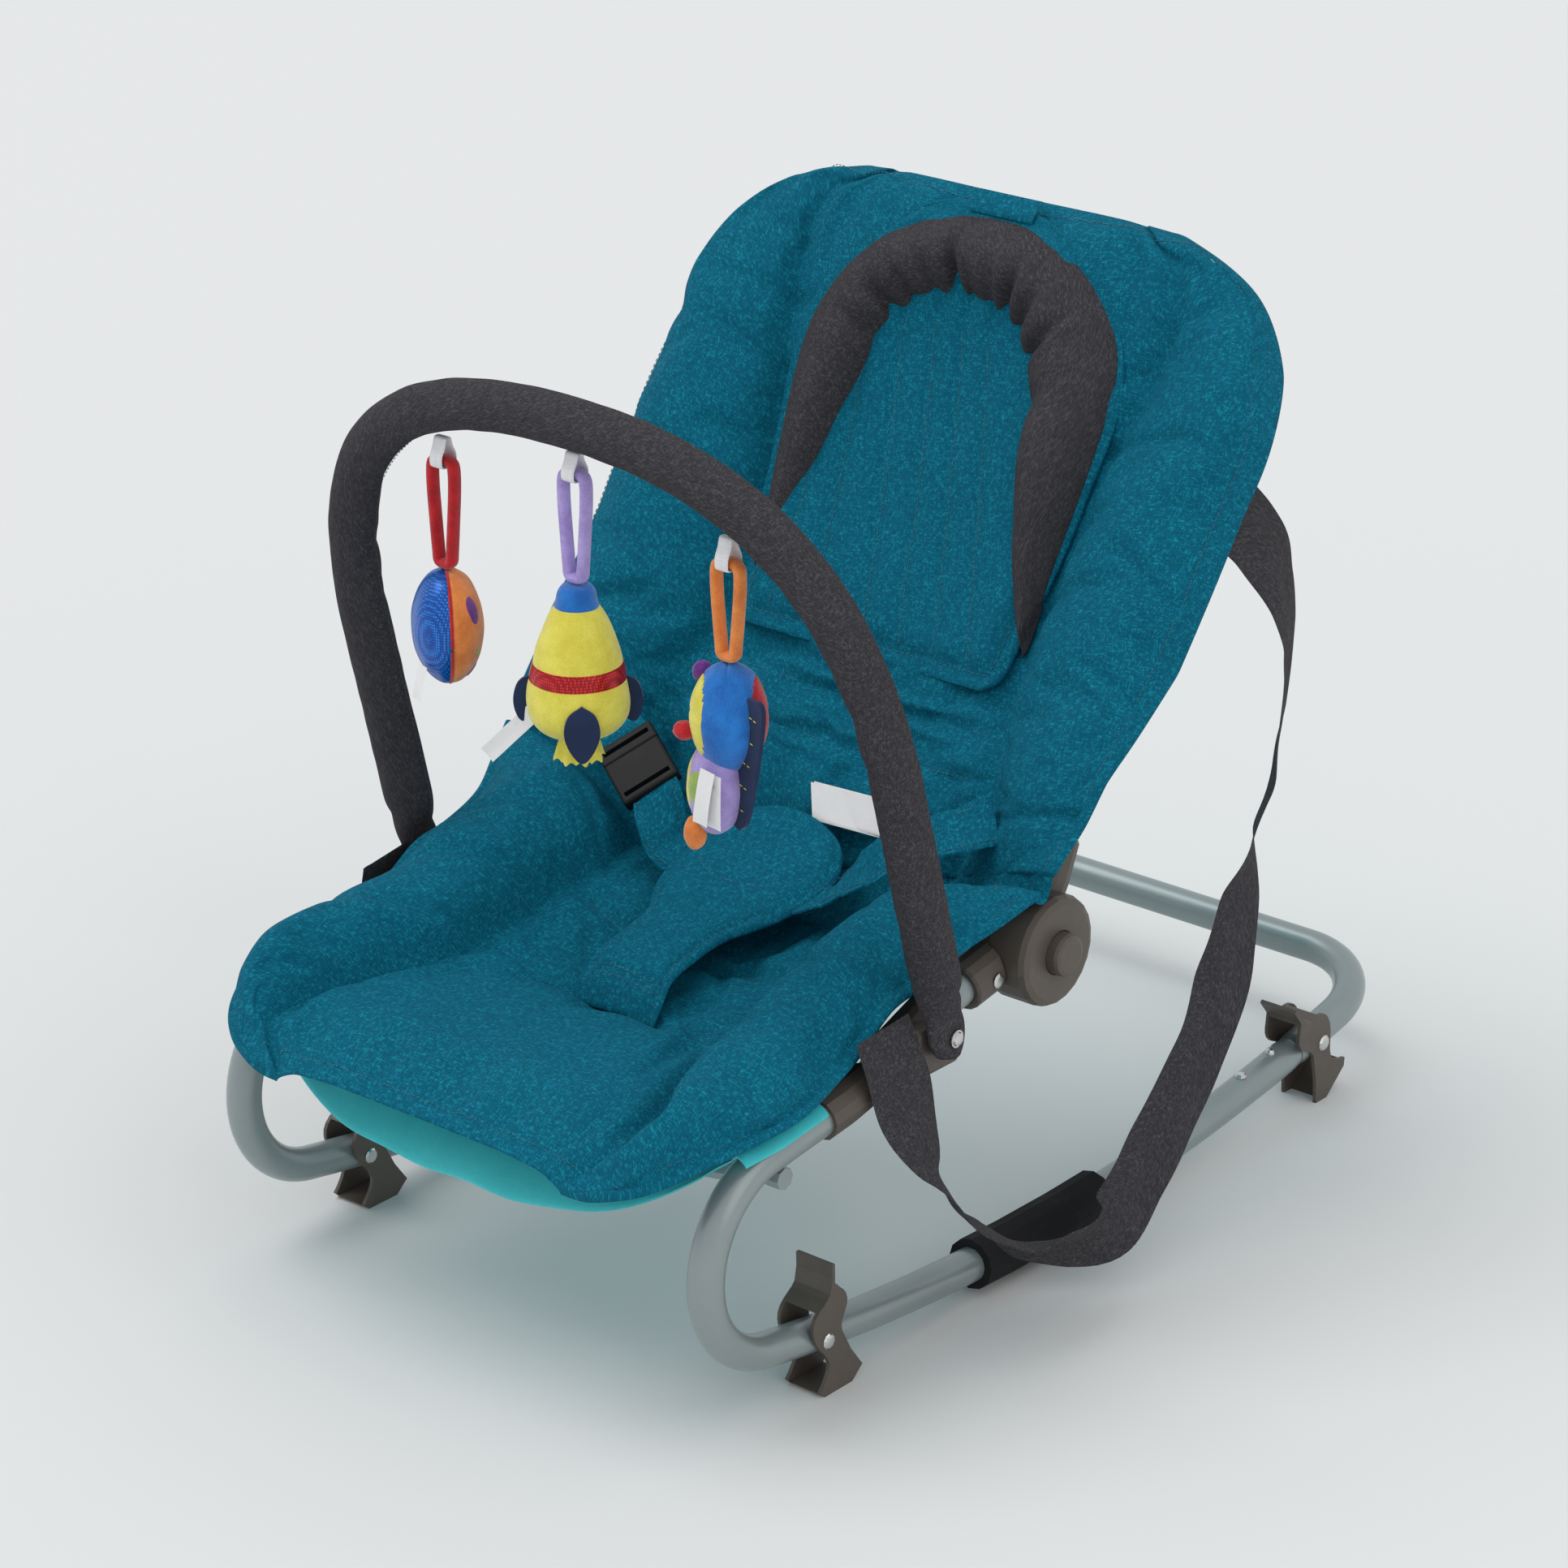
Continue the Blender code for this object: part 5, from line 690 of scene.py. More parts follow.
# %% The padded section and the rows along a piece
def section(share, half, edge, crease, crease_height, middle, crown):
    """Place across and height of a padded section, by its column: middle, side roll, then the hem."""
    sign = -1 if share < 0.5 else 1
    column = abs(share - 0.5) * COLUMNS
    if column <= CREASE_COLUMN:
        f = column / CREASE_COLUMN
        height = middle + (crease_height - middle) * f * f + 0.004 * math.sin(math.pi * max(f, 0.5))
        return sign * crease * f, height - 0.005 * max(0.0, f - 0.88) / 0.12
    if column <= HEM_COLUMN:
        f = (column - CREASE_COLUMN) / (HEM_COLUMN - CREASE_COLUMN)
        x = crease + (half - HEM - crease) * f
        height = crease_height + (edge - crease_height) * f + crown * math.sin(math.pi * f) ** 0.7
        return sign * x, height - 0.005 * max(0.0, 0.12 - f) / 0.12
    f = (column - HEM_COLUMN) / (COLUMNS / 2 - HEM_COLUMN)
    return sign * (half - HEM * (1 - f)), edge + 0.0012 * math.sin(math.pi * f) - 0.0016 * f


def rows_at(first, last, count, seams):
    """Places along a piece, one for each row, with the rows nearest a seam moved onto it."""
    places = [first + (last - first) * i / count for i in range(count + 1)]
    for seam in seams:
        near = min(range(count + 1), key=lambda i: abs(places[i] - seam))
        places[near] = seam
    return places


print("seat stations:", len(SEAT_STATIONS))


# %% The side tube's height, and single folds in the cloth
def seat_tube_height(y):
    """Centre line of the side tube under the seat."""
    bend = (-0.2125, 0.17669)
    entry = (-0.1134, 0.20932)
    slopes = math.tan(math.radians(7.0)), math.tan(math.radians(10.0))
    if y < bend[0]:
        return bend[1] + (max(y, -0.2778) - bend[0]) * slopes[0]
    if y > entry[0]:
        return entry[1] + (min(y, HUB.y) - entry[0]) * slopes[1]
    t = (y - bend[0]) / (entry[0] - bend[0])
    third = (entry[0] - bend[0]) / 3
    heights = (bend[1], bend[1] + third * slopes[0], entry[1] - third * slopes[1], entry[1])
    shares = ((1 - t) ** 3, 3 * (1 - t) ** 2 * t, 3 * (1 - t) * t * t, t ** 3)
    return sum(a * b for a, b in zip(shares, heights))


def fold(x, y, start, end, width, depth):
    """Depth at a place of one soft fold that runs from start to end."""
    a, b = Vector(start), Vector(end)
    run = b - a
    f = min(1.0, max(0.0, (Vector((x, y)) - a).dot(run) / run.length_squared))
    away = (Vector((x, y)) - (a + run * f)).length / width
    return depth * math.exp(-away * away) * (1 - 0.7 * f)


SEAT_FOLDS = (
    # start at a seam, end, half width, depth, all in the seat's plan
    ((-0.104, -0.160), (-0.150, -0.190), 0.0055, 0.0050),
    ((-0.104, -0.120), (-0.160, -0.130), 0.0060, 0.0055),
    ((-0.104, -0.095), (-0.150, -0.080), 0.0055, 0.0050),
    ((-0.110, -0.215), (-0.150, -0.250), 0.0060, 0.0035),
    ((-0.192, -0.150), (-0.150, -0.140), 0.0060, 0.0035),
    ((-0.200, -0.250), (-0.165, -0.262), 0.0070, 0.0030),
    ((0.104, -0.150), (0.140, -0.180), 0.0055, 0.0040), ((0.101, -0.105), (0.150, -0.120), 0.0060, 0.0050),
    ((0.118, -0.262), (0.150, -0.240), 0.0060, 0.0025), ((0.198, -0.290), (0.165, -0.282), 0.0070, 0.0025),
    ((0.192, -0.190), (0.160, -0.180), 0.0060, 0.0035),
    ((0.030, -0.2015), (0.060, -0.225), 0.0060, 0.0030),
    ((-0.040, -0.2015), (-0.075, -0.230), 0.0060, 0.0030),
    ((0.020, -0.1295), (0.045, -0.150), 0.0050, 0.0030),
)
SEAT_PLACES = rows_at(SEAT_FRONT, SEAT_REAR, SEAT_ROWS, SEAT_SEAMS)


print("folds in the seat:", len(SEAT_FOLDS))


# %% The seat's upper and lower faces
def seam_dip(place, seams, share):
    """Depth of the channels sewn across the middle."""
    inside = 1 - abs(share - 0.5) * COLUMNS / CREASE_COLUMN
    near = max(1.0 - abs(place - seam) / 0.009 for seam in seams)
    return max(0.0, near) * 0.006 * max(0.0, inside) ** 0.25


def seat_upper(share, along):
    y = SEAT_PLACES[round(along * SEAT_ROWS)]
    half, edge, crease, crease_height, middle = through(SEAT_STATIONS, y)
    inner = fade(y - SEAT_FRONT - HEM, 0.05) ** 0.5 if y > SEAT_FRONT + HEM else 0.0
    crown = 0.030 * inner * (0.35 + 0.65 * fade(SEAT_REAR - y, 0.04))
    x, z = section(share, half, edge, crease, crease_height, middle, crown)
    z -= seam_dip(y, SEAT_SEAMS, share)
    if abs(x) < half - HEM:
        z -= sum(fold(x, y, *entry) for entry in SEAT_FOLDS)
        z += 0.005 * fade(y - SEAT_FRONT - HEM, 0.012) * (1 - fade(y - SEAT_FRONT - 0.03, 0.04))
    return Vector((x, y, z))


def seat_lower(share, along):
    top = seat_upper(share, along)
    y = top.y
    half, edge, crease, crease_height, _ = through(SEAT_STATIONS, y)
    x = abs(top.x)
    f = fade(x - crease, half - crease)
    base = mix(crease_height, edge, f) - mix(0.012, 0.0035, f ** 3)
    if x < crease:
        base = top.z - 0.011 * fade(y - SEAT_FRONT, 0.02) - 0.002
    clear = -1.0
    if x > 0.165:
        clear = seat_tube_height(y) + TUBE_RADIUS + 0.0036 if y > -0.30 else -1.0
    if x > 0.165 and y > -0.18:
        clear = max(clear, seat_tube_height(y) + 0.0168)
    near_hub = 0.036 ** 2 - (y - HUB.y) ** 2
    if x > 0.165 and near_hub > 0:
        clear = max(clear, HUB.z + math.sqrt(near_hub))
    return Vector((top.x, y, min(max(base, clear), top.z - 0.0025)))


seat_work = doubled_grid(COLUMNS, SEAT_ROWS, seat_upper, seat_lower)
print("seat:", len(seat_work.faces), "faces before the cloth is blown up")

# %% [markdown]
# ## The back's padding
# The back is quilted like the seat, on a plane that leans with the back tubes. Its lowest sections ride
# up at their sides, where the cover bends round the hubs, and its top wraps over the crossbar.

# %% Sections of the back
BACK_STATIONS = (
    # up, half width, edge out, crease x, crease out, middle out, how far the sides ride up
    (0.0020, 0.218, 0.0400, 0.118, -0.0100, -0.0200, 0.038),
    (0.0300, 0.220, 0.0370, 0.124, -0.0040, -0.0170, 0.026),
    (0.0600, 0.222, 0.0330, 0.130, 0.0010, -0.0140, 0.014),
    (0.0860, 0.223, 0.0310, 0.131, 0.0040, -0.0130, 0.006),
    (0.1310, 0.227, 0.0300, 0.120, -0.0040, -0.0170, 0.000),
    (0.1740, 0.230, 0.0290, 0.118, -0.0040, -0.0150, 0.000),
    (0.2350, 0.232, 0.0260, 0.122, -0.0010, -0.0120, 0.000),
    (0.2820, 0.232, 0.0230, 0.127, 0.0040, -0.0080, 0.000),
    (0.3190, 0.231, 0.0180, 0.137, 0.0070, -0.0040, 0.000),
    (0.3490, 0.2270, 0.0160, 0.143, 0.0080, 0.0010, 0.000),
    (0.3740, 0.2195, 0.0145, 0.147, 0.0120, 0.0070, 0.000),
    (0.3990, 0.2060, 0.0130, 0.146, 0.0165, 0.0140, 0.000),
    (0.4180, 0.1870, 0.0110, 0.136, 0.0200, 0.0160, 0.000),
    (0.4310, 0.1610, 0.0105, 0.116, 0.0190, 0.0150, 0.000),
    (0.4425, 0.125, 0.0060, 0.098, 0.0110, 0.0060, 0.000),
)
BACK_FOOT, BACK_TOP = 0.002, 0.4425
BACK_SEAMS = (0.080, 0.112)
BACK_PLACES = rows_at(BACK_FOOT, BACK_TOP, BACK_ROWS, BACK_SEAMS)
BACK_FOLDS = (
    ((0.131, 0.300), (0.190, 0.315), 0.0060, 0.0035), ((0.226, 0.215), (0.185, 0.235), 0.0060, 0.0035),
    ((0.226, 0.150), (0.180, 0.168), 0.0055, 0.0035), ((0.119, 0.195), (0.150, 0.212), 0.0060, 0.0030),
    ((0.222, 0.070), (0.165, 0.050), 0.0050, 0.0050), ((0.120, 0.040), (0.180, 0.060), 0.0060, 0.0045),
    ((-0.131, 0.300), (-0.190, 0.318), 0.0060, 0.0045), ((-0.137, 0.345), (-0.200, 0.350), 0.0060, 0.0040),
    ((-0.226, 0.240), (-0.175, 0.225), 0.0060, 0.0040), ((-0.119, 0.200), (-0.170, 0.205), 0.0060, 0.0040),
    ((-0.222, 0.110), (-0.170, 0.130), 0.0055, 0.0040), ((-0.124, 0.070), (-0.180, 0.085), 0.0055, 0.0040),
    ((-0.147, 0.380), (-0.180, 0.395), 0.0060, 0.0035), ((0.147, 0.380), (0.175, 0.400), 0.0060, 0.0035),
    ((0.060, 0.112), (0.085, 0.140), 0.0055, 0.0025), ((-0.060, 0.080), (-0.085, 0.060), 0.0055, 0.0025),
)


print("folds in the back:", len(BACK_FOLDS))


# %% The back's front and rear faces
def back_station(x, place):
    up = place
    for _ in range(6):
        values = through(BACK_STATIONS, up)
        up = place - values[5] * abs(x) / values[0]
    return up


def back_crown(up):
    """How far the side rolls stand out: full at the middle, less near the top and the foot."""
    top = fade(BACK_TOP - HEM - up, 0.05) ** 0.5 * (1 - 0.40 * fade(up - 0.350, 0.05))
    return 0.014 * top * (0.3 + 0.7 * fade(up - BACK_FOOT, 0.07))


def back_front(share, along):
    up = BACK_PLACES[round(along * BACK_ROWS)]
    half, edge, crease, crease_out, middle, ride = through(BACK_STATIONS, up)
    crown = back_crown(up)
    x, out = section(share, half, edge, crease, crease_out, middle, crown)
    past = abs(share - 0.5) * COLUMNS - HEM_COLUMN
    wrapped = mix(fade(past + 5, 9) ** 1.6, fade(past + 1, 5) ** 2.2, fade(up - 0.320, 0.03))
    wrapped *= fade(up - 0.10, 0.08)
    out -= wrapped * (0.020 * fade(0.435 - up, 0.06) + 0.002)
    place = up + ride * abs(x) / half
    out -= seam_dip(up, BACK_SEAMS, share)
    if abs(x) < half - HEM and up < BACK_TOP - HEM:
        out -= sum(fold(x, up, *entry) for entry in BACK_FOLDS)
    return back_point(x, place, out)


def back_height(x, place):
    """How far out of the back's plane the padding's face lies at a place."""
    up = back_station(x, place)
    half, edge, crease, crease_out, middle, _ = through(BACK_STATIONS, up)
    crown = back_crown(up)
    x = abs(x)
    if x <= crease:
        f = x / crease
        height = middle + (crease_out - middle) * f * f + 0.004 * math.sin(math.pi * max(f, 0.5))
        return height - 0.005 * max(0.0, f - 0.85) / 0.15
    f = min(1.0, (x - crease) / (half - HEM - crease))
    return crease_out + (edge - crease_out) * f + crown * math.sin(math.pi * f) ** 0.7


def back_rear(share, along):
    front = back_front(share, along)
    rel = front - HUB
    up, out = rel.dot(BACK_UP), rel.dot(BACK_OUT)
    station = BACK_PLACES[round(along * BACK_ROWS)]
    half, edge, *_ = through(BACK_STATIONS, station)
    x = abs(front.x)
    tuck = fade(x - half + 0.024, 0.024) ** 2
    floor_out = min(out - 0.008, 0.0125)
    if x > 0.14:
        floor_out = 0.0125
    if x > 0.14 and up < 0.084:
        near_hub = 0.035 ** 2 - up ** 2
        floor_out = max(0.0168, math.sqrt(near_hub) + 0.001 if near_hub > 0 else 0.0)
    if station > 0.405:
        floor_out = 0.0125
    base = floor_out + max(0.0, edge - 0.0035 - floor_out) * tuck
    return back_point(front.x, up, min(base, out - 0.0025))


back_work = doubled_grid(COLUMNS, BACK_ROWS, back_front, back_rear)
print("back:", len(back_work.faces), "faces before the cloth is blown up")

# %% [markdown]
# ## Blowing up the padding
# Stuffed cloth bulges between its seams, and because it is a little too big for the space between them,
# it puckers along them. Blender's cloth gives both: the seams, the hems and the underside are pinned, the
# rest is pushed out from inside, and the cloth is told to be a few percent larger than it is drawn. The
# solver stops after twenty frames, and no point may move further than a cap, so the pad keeps its size.

# %% Pinned seams and a short cloth simulation
def pinned_points(mesh, columns, rows, seam_rows):
    """The weight that holds each point: full on the seams, hems and underside."""
    across = mesh.attributes["across"].data
    along = mesh.attributes["along"].data
    under = mesh.attributes["under"].data
    weights = []
    for i in range(len(mesh.vertices)):
        column = abs(round(across[i].value * columns) - columns // 2)
        row = round(along[i].value * rows)
        held = under[i].value > 0.5 or column >= HEM_COLUMN or row <= 1 or row >= rows - 1
        held = held or column == CREASE_COLUMN
        held = held or (column < CREASE_COLUMN and row in seam_rows)
        weights.append(1.0 if held else 0.0)
    return weights


def blown_up(made, weights, pressure, slack, cap, frames=20):
    """Runs cloth on a piece and keeps the result, each point at most the cap from where it was."""
    rest = [vert.co.copy() for vert in made.data.vertices]
    group = made.vertex_groups.new(name="sewn")
    for i, weight in enumerate(weights):
        if weight:
            group.add([i], weight, "REPLACE")
    step = made.modifiers.new("Cloth", "CLOTH")
    cloth = step.settings
    cloth.vertex_group_mass = "sewn"
    cloth.quality = 6
    cloth.mass = 0.15
    cloth.tension_stiffness = cloth.compression_stiffness = 12.0
    cloth.shear_stiffness = 6.0
    cloth.bending_stiffness = 0.6
    cloth.air_damping = 2.0
    cloth.use_pressure = True
    cloth.uniform_pressure_force = pressure
    cloth.shrink_min = cloth.shrink_max = -slack
    cloth.effector_weights.gravity = 0.0
    step.collision_settings.use_collision = False
    step.point_cache.frame_start = 1
    step.point_cache.frame_end = frames
    for number in range(1, frames + 1):
        scene.frame_set(number)
    graph = bpy.context.evaluated_depsgraph_get()
    result = made.evaluated_get(graph).to_mesh()
    moved = [vert.co.copy() for vert in result.vertices]
    made.evaluated_get(graph).to_mesh_clear()
    made.modifiers.remove(step)
    made.vertex_groups.remove(group)
    most = 0.0
    for vert, before, after in zip(made.data.vertices, rest, moved):
        shift = after - before
        if shift.length > cap:
            shift *= (cap + (shift.length - cap) * 0.15) / shift.length
        shift *= min(1.0, cap * 1.3 / max(shift.length, 1e-9))
        most = max(most, shift.length)
        vert.co = before + shift
    scene.frame_set(1)
    return most


print("the simulation is set up")


# %% Blow up the two pads
def grid_places(made, columns, rows):
    """Where each point of a piece's upper grid lies, by its column and row."""
    mesh = made.data
    across, along = mesh.attributes["across"].data, mesh.attributes["along"].data
    under = mesh.attributes["under"].data
    places = {}
    for i, vert in enumerate(mesh.vertices):
        if under[i].value < 0.5:
            places[round(across[i].value * columns), round(along[i].value * rows)] = vert.co.copy()
    return places


pads = {}
for name, work, rows, places, seams in (("seat_pad_cloth", seat_work, SEAT_ROWS, SEAT_PLACES, SEAT_SEAMS),
                                        ("back_pad_cloth", back_work, BACK_ROWS, BACK_PLACES, BACK_SEAMS)):
    made = finished(name, work, TEAL)
    seam_rows = [min(range(rows + 1), key=lambda i: abs(places[i] - seam)) for seam in seams]
    weights = pinned_points(made.data, COLUMNS, rows, seam_rows)
    print(name, "moved at most", round(blown_up(made, weights, 4.0, 0.045, 0.006), 4))
    pads[name] = grid_places(made, COLUMNS, rows)
    subdivided(made)
seat_cloth = bpy.data.objects["seat_pad_cloth"]
back_cloth = bpy.data.objects["back_pad_cloth"]
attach(seat_cloth, "rocker_frame")
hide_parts("seat_pad")
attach(back_cloth, "backrest")
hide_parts("back_pad")

# %% [markdown]
# ## Rows of stitches
# Topstitching is what makes a hem read as sewn. Each stitch is a short dash of thread that dips into the
# cloth at its two ends, so it is thick in its middle and thin where it goes in. A row follows any run of
# points just above the cloth, and each stitch has only a few faces because there are hundreds.

# %% Stitches along a run of points
STITCH = 0.0029
STITCH_GAP = 0.0011
THREAD_RADIUS = 0.00034


def stitches(work, points, normals, radius=THREAD_RADIUS):
    """Adds a row of stitches along the points to a bmesh."""
    far = [0.0]
    for near, after in zip(points, points[1:]):
        far.append(far[-1] + (after - near).length)

    def at(distance):
        i = max(k for k in range(len(far)) if far[k] <= distance + 1e-9)
        i = min(i, len(points) - 2)
        f = (distance - far[i]) / max(far[i + 1] - far[i], 1e-9)
        return points[i].lerp(points[i + 1], f), normals[i].lerp(normals[i + 1], f).normalized()

    start = STITCH_GAP
    while start + STITCH < far[-1]:
        a, up = at(start)
        b, _ = at(start + STITCH)
        along = b - a
        turn = Matrix((along.normalized().cross(up), along.normalized(), up)).transposed().to_4x4()
        turn.translation = (a + b) / 2
        made = bmesh.ops.create_uvsphere(work, u_segments=6, v_segments=4, radius=1.0)["verts"]
        shape = Matrix.Diagonal((radius, radius, along.length / 2, 1.0))
        bmesh.ops.transform(work, verts=made, matrix=turn @ Matrix.Rotation(-math.pi / 2, 4, "X") @ shape)
        start += STITCH + STITCH_GAP


def stitch_rows(name, rows, body, material=None, lift=0.0003):
    """One object with several rows of stitches, each a pair of points and normals."""
    work = bmesh.new()
    for points, normals in rows:
        stitches(work, [spot + up * lift for spot, up in zip(points, normals)], normals)
    count = len(work.faces)
    made = finished(name, work, material or THREAD, body)
    return made, count


def lifted(points, up):
    """Normals for a run of points on a piece that faces one way."""
    return points, [Vector(up).normalized() for _ in points]


def pad_row(places, cells, facing):
    """Points and normals of a row of stitches through cells of a pad's grid."""
    points = [places[cell] for cell in cells]
    normals = []
    for column, row in cells:
        across = places[min(column + 1, COLUMNS), row] - places[max(column - 1, 0), row]
        up = places[column, min(row + 1, max(r for _, r in places))] - places[column, max(row - 1, 0)]
        normal = across.cross(up).normalized()
        normals.append(normal if normal.dot(facing) > 0 else -normal)
    return points, normals


print("one stitch is", STITCH, "long and", 2 * THREAD_RADIUS, "thick")

# %% Stitches round the seat and the back
seat_places, back_places = pads["seat_pad_cloth"], pads["back_pad_cloth"]


def nearest_row(places, spot):
    return min(range(len(places)), key=lambda i: abs(places[i] - spot))


def pad_stitches(name, cells, places, seams, first, turn, facing, body):
    """Stitches along a pad's sides and round its turn, and along the seams across its middle."""
    side = list(range(first, turn, 1 if turn > first else -1)) + [turn]
    rim = [(4, j) for j in side] + [(i, turn) for i in range(5, COLUMNS - 4)]
    rim += [(COLUMNS - 4, j) for j in reversed(side)]
    rows = [pad_row(cells, rim, facing)]
    for seam in seams:
        row = nearest_row(places, seam)
        middle = range(COLUMNS // 2 - CREASE_COLUMN + 1, COLUMNS // 2 + CREASE_COLUMN)
        rows.append(pad_row(cells, [(i, row) for i in middle], facing))
    print(name + ":", stitch_rows(name, rows, body)[1], "faces")


pad_stitches("seat_stitches", seat_places, SEAT_PLACES, SEAT_SEAMS, SEAT_ROWS - 2, 2, Vector((0, 0, 1)),
             "rocker_frame")
pad_stitches("back_stitches", back_places, BACK_PLACES, BACK_SEAMS, 1, BACK_ROWS - 2, BACK_OUT, "backrest")

# %% [markdown]
# ## The fold between seat and back
# Seat and back are one cover that folds at the hubs. A strip of the same cloth joins the two pads there,
# sinking into a valley. It bends with the recline, its front with the seat and its rear with the back.

# %% The joining fold
FOLD_ROWS = 10


def fold_place(share, along):
    column = round(share * COLUMNS)
    front = seat_places[column, SEAT_ROWS - 1]
    rear = back_places[column, 2]
    inward = 0.985 if abs(share - 0.5) > 0.44 else 1.0
    depth = 0.012 * math.sin(math.pi * along)
    place = front.lerp(rear, along)
    place.x *= inward
    return place - Vector((0.0, -0.25, 0.95)) * (depth + 0.0030)


work = cloth_grid(COLUMNS, FOLD_ROWS, fold_place)
joining_fold = subdivided(finished("joining_fold", work, TEAL))
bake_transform(joining_fold, "rocker_frame", "backrest", start=(0.0, -0.0605, 0.20), end=(0.0, -0.030, 0.22))
print("joining fold ready")

# %% [markdown]
# ## The linings
# A smooth turquoise lining carries the padding on the tubes. Under the seat it is a hammock: it goes over
# the side tubes and down their outer side, and its front hem sags between them. Behind the brackets it
# is cut back to clear the hubs. The back's lining is a pocket pulled down over the back tube.

# %% The seat's lining
LINING = 0.0012
LINING_ROWS = 60
LINING_COLUMNS = 64
WRAP_COLUMNS = 8


def seat_base(x, y):
    """Height of the padding's underside at a place."""
    half, edge, crease, crease_height, middle = through(SEAT_STATIONS, y)
    x = min(abs(x), half)
    if x < crease:
        f = x / crease
        top = middle + (crease_height - middle) * f * f + 0.004 * math.sin(math.pi * max(f, 0.5))
        return top - 0.0135 * fade(y - SEAT_FRONT, 0.02) - 0.007
    f = fade(x - crease, half - crease)
    return crease_height + (edge - crease_height) * f - mix(0.012, 0.0035, f ** 3)


def hung_height(x, y):
    """The lining between the side tubes, sagging under the padding."""
    forward = fade(y + 0.3755, 0.10)
    top = seat_tube_height(y) + TUBE_RADIUS + 0.0012 + LINING
    sag = 0.026 * (0.35 + 0.65 * forward)
    f = min(1.0, abs(x) / RAIL_X)
    hung = top - 0.036 * (1 - forward) ** 2 - sag * (1 - f * f)
    return min(hung, seat_base(x, y) - 0.0025) if f < 0.9 else hung


def lining_place(share, along):
    across = (share - 0.5) * 2
    inner = 1 - 2 * WRAP_COLUMNS / LINING_COLUMNS
    rear = -0.2365
    f = min(1.0, abs(across) / inner)
    front_y = -0.352 + 0.042 * f ** 3
    y = mix(front_y, rear, along)
    if abs(across) <= inner:
        x = across / inner * RAIL_X
        hem_height = 0.1255 + 0.0540 * f ** 3.5 + 0.0012 * math.sin(x * 90.0) * (1 - f)
        drop = min(0.0, hem_height - hung_height(x, front_y))
        return Vector((x, y, hung_height(x, y) + drop * (1 - fade(along, 0.45)) ** 2))
    turn = (abs(across) - inner) / (1 - inner)
    angle = math.radians(mix(90.0, 38.0, turn))
    reach = TUBE_RADIUS + 0.0012 + LINING
    x = RAIL_X + reach * math.cos(angle)
    return Vector((math.copysign(x, across), y, seat_tube_height(y) + reach * math.sin(angle)))


def rear_lining_place(share, along):
    y = mix(-0.2365, -0.0640, along)
    reach = mix(RAIL_X - 0.002, RAIL_X - TUBE_RADIUS - 0.010, fade(along, 0.08))
    if y > -0.16:
        reach = min(reach, 0.160)
    x = (share - 0.5) * 2 * reach
    return Vector((x, y, hung_height(x, y)))


print("the lining hangs", round(seat_base(0.0, -0.30) - hung_height(0.0, -0.30), 4), "under the padding")


# %% Cut the seat's two linings
def thickened(work, thick=LINING):
    bmesh.ops.solidify(work, geom=work.faces[:], thickness=thick)
    bmesh.ops.recalc_face_normals(work, faces=work.faces)


work = cloth_grid(LINING_COLUMNS, LINING_ROWS, lining_place)
thickened(work)
seat_lining = finished("seat_lining", work, TURQUOISE, "rocker_frame")
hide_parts("seat_sling")
work = cloth_grid(LINING_COLUMNS, LINING_ROWS, rear_lining_place)
thickened(work)
rear_lining = finished("seat_lining_rear", work, TURQUOISE, "rocker_frame")
print("seat linings ready")

# %% The back's lining, a pocket over the back tube
POCKET_FOOT, POCKET_TOP = 0.066, 0.4393
POCKET_HALF = 0.0118
POCKET_ROWS = 72
FACE_COLUMNS, SIDE_COLUMNS = 40, 8
POCKET_COLUMNS = 2 * (FACE_COLUMNS + SIDE_COLUMNS)


def back_leg(up):
    """Across place of the back tube's centre line."""
    if up < 0.072:
        return 0.187
    if up < 0.273:
        t = (up - 0.072) / 0.201
        return mix(0.187, 0.212, t * t * (3 - 2 * t))
    if up <= 0.333:
        return 0.212
    return 0.117 + math.sqrt(max(0.0, 0.095 ** 2 - (min(up, 0.428) - 0.333) ** 2))


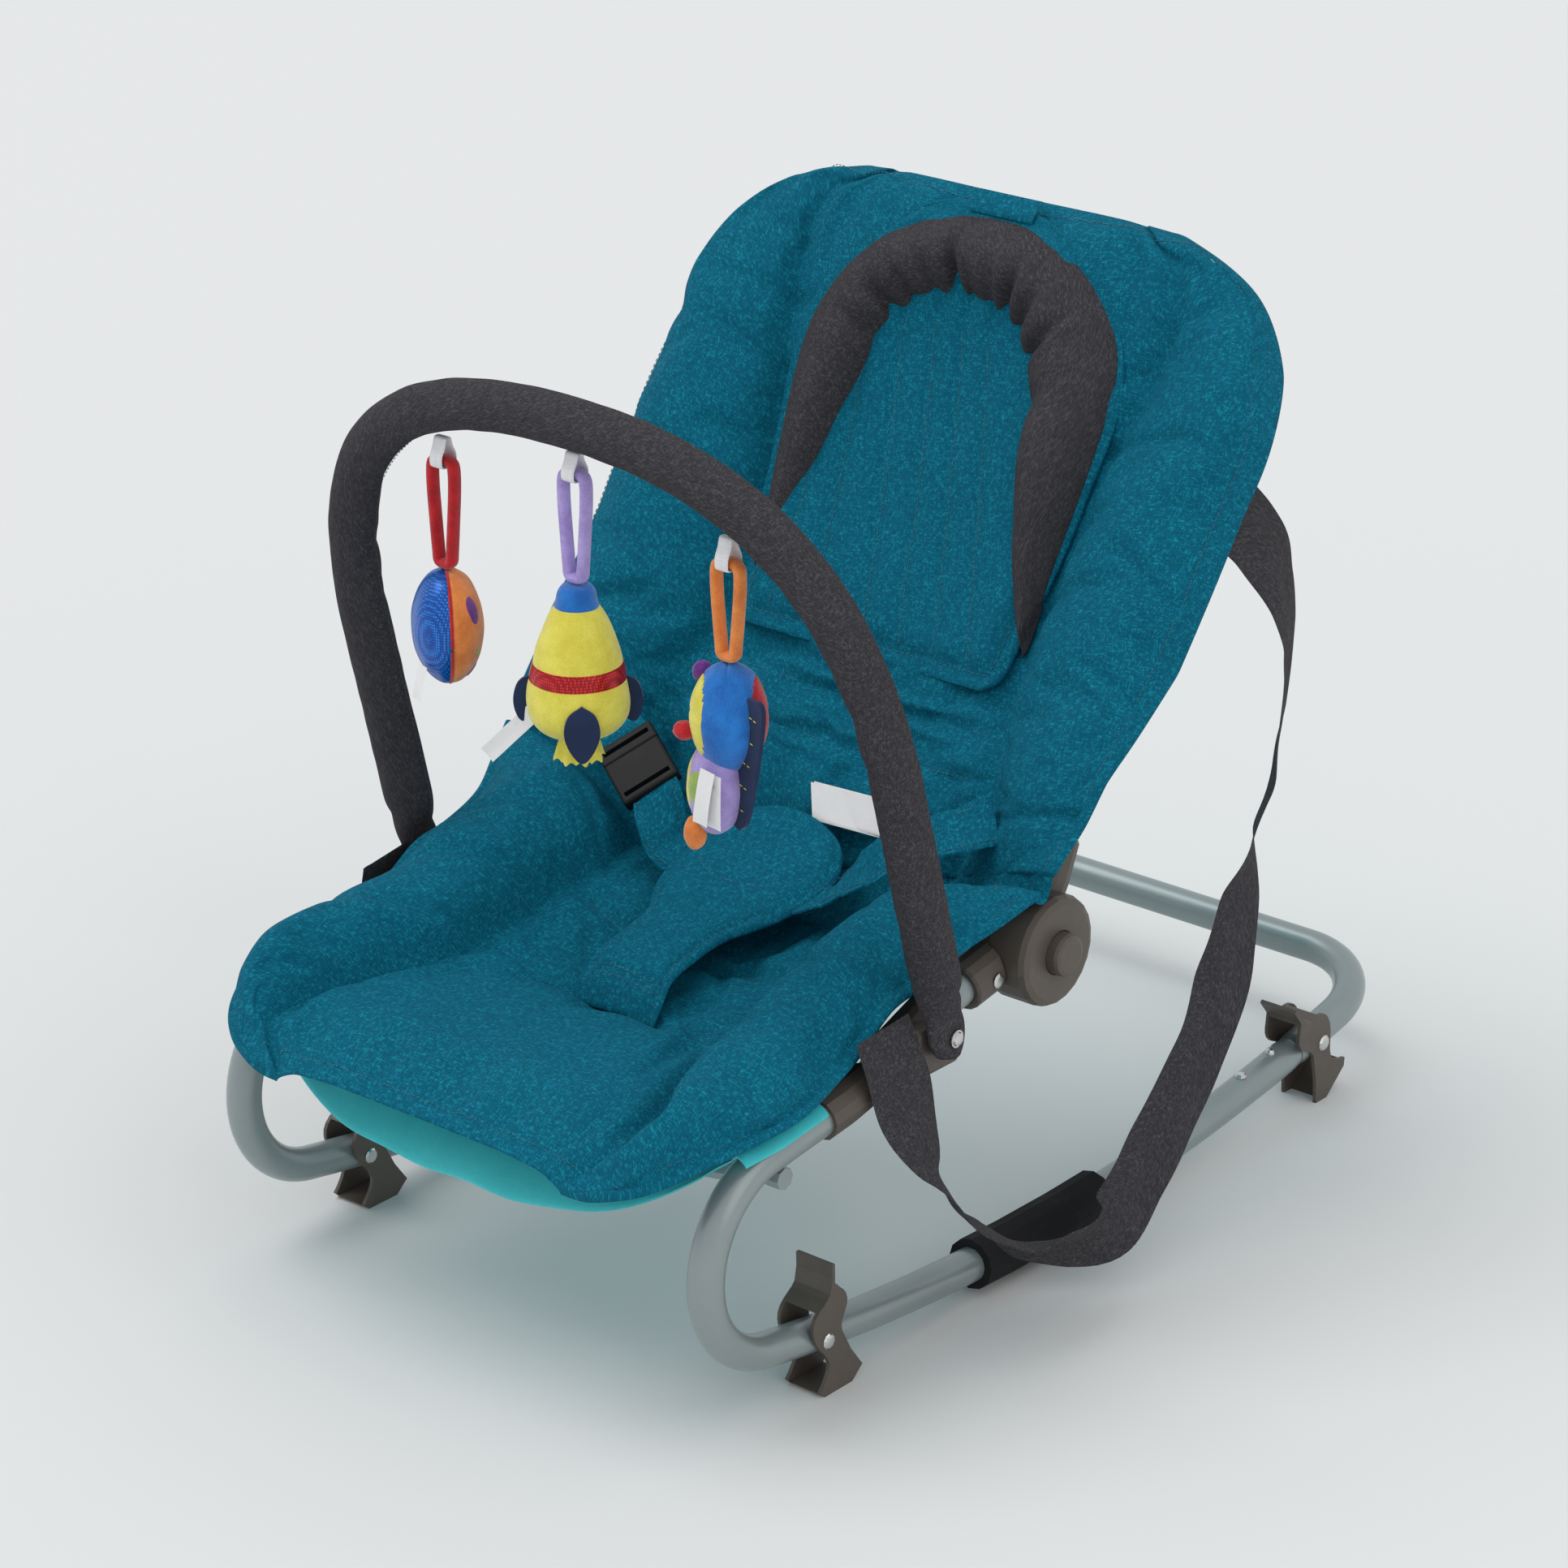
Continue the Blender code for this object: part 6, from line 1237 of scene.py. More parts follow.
def pocket_place(share, along):
    """Round the pocket: its front face, one tube's outer side, the rear face, the other tube's side."""
    up = mix(POCKET_FOOT, POCKET_TOP, 1 - (1 - along) ** 1.25)
    half = POCKET_HALF if up < 0.428 else math.sqrt(max(0.0004 ** 2, POCKET_HALF ** 2 - (up - 0.428) ** 2))
    outer = back_leg(up) + POCKET_HALF
    if up > 0.333:
        outer = 0.117 + math.sqrt(max(1e-6, (0.095 + POCKET_HALF) ** 2 - (up - 0.333) ** 2))
    straight = outer - POCKET_HALF
    spot = share * POCKET_COLUMNS
    if spot <= FACE_COLUMNS:
        x = mix(-straight, straight, spot / FACE_COLUMNS)
        f = min(1.0, abs(x) / straight)
        sag = 0.026 * (1 - f * f) * fade(0.400 - up, 0.06) ** 0.7
        out = min(half - sag, back_height(x, up) - 0.0135) if f < 0.86 else half - sag
        return back_point(x, up, min(out, half))
    if spot <= FACE_COLUMNS + SIDE_COLUMNS:
        angle = math.pi / 2 - math.pi * (spot - FACE_COLUMNS) / SIDE_COLUMNS
        return back_point(straight + POCKET_HALF * math.cos(angle), up, half * math.sin(angle))
    if spot <= 2 * FACE_COLUMNS + SIDE_COLUMNS:
        f = (spot - FACE_COLUMNS - SIDE_COLUMNS) / FACE_COLUMNS
        x = mix(straight, -straight, f)
        slack = 0.0035 * math.sin(math.pi * f) * math.sin(math.pi * along)
        wave = 0.0012 * noise.noise(Vector((x * 14.0, up * 9.0, 4.0)))
        front = min(half, back_height(x, up) - 0.0135) - 0.003
        return back_point(x, up, min(-half - slack + wave, front) if abs(x) < 0.15 else -half - slack)
    angle = -math.pi / 2 - math.pi * (spot - 2 * FACE_COLUMNS - SIDE_COLUMNS) / SIDE_COLUMNS
    return back_point(-straight + POCKET_HALF * math.cos(angle), up, half * math.sin(angle))


work = cloth_grid(POCKET_COLUMNS, POCKET_ROWS, pocket_place)
back_lining = finished("back_lining", sewn_shut(work), TURQUOISE, "backrest")
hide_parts("back_sling")
print("linings ready")

# %% [markdown]
# ## The head cushion
# The cushion is a thin quilted insert with a bound rim, and a stuffed grey band sewn into that rim, bent
# round the top like a horseshoe. The band is straight cloth forced round a bend, so its inner edge is too
# long and gathers into deep puckers. Those puckers are radial folds in its cross-section.

# %% The quilted insert
INSERT_STATIONS = (
    # up, half width
    (0.137, 0.094), (0.145, 0.105), (0.179, 0.111), (0.227, 0.119), (0.275, 0.124), (0.317, 0.128),
    (0.350, 0.123), (0.375, 0.111), (0.406, 0.083), (0.424, 0.051), (0.431, 0.028),
)
INSERT_COLUMNS, INSERT_ROWS = 72, 84
CHANNELS = (
    # place across at the insert's foot, place across at the channel's upper end
    (-0.080, -0.083), (-0.046, -0.072), (-0.005, -0.047), (0.0236, -0.0218), (0.052, 0.000), (0.0803, 0.021),
)


def insert_spot(share, along):
    up = mix(0.137, 0.431, along)
    half = through(INSERT_STATIONS, up)[0]
    return (share - 0.5) * 2 * half, up, half


def insert_out(x, up, half):
    """Face of the insert: puffed between its stitched channels, flat at its bound rim."""
    inside = min(half - abs(x), up - 0.137, 0.431 - up)
    puff = 0.0085
    for low, high in CHANNELS:
        line = mix(low, high, fade(up - 0.147, 0.197))
        puff = min(puff, 0.0060 + 0.0025 * (1 - math.exp(-((x - line) / 0.0055) ** 2)))
    puff = mix(0.0024, puff, fade(inside - 0.009, 0.010))
    binding = 0.0008 * math.sin(math.pi * min(1.0, inside / 0.009)) if inside < 0.009 else 0.0
    crumple = 0.0016 * noise.noise(Vector((x * 22.0, up * 9.0, 2.0))) * fade(inside - 0.012, 0.02)
    return back_height(x, up) + 0.0020 + puff + binding + crumple


def insert_upper(share, along):
    x, up, half = insert_spot(share, along)
    return back_point(x, up, insert_out(x, up, half))


def insert_lower(share, along):
    x, up, _ = insert_spot(share, along)
    return back_point(x, up, back_height(x, up) + 0.0006)


work = doubled_grid(INSERT_COLUMNS, INSERT_ROWS, insert_upper, insert_lower)
insert = subdivided(finished("head_insert_cloth", work, TEAL, "backrest"))
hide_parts("head_insert")
print("insert:", len(insert.data.polygons), "faces")


# %% The insert's rows of stitches
def on_insert(x, up):
    half = through(INSERT_STATIONS, up)[0]
    return back_point(x, up, insert_out(x, up, half) + 0.0002)


rows = []
rim_line = [on_insert(-through(INSERT_STATIONS, up)[0] + 0.0095, up) for up in
            [mix(0.415, 0.150, i / 60) for i in range(61)]]
foot_half = through(INSERT_STATIONS, 0.147)[0] - 0.0095
rim_line += [on_insert(mix(-foot_half, foot_half, i / 50), 0.1470) for i in range(1, 51)]
rim_line += [on_insert(through(INSERT_STATIONS, up)[0] - 0.0095, up) for up in
             [mix(0.150, 0.415, i / 60) for i in range(61)]]
rows.append(lifted(rim_line, BACK_OUT))
for low, high in CHANNELS:
    heights = [mix(0.150, 0.352, i / 40) for i in range(41)]
    line = [on_insert(mix(low, high, fade(up - 0.147, 0.197)), up) for up in heights]
    rows.append(lifted(line, BACK_OUT))
print("insert stitches:", stitch_rows("insert_stitches", rows, "backrest")[1], "faces")

# %% The gathered grey band round the head
BAND_OUTER = (
    # x, up, along the outer edge from the left tip over the top to the right tip
    (-0.104, 0.176), (-0.1075, 0.205), (-0.1125, 0.232), (-0.1160, 0.262), (-0.1185, 0.292),
    (-0.1195, 0.318), (-0.1170, 0.343), (-0.1075, 0.3645), (-0.0930, 0.3830), (-0.0740, 0.3990),
    (-0.0520, 0.4110), (-0.0270, 0.4185), (0.000, 0.4215), (0.0260, 0.4205), (0.0500, 0.4155),
    (0.0720, 0.4060), (0.0910, 0.3925), (0.1060, 0.3760), (0.1170, 0.3560), (0.1215, 0.330),
    (0.1210, 0.300), (0.1190, 0.270), (0.1165, 0.240), (0.1150, 0.210), (0.1142, 0.1692),
)
BAND_INNER = (
    (-0.101, 0.172), (-0.0920, 0.205), (-0.0840, 0.235), (-0.0760, 0.262), (-0.0700, 0.292),
    (-0.0660, 0.316), (-0.0620, 0.333), (-0.0560, 0.3450), (-0.0480, 0.3545), (-0.0380, 0.3620),
    (-0.0260, 0.3670), (-0.0130, 0.3695), (0.000, 0.3700), (0.0110, 0.3690), (0.0220, 0.3655),
    (0.0340, 0.3600), (0.0440, 0.3500), (0.0520, 0.3380), (0.0600, 0.3250), (0.0650, 0.308),
    (0.0670, 0.290), (0.0720, 0.268), (0.0800, 0.242), (0.0900, 0.213), (0.1132, 0.1640),
)
PUCKERS = (
    # share along the band, half width as a share, depth of the fold, bite into the inner edge
    (0.315, 0.0120, 0.0110, 0.0060), (0.365, 0.0100, 0.0080, 0.0040), (0.470, 0.0110, 0.0140, 0.0110),
    (0.505, 0.0090, 0.0060, 0.0030), (0.600, 0.0120, 0.0130, 0.0100), (0.648, 0.0110, 0.0100, 0.0060),
    (0.705, 0.0110, 0.0120, 0.0070), (0.250, 0.0130, 0.0050, 0.0020), (0.780, 0.0130, 0.0050, 0.0020),
    (0.560, 0.0120, 0.0060, 0.0030), (0.420, 0.0110, 0.0060, 0.0030),
)
BAND_COLUMNS, BAND_ROWS = 28, 240
outer_rows = [(i / (len(BAND_OUTER) - 1), *spot) for i, spot in enumerate(BAND_OUTER)]
inner_rows = [(i / (len(BAND_INNER) - 1), *spot) for i, spot in enumerate(BAND_INNER)]


print("puckers:", len(PUCKERS))


# %% The band's puffed section
def band_section(share, along):
    """Across, up and rise of the band: share runs from the sewn outer edge to the free inner edge."""
    outer = Vector(through(outer_rows, along))
    inner = Vector(through(inner_rows, along))
    across = inner - outer
    width = across.length
    bite = sum(b * math.exp(-((along - spot) / wide) ** 2) for spot, wide, _, b in PUCKERS)
    inner -= across.normalized() * min(bite, width * 0.35)
    stuffing = min(1.0, width / 0.050)
    rise = 0.0230 * stuffing ** 1.1
    profile = max(0.0, math.sin(math.pi * share ** 1.35)) ** 0.62
    crease = 0.0
    for spot, wide, depth, _ in PUCKERS:
        lean = spot + 0.020 * (1 - share) * (1 if spot < 0.5 else -1)
        crease += depth * math.exp(-((along - lean) / (wide * (0.45 + 0.8 * share))) ** 2) * share ** 1.6
    swell = 0.0016 * noise.noise(Vector((along * 26.0, share * 2.0, 7.0)))
    spot = outer.lerp(inner, share)
    return spot.x, spot.y, max(0.0004, (rise - min(crease, rise * 0.75)) * profile + swell * profile)


def band_base(x, up):
    half = through(INSERT_STATIONS, max(0.1371, min(0.4309, up)))[0]
    return back_height(x, up) + 0.0048 if abs(x) < half else back_height(x, up) + 0.0010


def band_upper(share, along):
    x, up, rise = band_section(share, along)
    return back_point(x, up, band_base(x, up) + rise)


def band_lower(share, along):
    x, up, _ = band_section(share, along)
    return back_point(x, up, band_base(x, up) - 0.0002)


work = doubled_grid(BAND_COLUMNS, BAND_ROWS, band_upper, band_lower)
band = subdivided(finished("head_band_cloth", work, GREY, "backrest"))
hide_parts("head_roll")
print("band:", len(band.data.polygons), "faces")

# %% [markdown]
# ## The hanging loop
# A short tape of the cover's own cloth is sewn flat across the top hem. A small thickened grid is enough.

# %% The little loop at the top of the back
def tab_place(share, along):
    x = mix(-0.0190, 0.0300, share)
    up = mix(0.4230, 0.4380, along)
    return back_point(x, up, back_height(x, min(up, 0.4300)) + 0.0062 - 0.0030 * fade(up - 0.431, 0.007))


work = cloth_grid(24, 8, tab_place)
thickened(work, -0.0014)
finished("back_loop", work, TEAL, "backrest")
print("hanging loop ready")

# %% [markdown]
# ## The lap belt
# The crotch strap rises from the seat and widens into the lap pad. Both are one flat padded piece, with a
# row of stitches inside the edge, a stitched half moon on the pad, and a cross seam where the strap is
# sewn down. The waist straps are folded tubes of the same cloth that go through the buckle's frames.

# %% Crotch strap and lap pad
LAP_STATIONS = (
    # y, middle height, half width, half thickness
    (-0.2035, 0.1765, 0.033, 0.0020), (-0.1975, 0.1870, 0.034, 0.0026), (-0.1855, 0.2005, 0.032, 0.0030),
    (-0.1575, 0.2085, 0.031, 0.0034), (-0.1335, 0.2130, 0.033, 0.0042), (-0.1195, 0.2165, 0.041, 0.0052),
    (-0.1035, 0.2200, 0.049, 0.0060), (-0.0795, 0.2250, 0.055, 0.0066), (-0.0575, 0.2320, 0.056, 0.0066),
    (-0.0435, 0.2400, 0.050, 0.0060), (-0.0335, 0.2460, 0.038, 0.0050), (-0.0285, 0.2490, 0.022, 0.0036),
)
LAP_COLUMNS, LAP_ROWS = 44, 96
LAP_RIM = 0.0055


def lap_face(share, along, side):
    y = mix(LAP_STATIONS[0][0], LAP_STATIONS[-1][0], along)
    middle, half, thick = through(LAP_STATIONS, y)
    x = (share - 0.5) * 2 * half
    f = abs(x) / half
    inside = min(half - abs(x), y - LAP_STATIONS[0][0] + 0.003, LAP_STATIONS[-1][0] - y)
    seam = 0.0018 * math.exp(-((inside - LAP_RIM) / 0.0016) ** 2)
    moon = math.hypot(x / 0.042, (y + 0.060) / 0.036)
    if y < -0.060:
        seam = max(seam, 0.0016 * math.exp(-((moon - 1.0) / 0.045) ** 2))
    swell = thick * (1 - f ** 4) ** 0.5 + 0.0008
    crumple = 0.0012 * noise.noise(Vector((x * 40.0, y * 34.0, 9.0))) * fade(inside - 0.004, 0.012)
    height = middle - 0.004 * f * f + side * (swell - seam) + crumple
    ridge = 0.0022 * math.exp(-((y + 0.1900) / 0.0045) ** 2) if side > 0 else 0.0
    return Vector((x, y, height - ridge))


work = doubled_grid(LAP_COLUMNS, LAP_ROWS, lambda s, a: lap_face(s, a, 1), lambda s, a: lap_face(s, a, -1))
lap = subdivided(finished("lap_pad_cloth", work, TEAL, "rocker_frame"))
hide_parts("crotch_piece")


def on_lap(x, y):
    half = through(LAP_STATIONS, y)[1]
    share = 0.5 + x / half / 2
    along = (y - LAP_STATIONS[0][0]) / (LAP_STATIONS[-1][0] - LAP_STATIONS[0][0])
    return lap_face(share, along, 1)


ups = (0.0, -0.25, 0.97)
edge_places = [mix(-0.198, -0.0345, i / 60) for i in range(61)]
left_edge = [on_lap(-through(LAP_STATIONS, y)[1] + LAP_RIM, y) for y in edge_places]
right_edge = [Vector((-p.x, p.y, p.z)) for p in reversed(left_edge)]
moon_line = [on_lap(0.042 * math.cos(a), -0.060 + 0.036 * math.sin(a)) for a in
             [math.pi + math.pi * i / 40 for i in range(41)]]
cross = [[on_lap(mix(-0.026, 0.026, i / 16), y) for i in range(17)] for y in (-0.1935, -0.1895)]
rows = [lifted(line, ups) for line in (left_edge, right_edge, moon_line, *cross)]
print("lap stitches:", stitch_rows("lap_stitches", rows, "rocker_frame")[1], "faces")

# %% [markdown]
# ## The waist straps
# Each strap comes out of the back beside the hip and goes to the lap pad, the left one through the buckle.
# They use the carry straps' ribbon, with thread along both edges. The straps bend with the recline, so their
# stitches are in the same mesh as the cloth.

# %% Waist straps
WAIST_WIDTH = 0.032
BUCKLE_FROM = Vector((-0.136, -0.0435, 0.278))
BUCKLE_TO = Vector((-0.068, -0.0735, 0.244))
buckle_along = (BUCKLE_TO - BUCKLE_FROM).normalized()
buckle_up = Vector((0.0, -0.6, 0.8))
buckle_up = (buckle_up - buckle_along * buckle_up.dot(buckle_along)).normalized()
buckle_wide = buckle_up.cross(buckle_along)
plug_start = BUCKLE_FROM + buckle_along * 0.012
socket_end = plug_start + buckle_along * 0.0486
LAP_EDGE = Vector((-0.0592, -0.0790, 0.2222))
LAP_NEAR = LAP_EDGE + Vector((-0.0060, 0.0, 0.0060))
LAP_WAY = Vector((0.05, 0.96, 0.24))


def mirrored(spot):
    return Vector((-spot.x, spot.y, spot.z))


sewn = back_point(0.158, 0.062, back_height(0.158, 0.062) + 0.0064)


def waist_strap(name, knots, body, steps=70, seed=0.0):
    """A waist strap, its two long edges topstitched."""
    knots = [(*spot, *wide) for spot, wide in knots]
    work, path = ribbon(knots, WAIST_WIDTH, 0.0030, steps, columns=16, wave=0.0030, seed=seed)
    frames = ribbon_frames(run_through(knots, steps + 1))
    cloth_faces = set(work.faces)
    for side in (-1, 1):
        points = [spot + wide * side * (WAIST_WIDTH / 2 - 0.004) for spot, wide, _ in frames]
        for face in (-1, 1):
            normals = [up * face for _, _, up in frames]
            stitches(work, [p + n * 0.0019 for p, n in zip(points, normals)], normals)
    for face in work.faces:
        face.material_index = 0 if face in cloth_faces else 1
    made = finished(name, work, TEAL, body)
    made.data.materials.append(THREAD)
    print(name, round(sum((b - a).length for a, b in zip(path, path[1:])), 3), "m")
    return made


left = waist_strap("waist_strap_cloth_left", [
    (mirrored(sewn), BACK_UP), (plug_start - buckle_along * 0.014, buckle_wide),
    (plug_start + buckle_along * 0.0015, buckle_wide)], None, 40, 2.0)
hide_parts("waist_strap_left")
tab = waist_strap("waist_tab_cloth", [
    (socket_end - buckle_along * 0.0015, buckle_wide), (socket_end + buckle_along * 0.006, buckle_wide),
    (LAP_NEAR, LAP_WAY), (LAP_EDGE + Vector((0.008, 0.0, -0.001)), LAP_WAY)], "rocker_frame", 24, 5.0)
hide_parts("waist_tab")
right = waist_strap("waist_strap_cloth_right", [
    (sewn, BACK_UP), (mirrored(BUCKLE_FROM), mirrored(buckle_wide)),
    (mirrored((BUCKLE_FROM + BUCKLE_TO) / 2), mirrored(buckle_wide)), (mirrored(LAP_NEAR), mirrored(LAP_WAY)),
    (mirrored(LAP_EDGE) + Vector((-0.008, 0.0, -0.001)), mirrored(LAP_WAY))], None, 90, 8.0)
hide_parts("waist_strap_right")
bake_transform(right, "rocker_frame", "backrest", start=(0.0705, -0.079, 0.22), end=(0.158, -0.04, 0.28))
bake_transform(left, "backrest", "rocker_frame", start=tuple(mirrored(sewn)), end=tuple(plug_start))

print("waist straps ready")

# %% [markdown]
# ## Tags and labels
# A tag is a strip of satin sewn in at one end, so it curls away from there. One helper makes them all: a
# grid from a corner along two directions, lifted more and more towards its free end.

# %% A bare tag from its corner and two directions
def label(name, corner, side_way, down_way, size, curl, body):
    side_way, down_way = Vector(side_way).normalized(), Vector(down_way).normalized()
    lift = side_way.cross(down_way).normalized()

    def place(share, along):
        spot = Vector(corner) + side_way * size[0] * share + down_way * size[1] * along
        return spot + lift * curl * (along ** 2 + 0.25 * math.sin(math.pi * share) * along)

    work = cloth_grid(10, 20, place)
    thickened(work, 0.0003)
    made = finished(name, work, LABEL, body)
    return made


print("tag helper ready")

# %% [markdown]
# ## The toy bar's cover
# The bar is a thin tube in a padded sleeve of the grey cloth, closed by a seam along its inner side. Where
# the sleeve turns at the two corners its cloth crumples, and at its feet it is gathered flat round the
# bolts. The sleeve is a tube of many rings laid along the bar's run.

# %% The sleeve's run and its wrinkles
BAR_PIVOT = Vector((0.0, -0.1455, 0.204))
BAR_LEAN = math.radians(15.0)
BAR_RADIUS = 0.0153
SLEEVE_SIDES, SLEEVE_RINGS = 32, 280


def bar_point(x, up, out=0.0):
    """A point of the toy bar: across, up its plane, out of it to the front."""
    y = -up * math.sin(BAR_LEAN) - out * math.cos(BAR_LEAN)
    z = up * math.cos(BAR_LEAN) - out * math.sin(BAR_LEAN)
    return BAR_PIVOT + Vector((x, y, z))


def bar_half_run():
    """Knots (x, up, half thickness, half width) from the right foot to the middle of the arch."""
    knots = []
    for share in (1, 0.94, 0.7, 0):
        half_width = max(0.003, math.sqrt(1 - share * share) * BAR_RADIUS)
        knots.append((0.2125, -BAR_RADIUS * share, 0.0062, half_width))
    for up, f in ((0.012, 0.05), (0.026, 0.5), (0.045, 1.0), (0.100, 1.0), (0.160, 1.0)):
        knots.append((0.2125 - 0.0025 * up / 0.160, up, mix(0.0062, BAR_RADIUS, f), BAR_RADIUS))
    for i in range(1, 17):
        t = i / 16
        shares = ((1 - t) ** 3, 3 * (1 - t) ** 2 * t, 3 * (1 - t) * t * t, t ** 3)
        x = sum(a * b for a, b in zip(shares, (0.210, 0.210, 0.145, 0.0)))
        up = sum(a * b for a, b in zip(shares, (0.160, 0.305, 0.371, 0.371)))
        knots.append((x, up, BAR_RADIUS, BAR_RADIUS))
    return knots


half_run = bar_half_run()
bar_knots = half_run + [(-x, up, a, b) for x, up, a, b in reversed(half_run[:-1])]
bar_spots = run_through([(x, up, 0.0, a, b) for x, up, a, b in bar_knots], SLEEVE_RINGS + 1)
# share of the run, angle round the sleeve in degrees, half length as a share, depth, slant
SLEEVE_FOLDS = (
    (0.205, 170, 0.0060, 0.0016, 0.020), (0.222, 200, 0.0060, 0.0018, -0.016),
    (0.240, 160, 0.0065, 0.0018, 0.018), (0.262, 190, 0.0060, 0.0014, -0.020),
    (0.745, 170, 0.0060, 0.0016, 0.020), (0.762, 195, 0.0060, 0.0018, -0.018),
    (0.780, 165, 0.0065, 0.0016, 0.016), (0.800, 190, 0.0060, 0.0014, -0.014),
    (0.300, 175, 0.0070, 0.0010, 0.012), (0.700, 180, 0.0070, 0.0010, -0.012),
    (0.030, 20, 0.0035, 0.0022, 0.010), (0.040, 330, 0.0035, 0.0020, -0.012),
    (0.050, 45, 0.0040, 0.0016, 0.010), (0.970, 20, 0.0035, 0.0022, 0.010),
    (0.960, 330, 0.0035, 0.0020, -0.012), (0.950, 45, 0.0040, 0.0016, 0.010),
    (0.035, 200, 0.0035, 0.0018, 0.010), (0.965, 200, 0.0035, 0.0018, 0.010),
)


print("the sleeve runs through", len(bar_spots), "rings")


# %% Roll the sleeve up and stitch it
def sleeve_place(share, along):
    i = round(along * SLEEVE_RINGS)
    x, up, _, a, b = bar_spots[i]
    before, after = bar_spots[max(i - 1, 0)], bar_spots[min(i + 1, SLEEVE_RINGS)]
    way = Vector((after[0] - before[0], after[1] - before[1])).normalized()
    normal = Vector((way.y, -way.x))
    angle = math.tau * share
    degrees = math.degrees(angle)
    depth = 0.0
    for spot, centre, wide, deep, slant in SLEEVE_FOLDS:
        turn = (degrees - centre + 180) % 360 - 180
        away = (along - spot - slant * turn / 180) / wide
        depth += deep * math.exp(-away * away) * math.exp(-(turn / 75) ** 2)
    seam = (degrees - 205 + 180) % 360 - 180
    depth += 0.0007 * math.exp(-(seam / 5.0) ** 2)
    soft = 0.0005 * noise.noise(Vector((along * 60.0, math.cos(angle) * 1.6, math.sin(angle) * 1.6)))
    a = max(0.002, a - depth + soft)
    b = max(0.002, b - depth + soft)
    flat = normal * a * math.cos(angle)
    return bar_point(x + flat.x, up + flat.y, b * math.sin(angle))


work = cloth_grid(SLEEVE_SIDES, SLEEVE_RINGS, sleeve_place)
sleeve = subdivided(finished("bar_sleeve_cloth", sewn_shut(work, 40), GREY, "toy_bar"))
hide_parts("bar_sleeve")
seam_points, seam_ups = [], []
for j in range(12, SLEEVE_RINGS - 11):
    angle_share = 196 / 360
    spot = sleeve_place(angle_share, j / SLEEVE_RINGS)
    x, up = bar_spots[j][:2]
    seam_points.append(spot)
    seam_ups.append((spot - bar_point(x, up)).normalized())
stitch_rows("bar_stitches", [(seam_points, seam_ups)], "toy_bar", GREY_THREAD)
print("bar sleeve ready")

# %% [markdown]
# ## The toys
# Each toy hangs on a loop of plush band from a ribbed white tape that is sewn under the bar. The toys are
# small stuffed shapes in several colours of plush, so each panel is its own piece of cloth with a seam
# groove round it. Tags and felt parts are thin sheets.

# %% Tapes and plush loops
TOYS = (
    # name, where it hangs from the bar, drop to the loop, loop length, body length, colour of the loop
    ("ball", (-0.095, -0.23818, 0.53116), 0.01116, 0.071, 0.071, RED),
    ("rocket", (0.012, -0.24148, 0.54581), 0.00981, 0.070, 0.108, LILAC),
    ("plush", (0.122, -0.23529, 0.51809), 0.01209, 0.063, 0.115, ORANGE),
)


def closed_band(run, wide, width, thick, sides=12, steps=96):
    """A closed loop of rounded band: the run's points, the direction of its width."""
    spots = run_through([*run, run[0]], steps + 1)
    spots[-1] = spots[0]
    wide = Vector(wide)

    def place(share, along):
        i = round(along * steps) % steps
        here = Vector(spots[i])
        way = (Vector(spots[(i + 1) % steps]) - Vector(spots[i - 1])).normalized()
        out = way.cross(wide).normalized()
        angle = math.tau * share
        power = 0.55 if thick < 0.002 else 0.8
        a = math.copysign(abs(math.cos(angle)) ** power, math.cos(angle)) * width / 2
        b = math.copysign(abs(math.sin(angle)) ** power, math.sin(angle)) * thick / 2
        return here + wide * a + out * b

    work = cloth_grid(sides, steps, place)
    return sewn_shut(work)


def whole_loop(half_run, centre, axis):
    """A closed run from its right half of (across, height) pairs."""
    places = list(half_run) + [(-across, z) for across, z in reversed(half_run[1:-1])]
    run = []
    for across, z in places:
        spot = Vector((centre[0], centre[1], z))
        spot[axis] += across
        run.append(tuple(spot))
    return run


toy_spans = {}
for name, hang, drop_to_loop, loop_length, body_length, colour in TOYS:
    hang = Vector(hang)
    body = f"{name}_hanging"
    loop_top = hang.z - drop_to_loop
    body_top = loop_top - loop_length
    toy_spans[name] = (Vector((hang.x, hang.y, 0.0)), body_top - 0.0003, body_top - body_length)
    high = hang.z - 0.0006
    crest = loop_top - 0.0003 - 0.0028
    low = crest - 0.0028 - 0.0006 - 0.0006
    span = high - low
    tape = [(0.0, high), (0.0020, high - span * 0.03), (0.0034, high - span * 0.30),
            (0.0060, high - span * 0.62), (0.0060, low + 0.0018), (0.0044, low), (0.0, low)]
    work = closed_band(whole_loop(tape, hang, 1), (1, 0, 0), 0.0100, 0.0012)
    made = finished(f"{name}_tape", work, WHITE_TAPE, body)
    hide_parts(f"{name}_webbing")
    foot = body_top + 0.0003 + 0.0028
    drop = crest - foot
    loop = [(0.0, crest), (0.0056, crest - 0.0006), (0.0084, crest - 0.0042), (0.0086, crest - drop * 0.28),
            (0.0070, crest - drop * 0.62), (0.0056, foot + 0.008), (0.0046, foot + 0.0008), (0.0, foot)]
    work = closed_band(whole_loop(loop, hang, 0), (0, 1, 0), 0.0088, 0.0062, 16)
    made = subdivided(finished(f"{name}_plush_loop", work, colour, body))
    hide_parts(f"{name}_loop")
print("toy loops ready")


# %% Stuffed shapes in panels
STUFFING_LUMPS = 0.0006
SPHERE_RINGS = {24: 16, 32: 24, 64: 48, 80: 64}


def one_panel(way):
    return 0


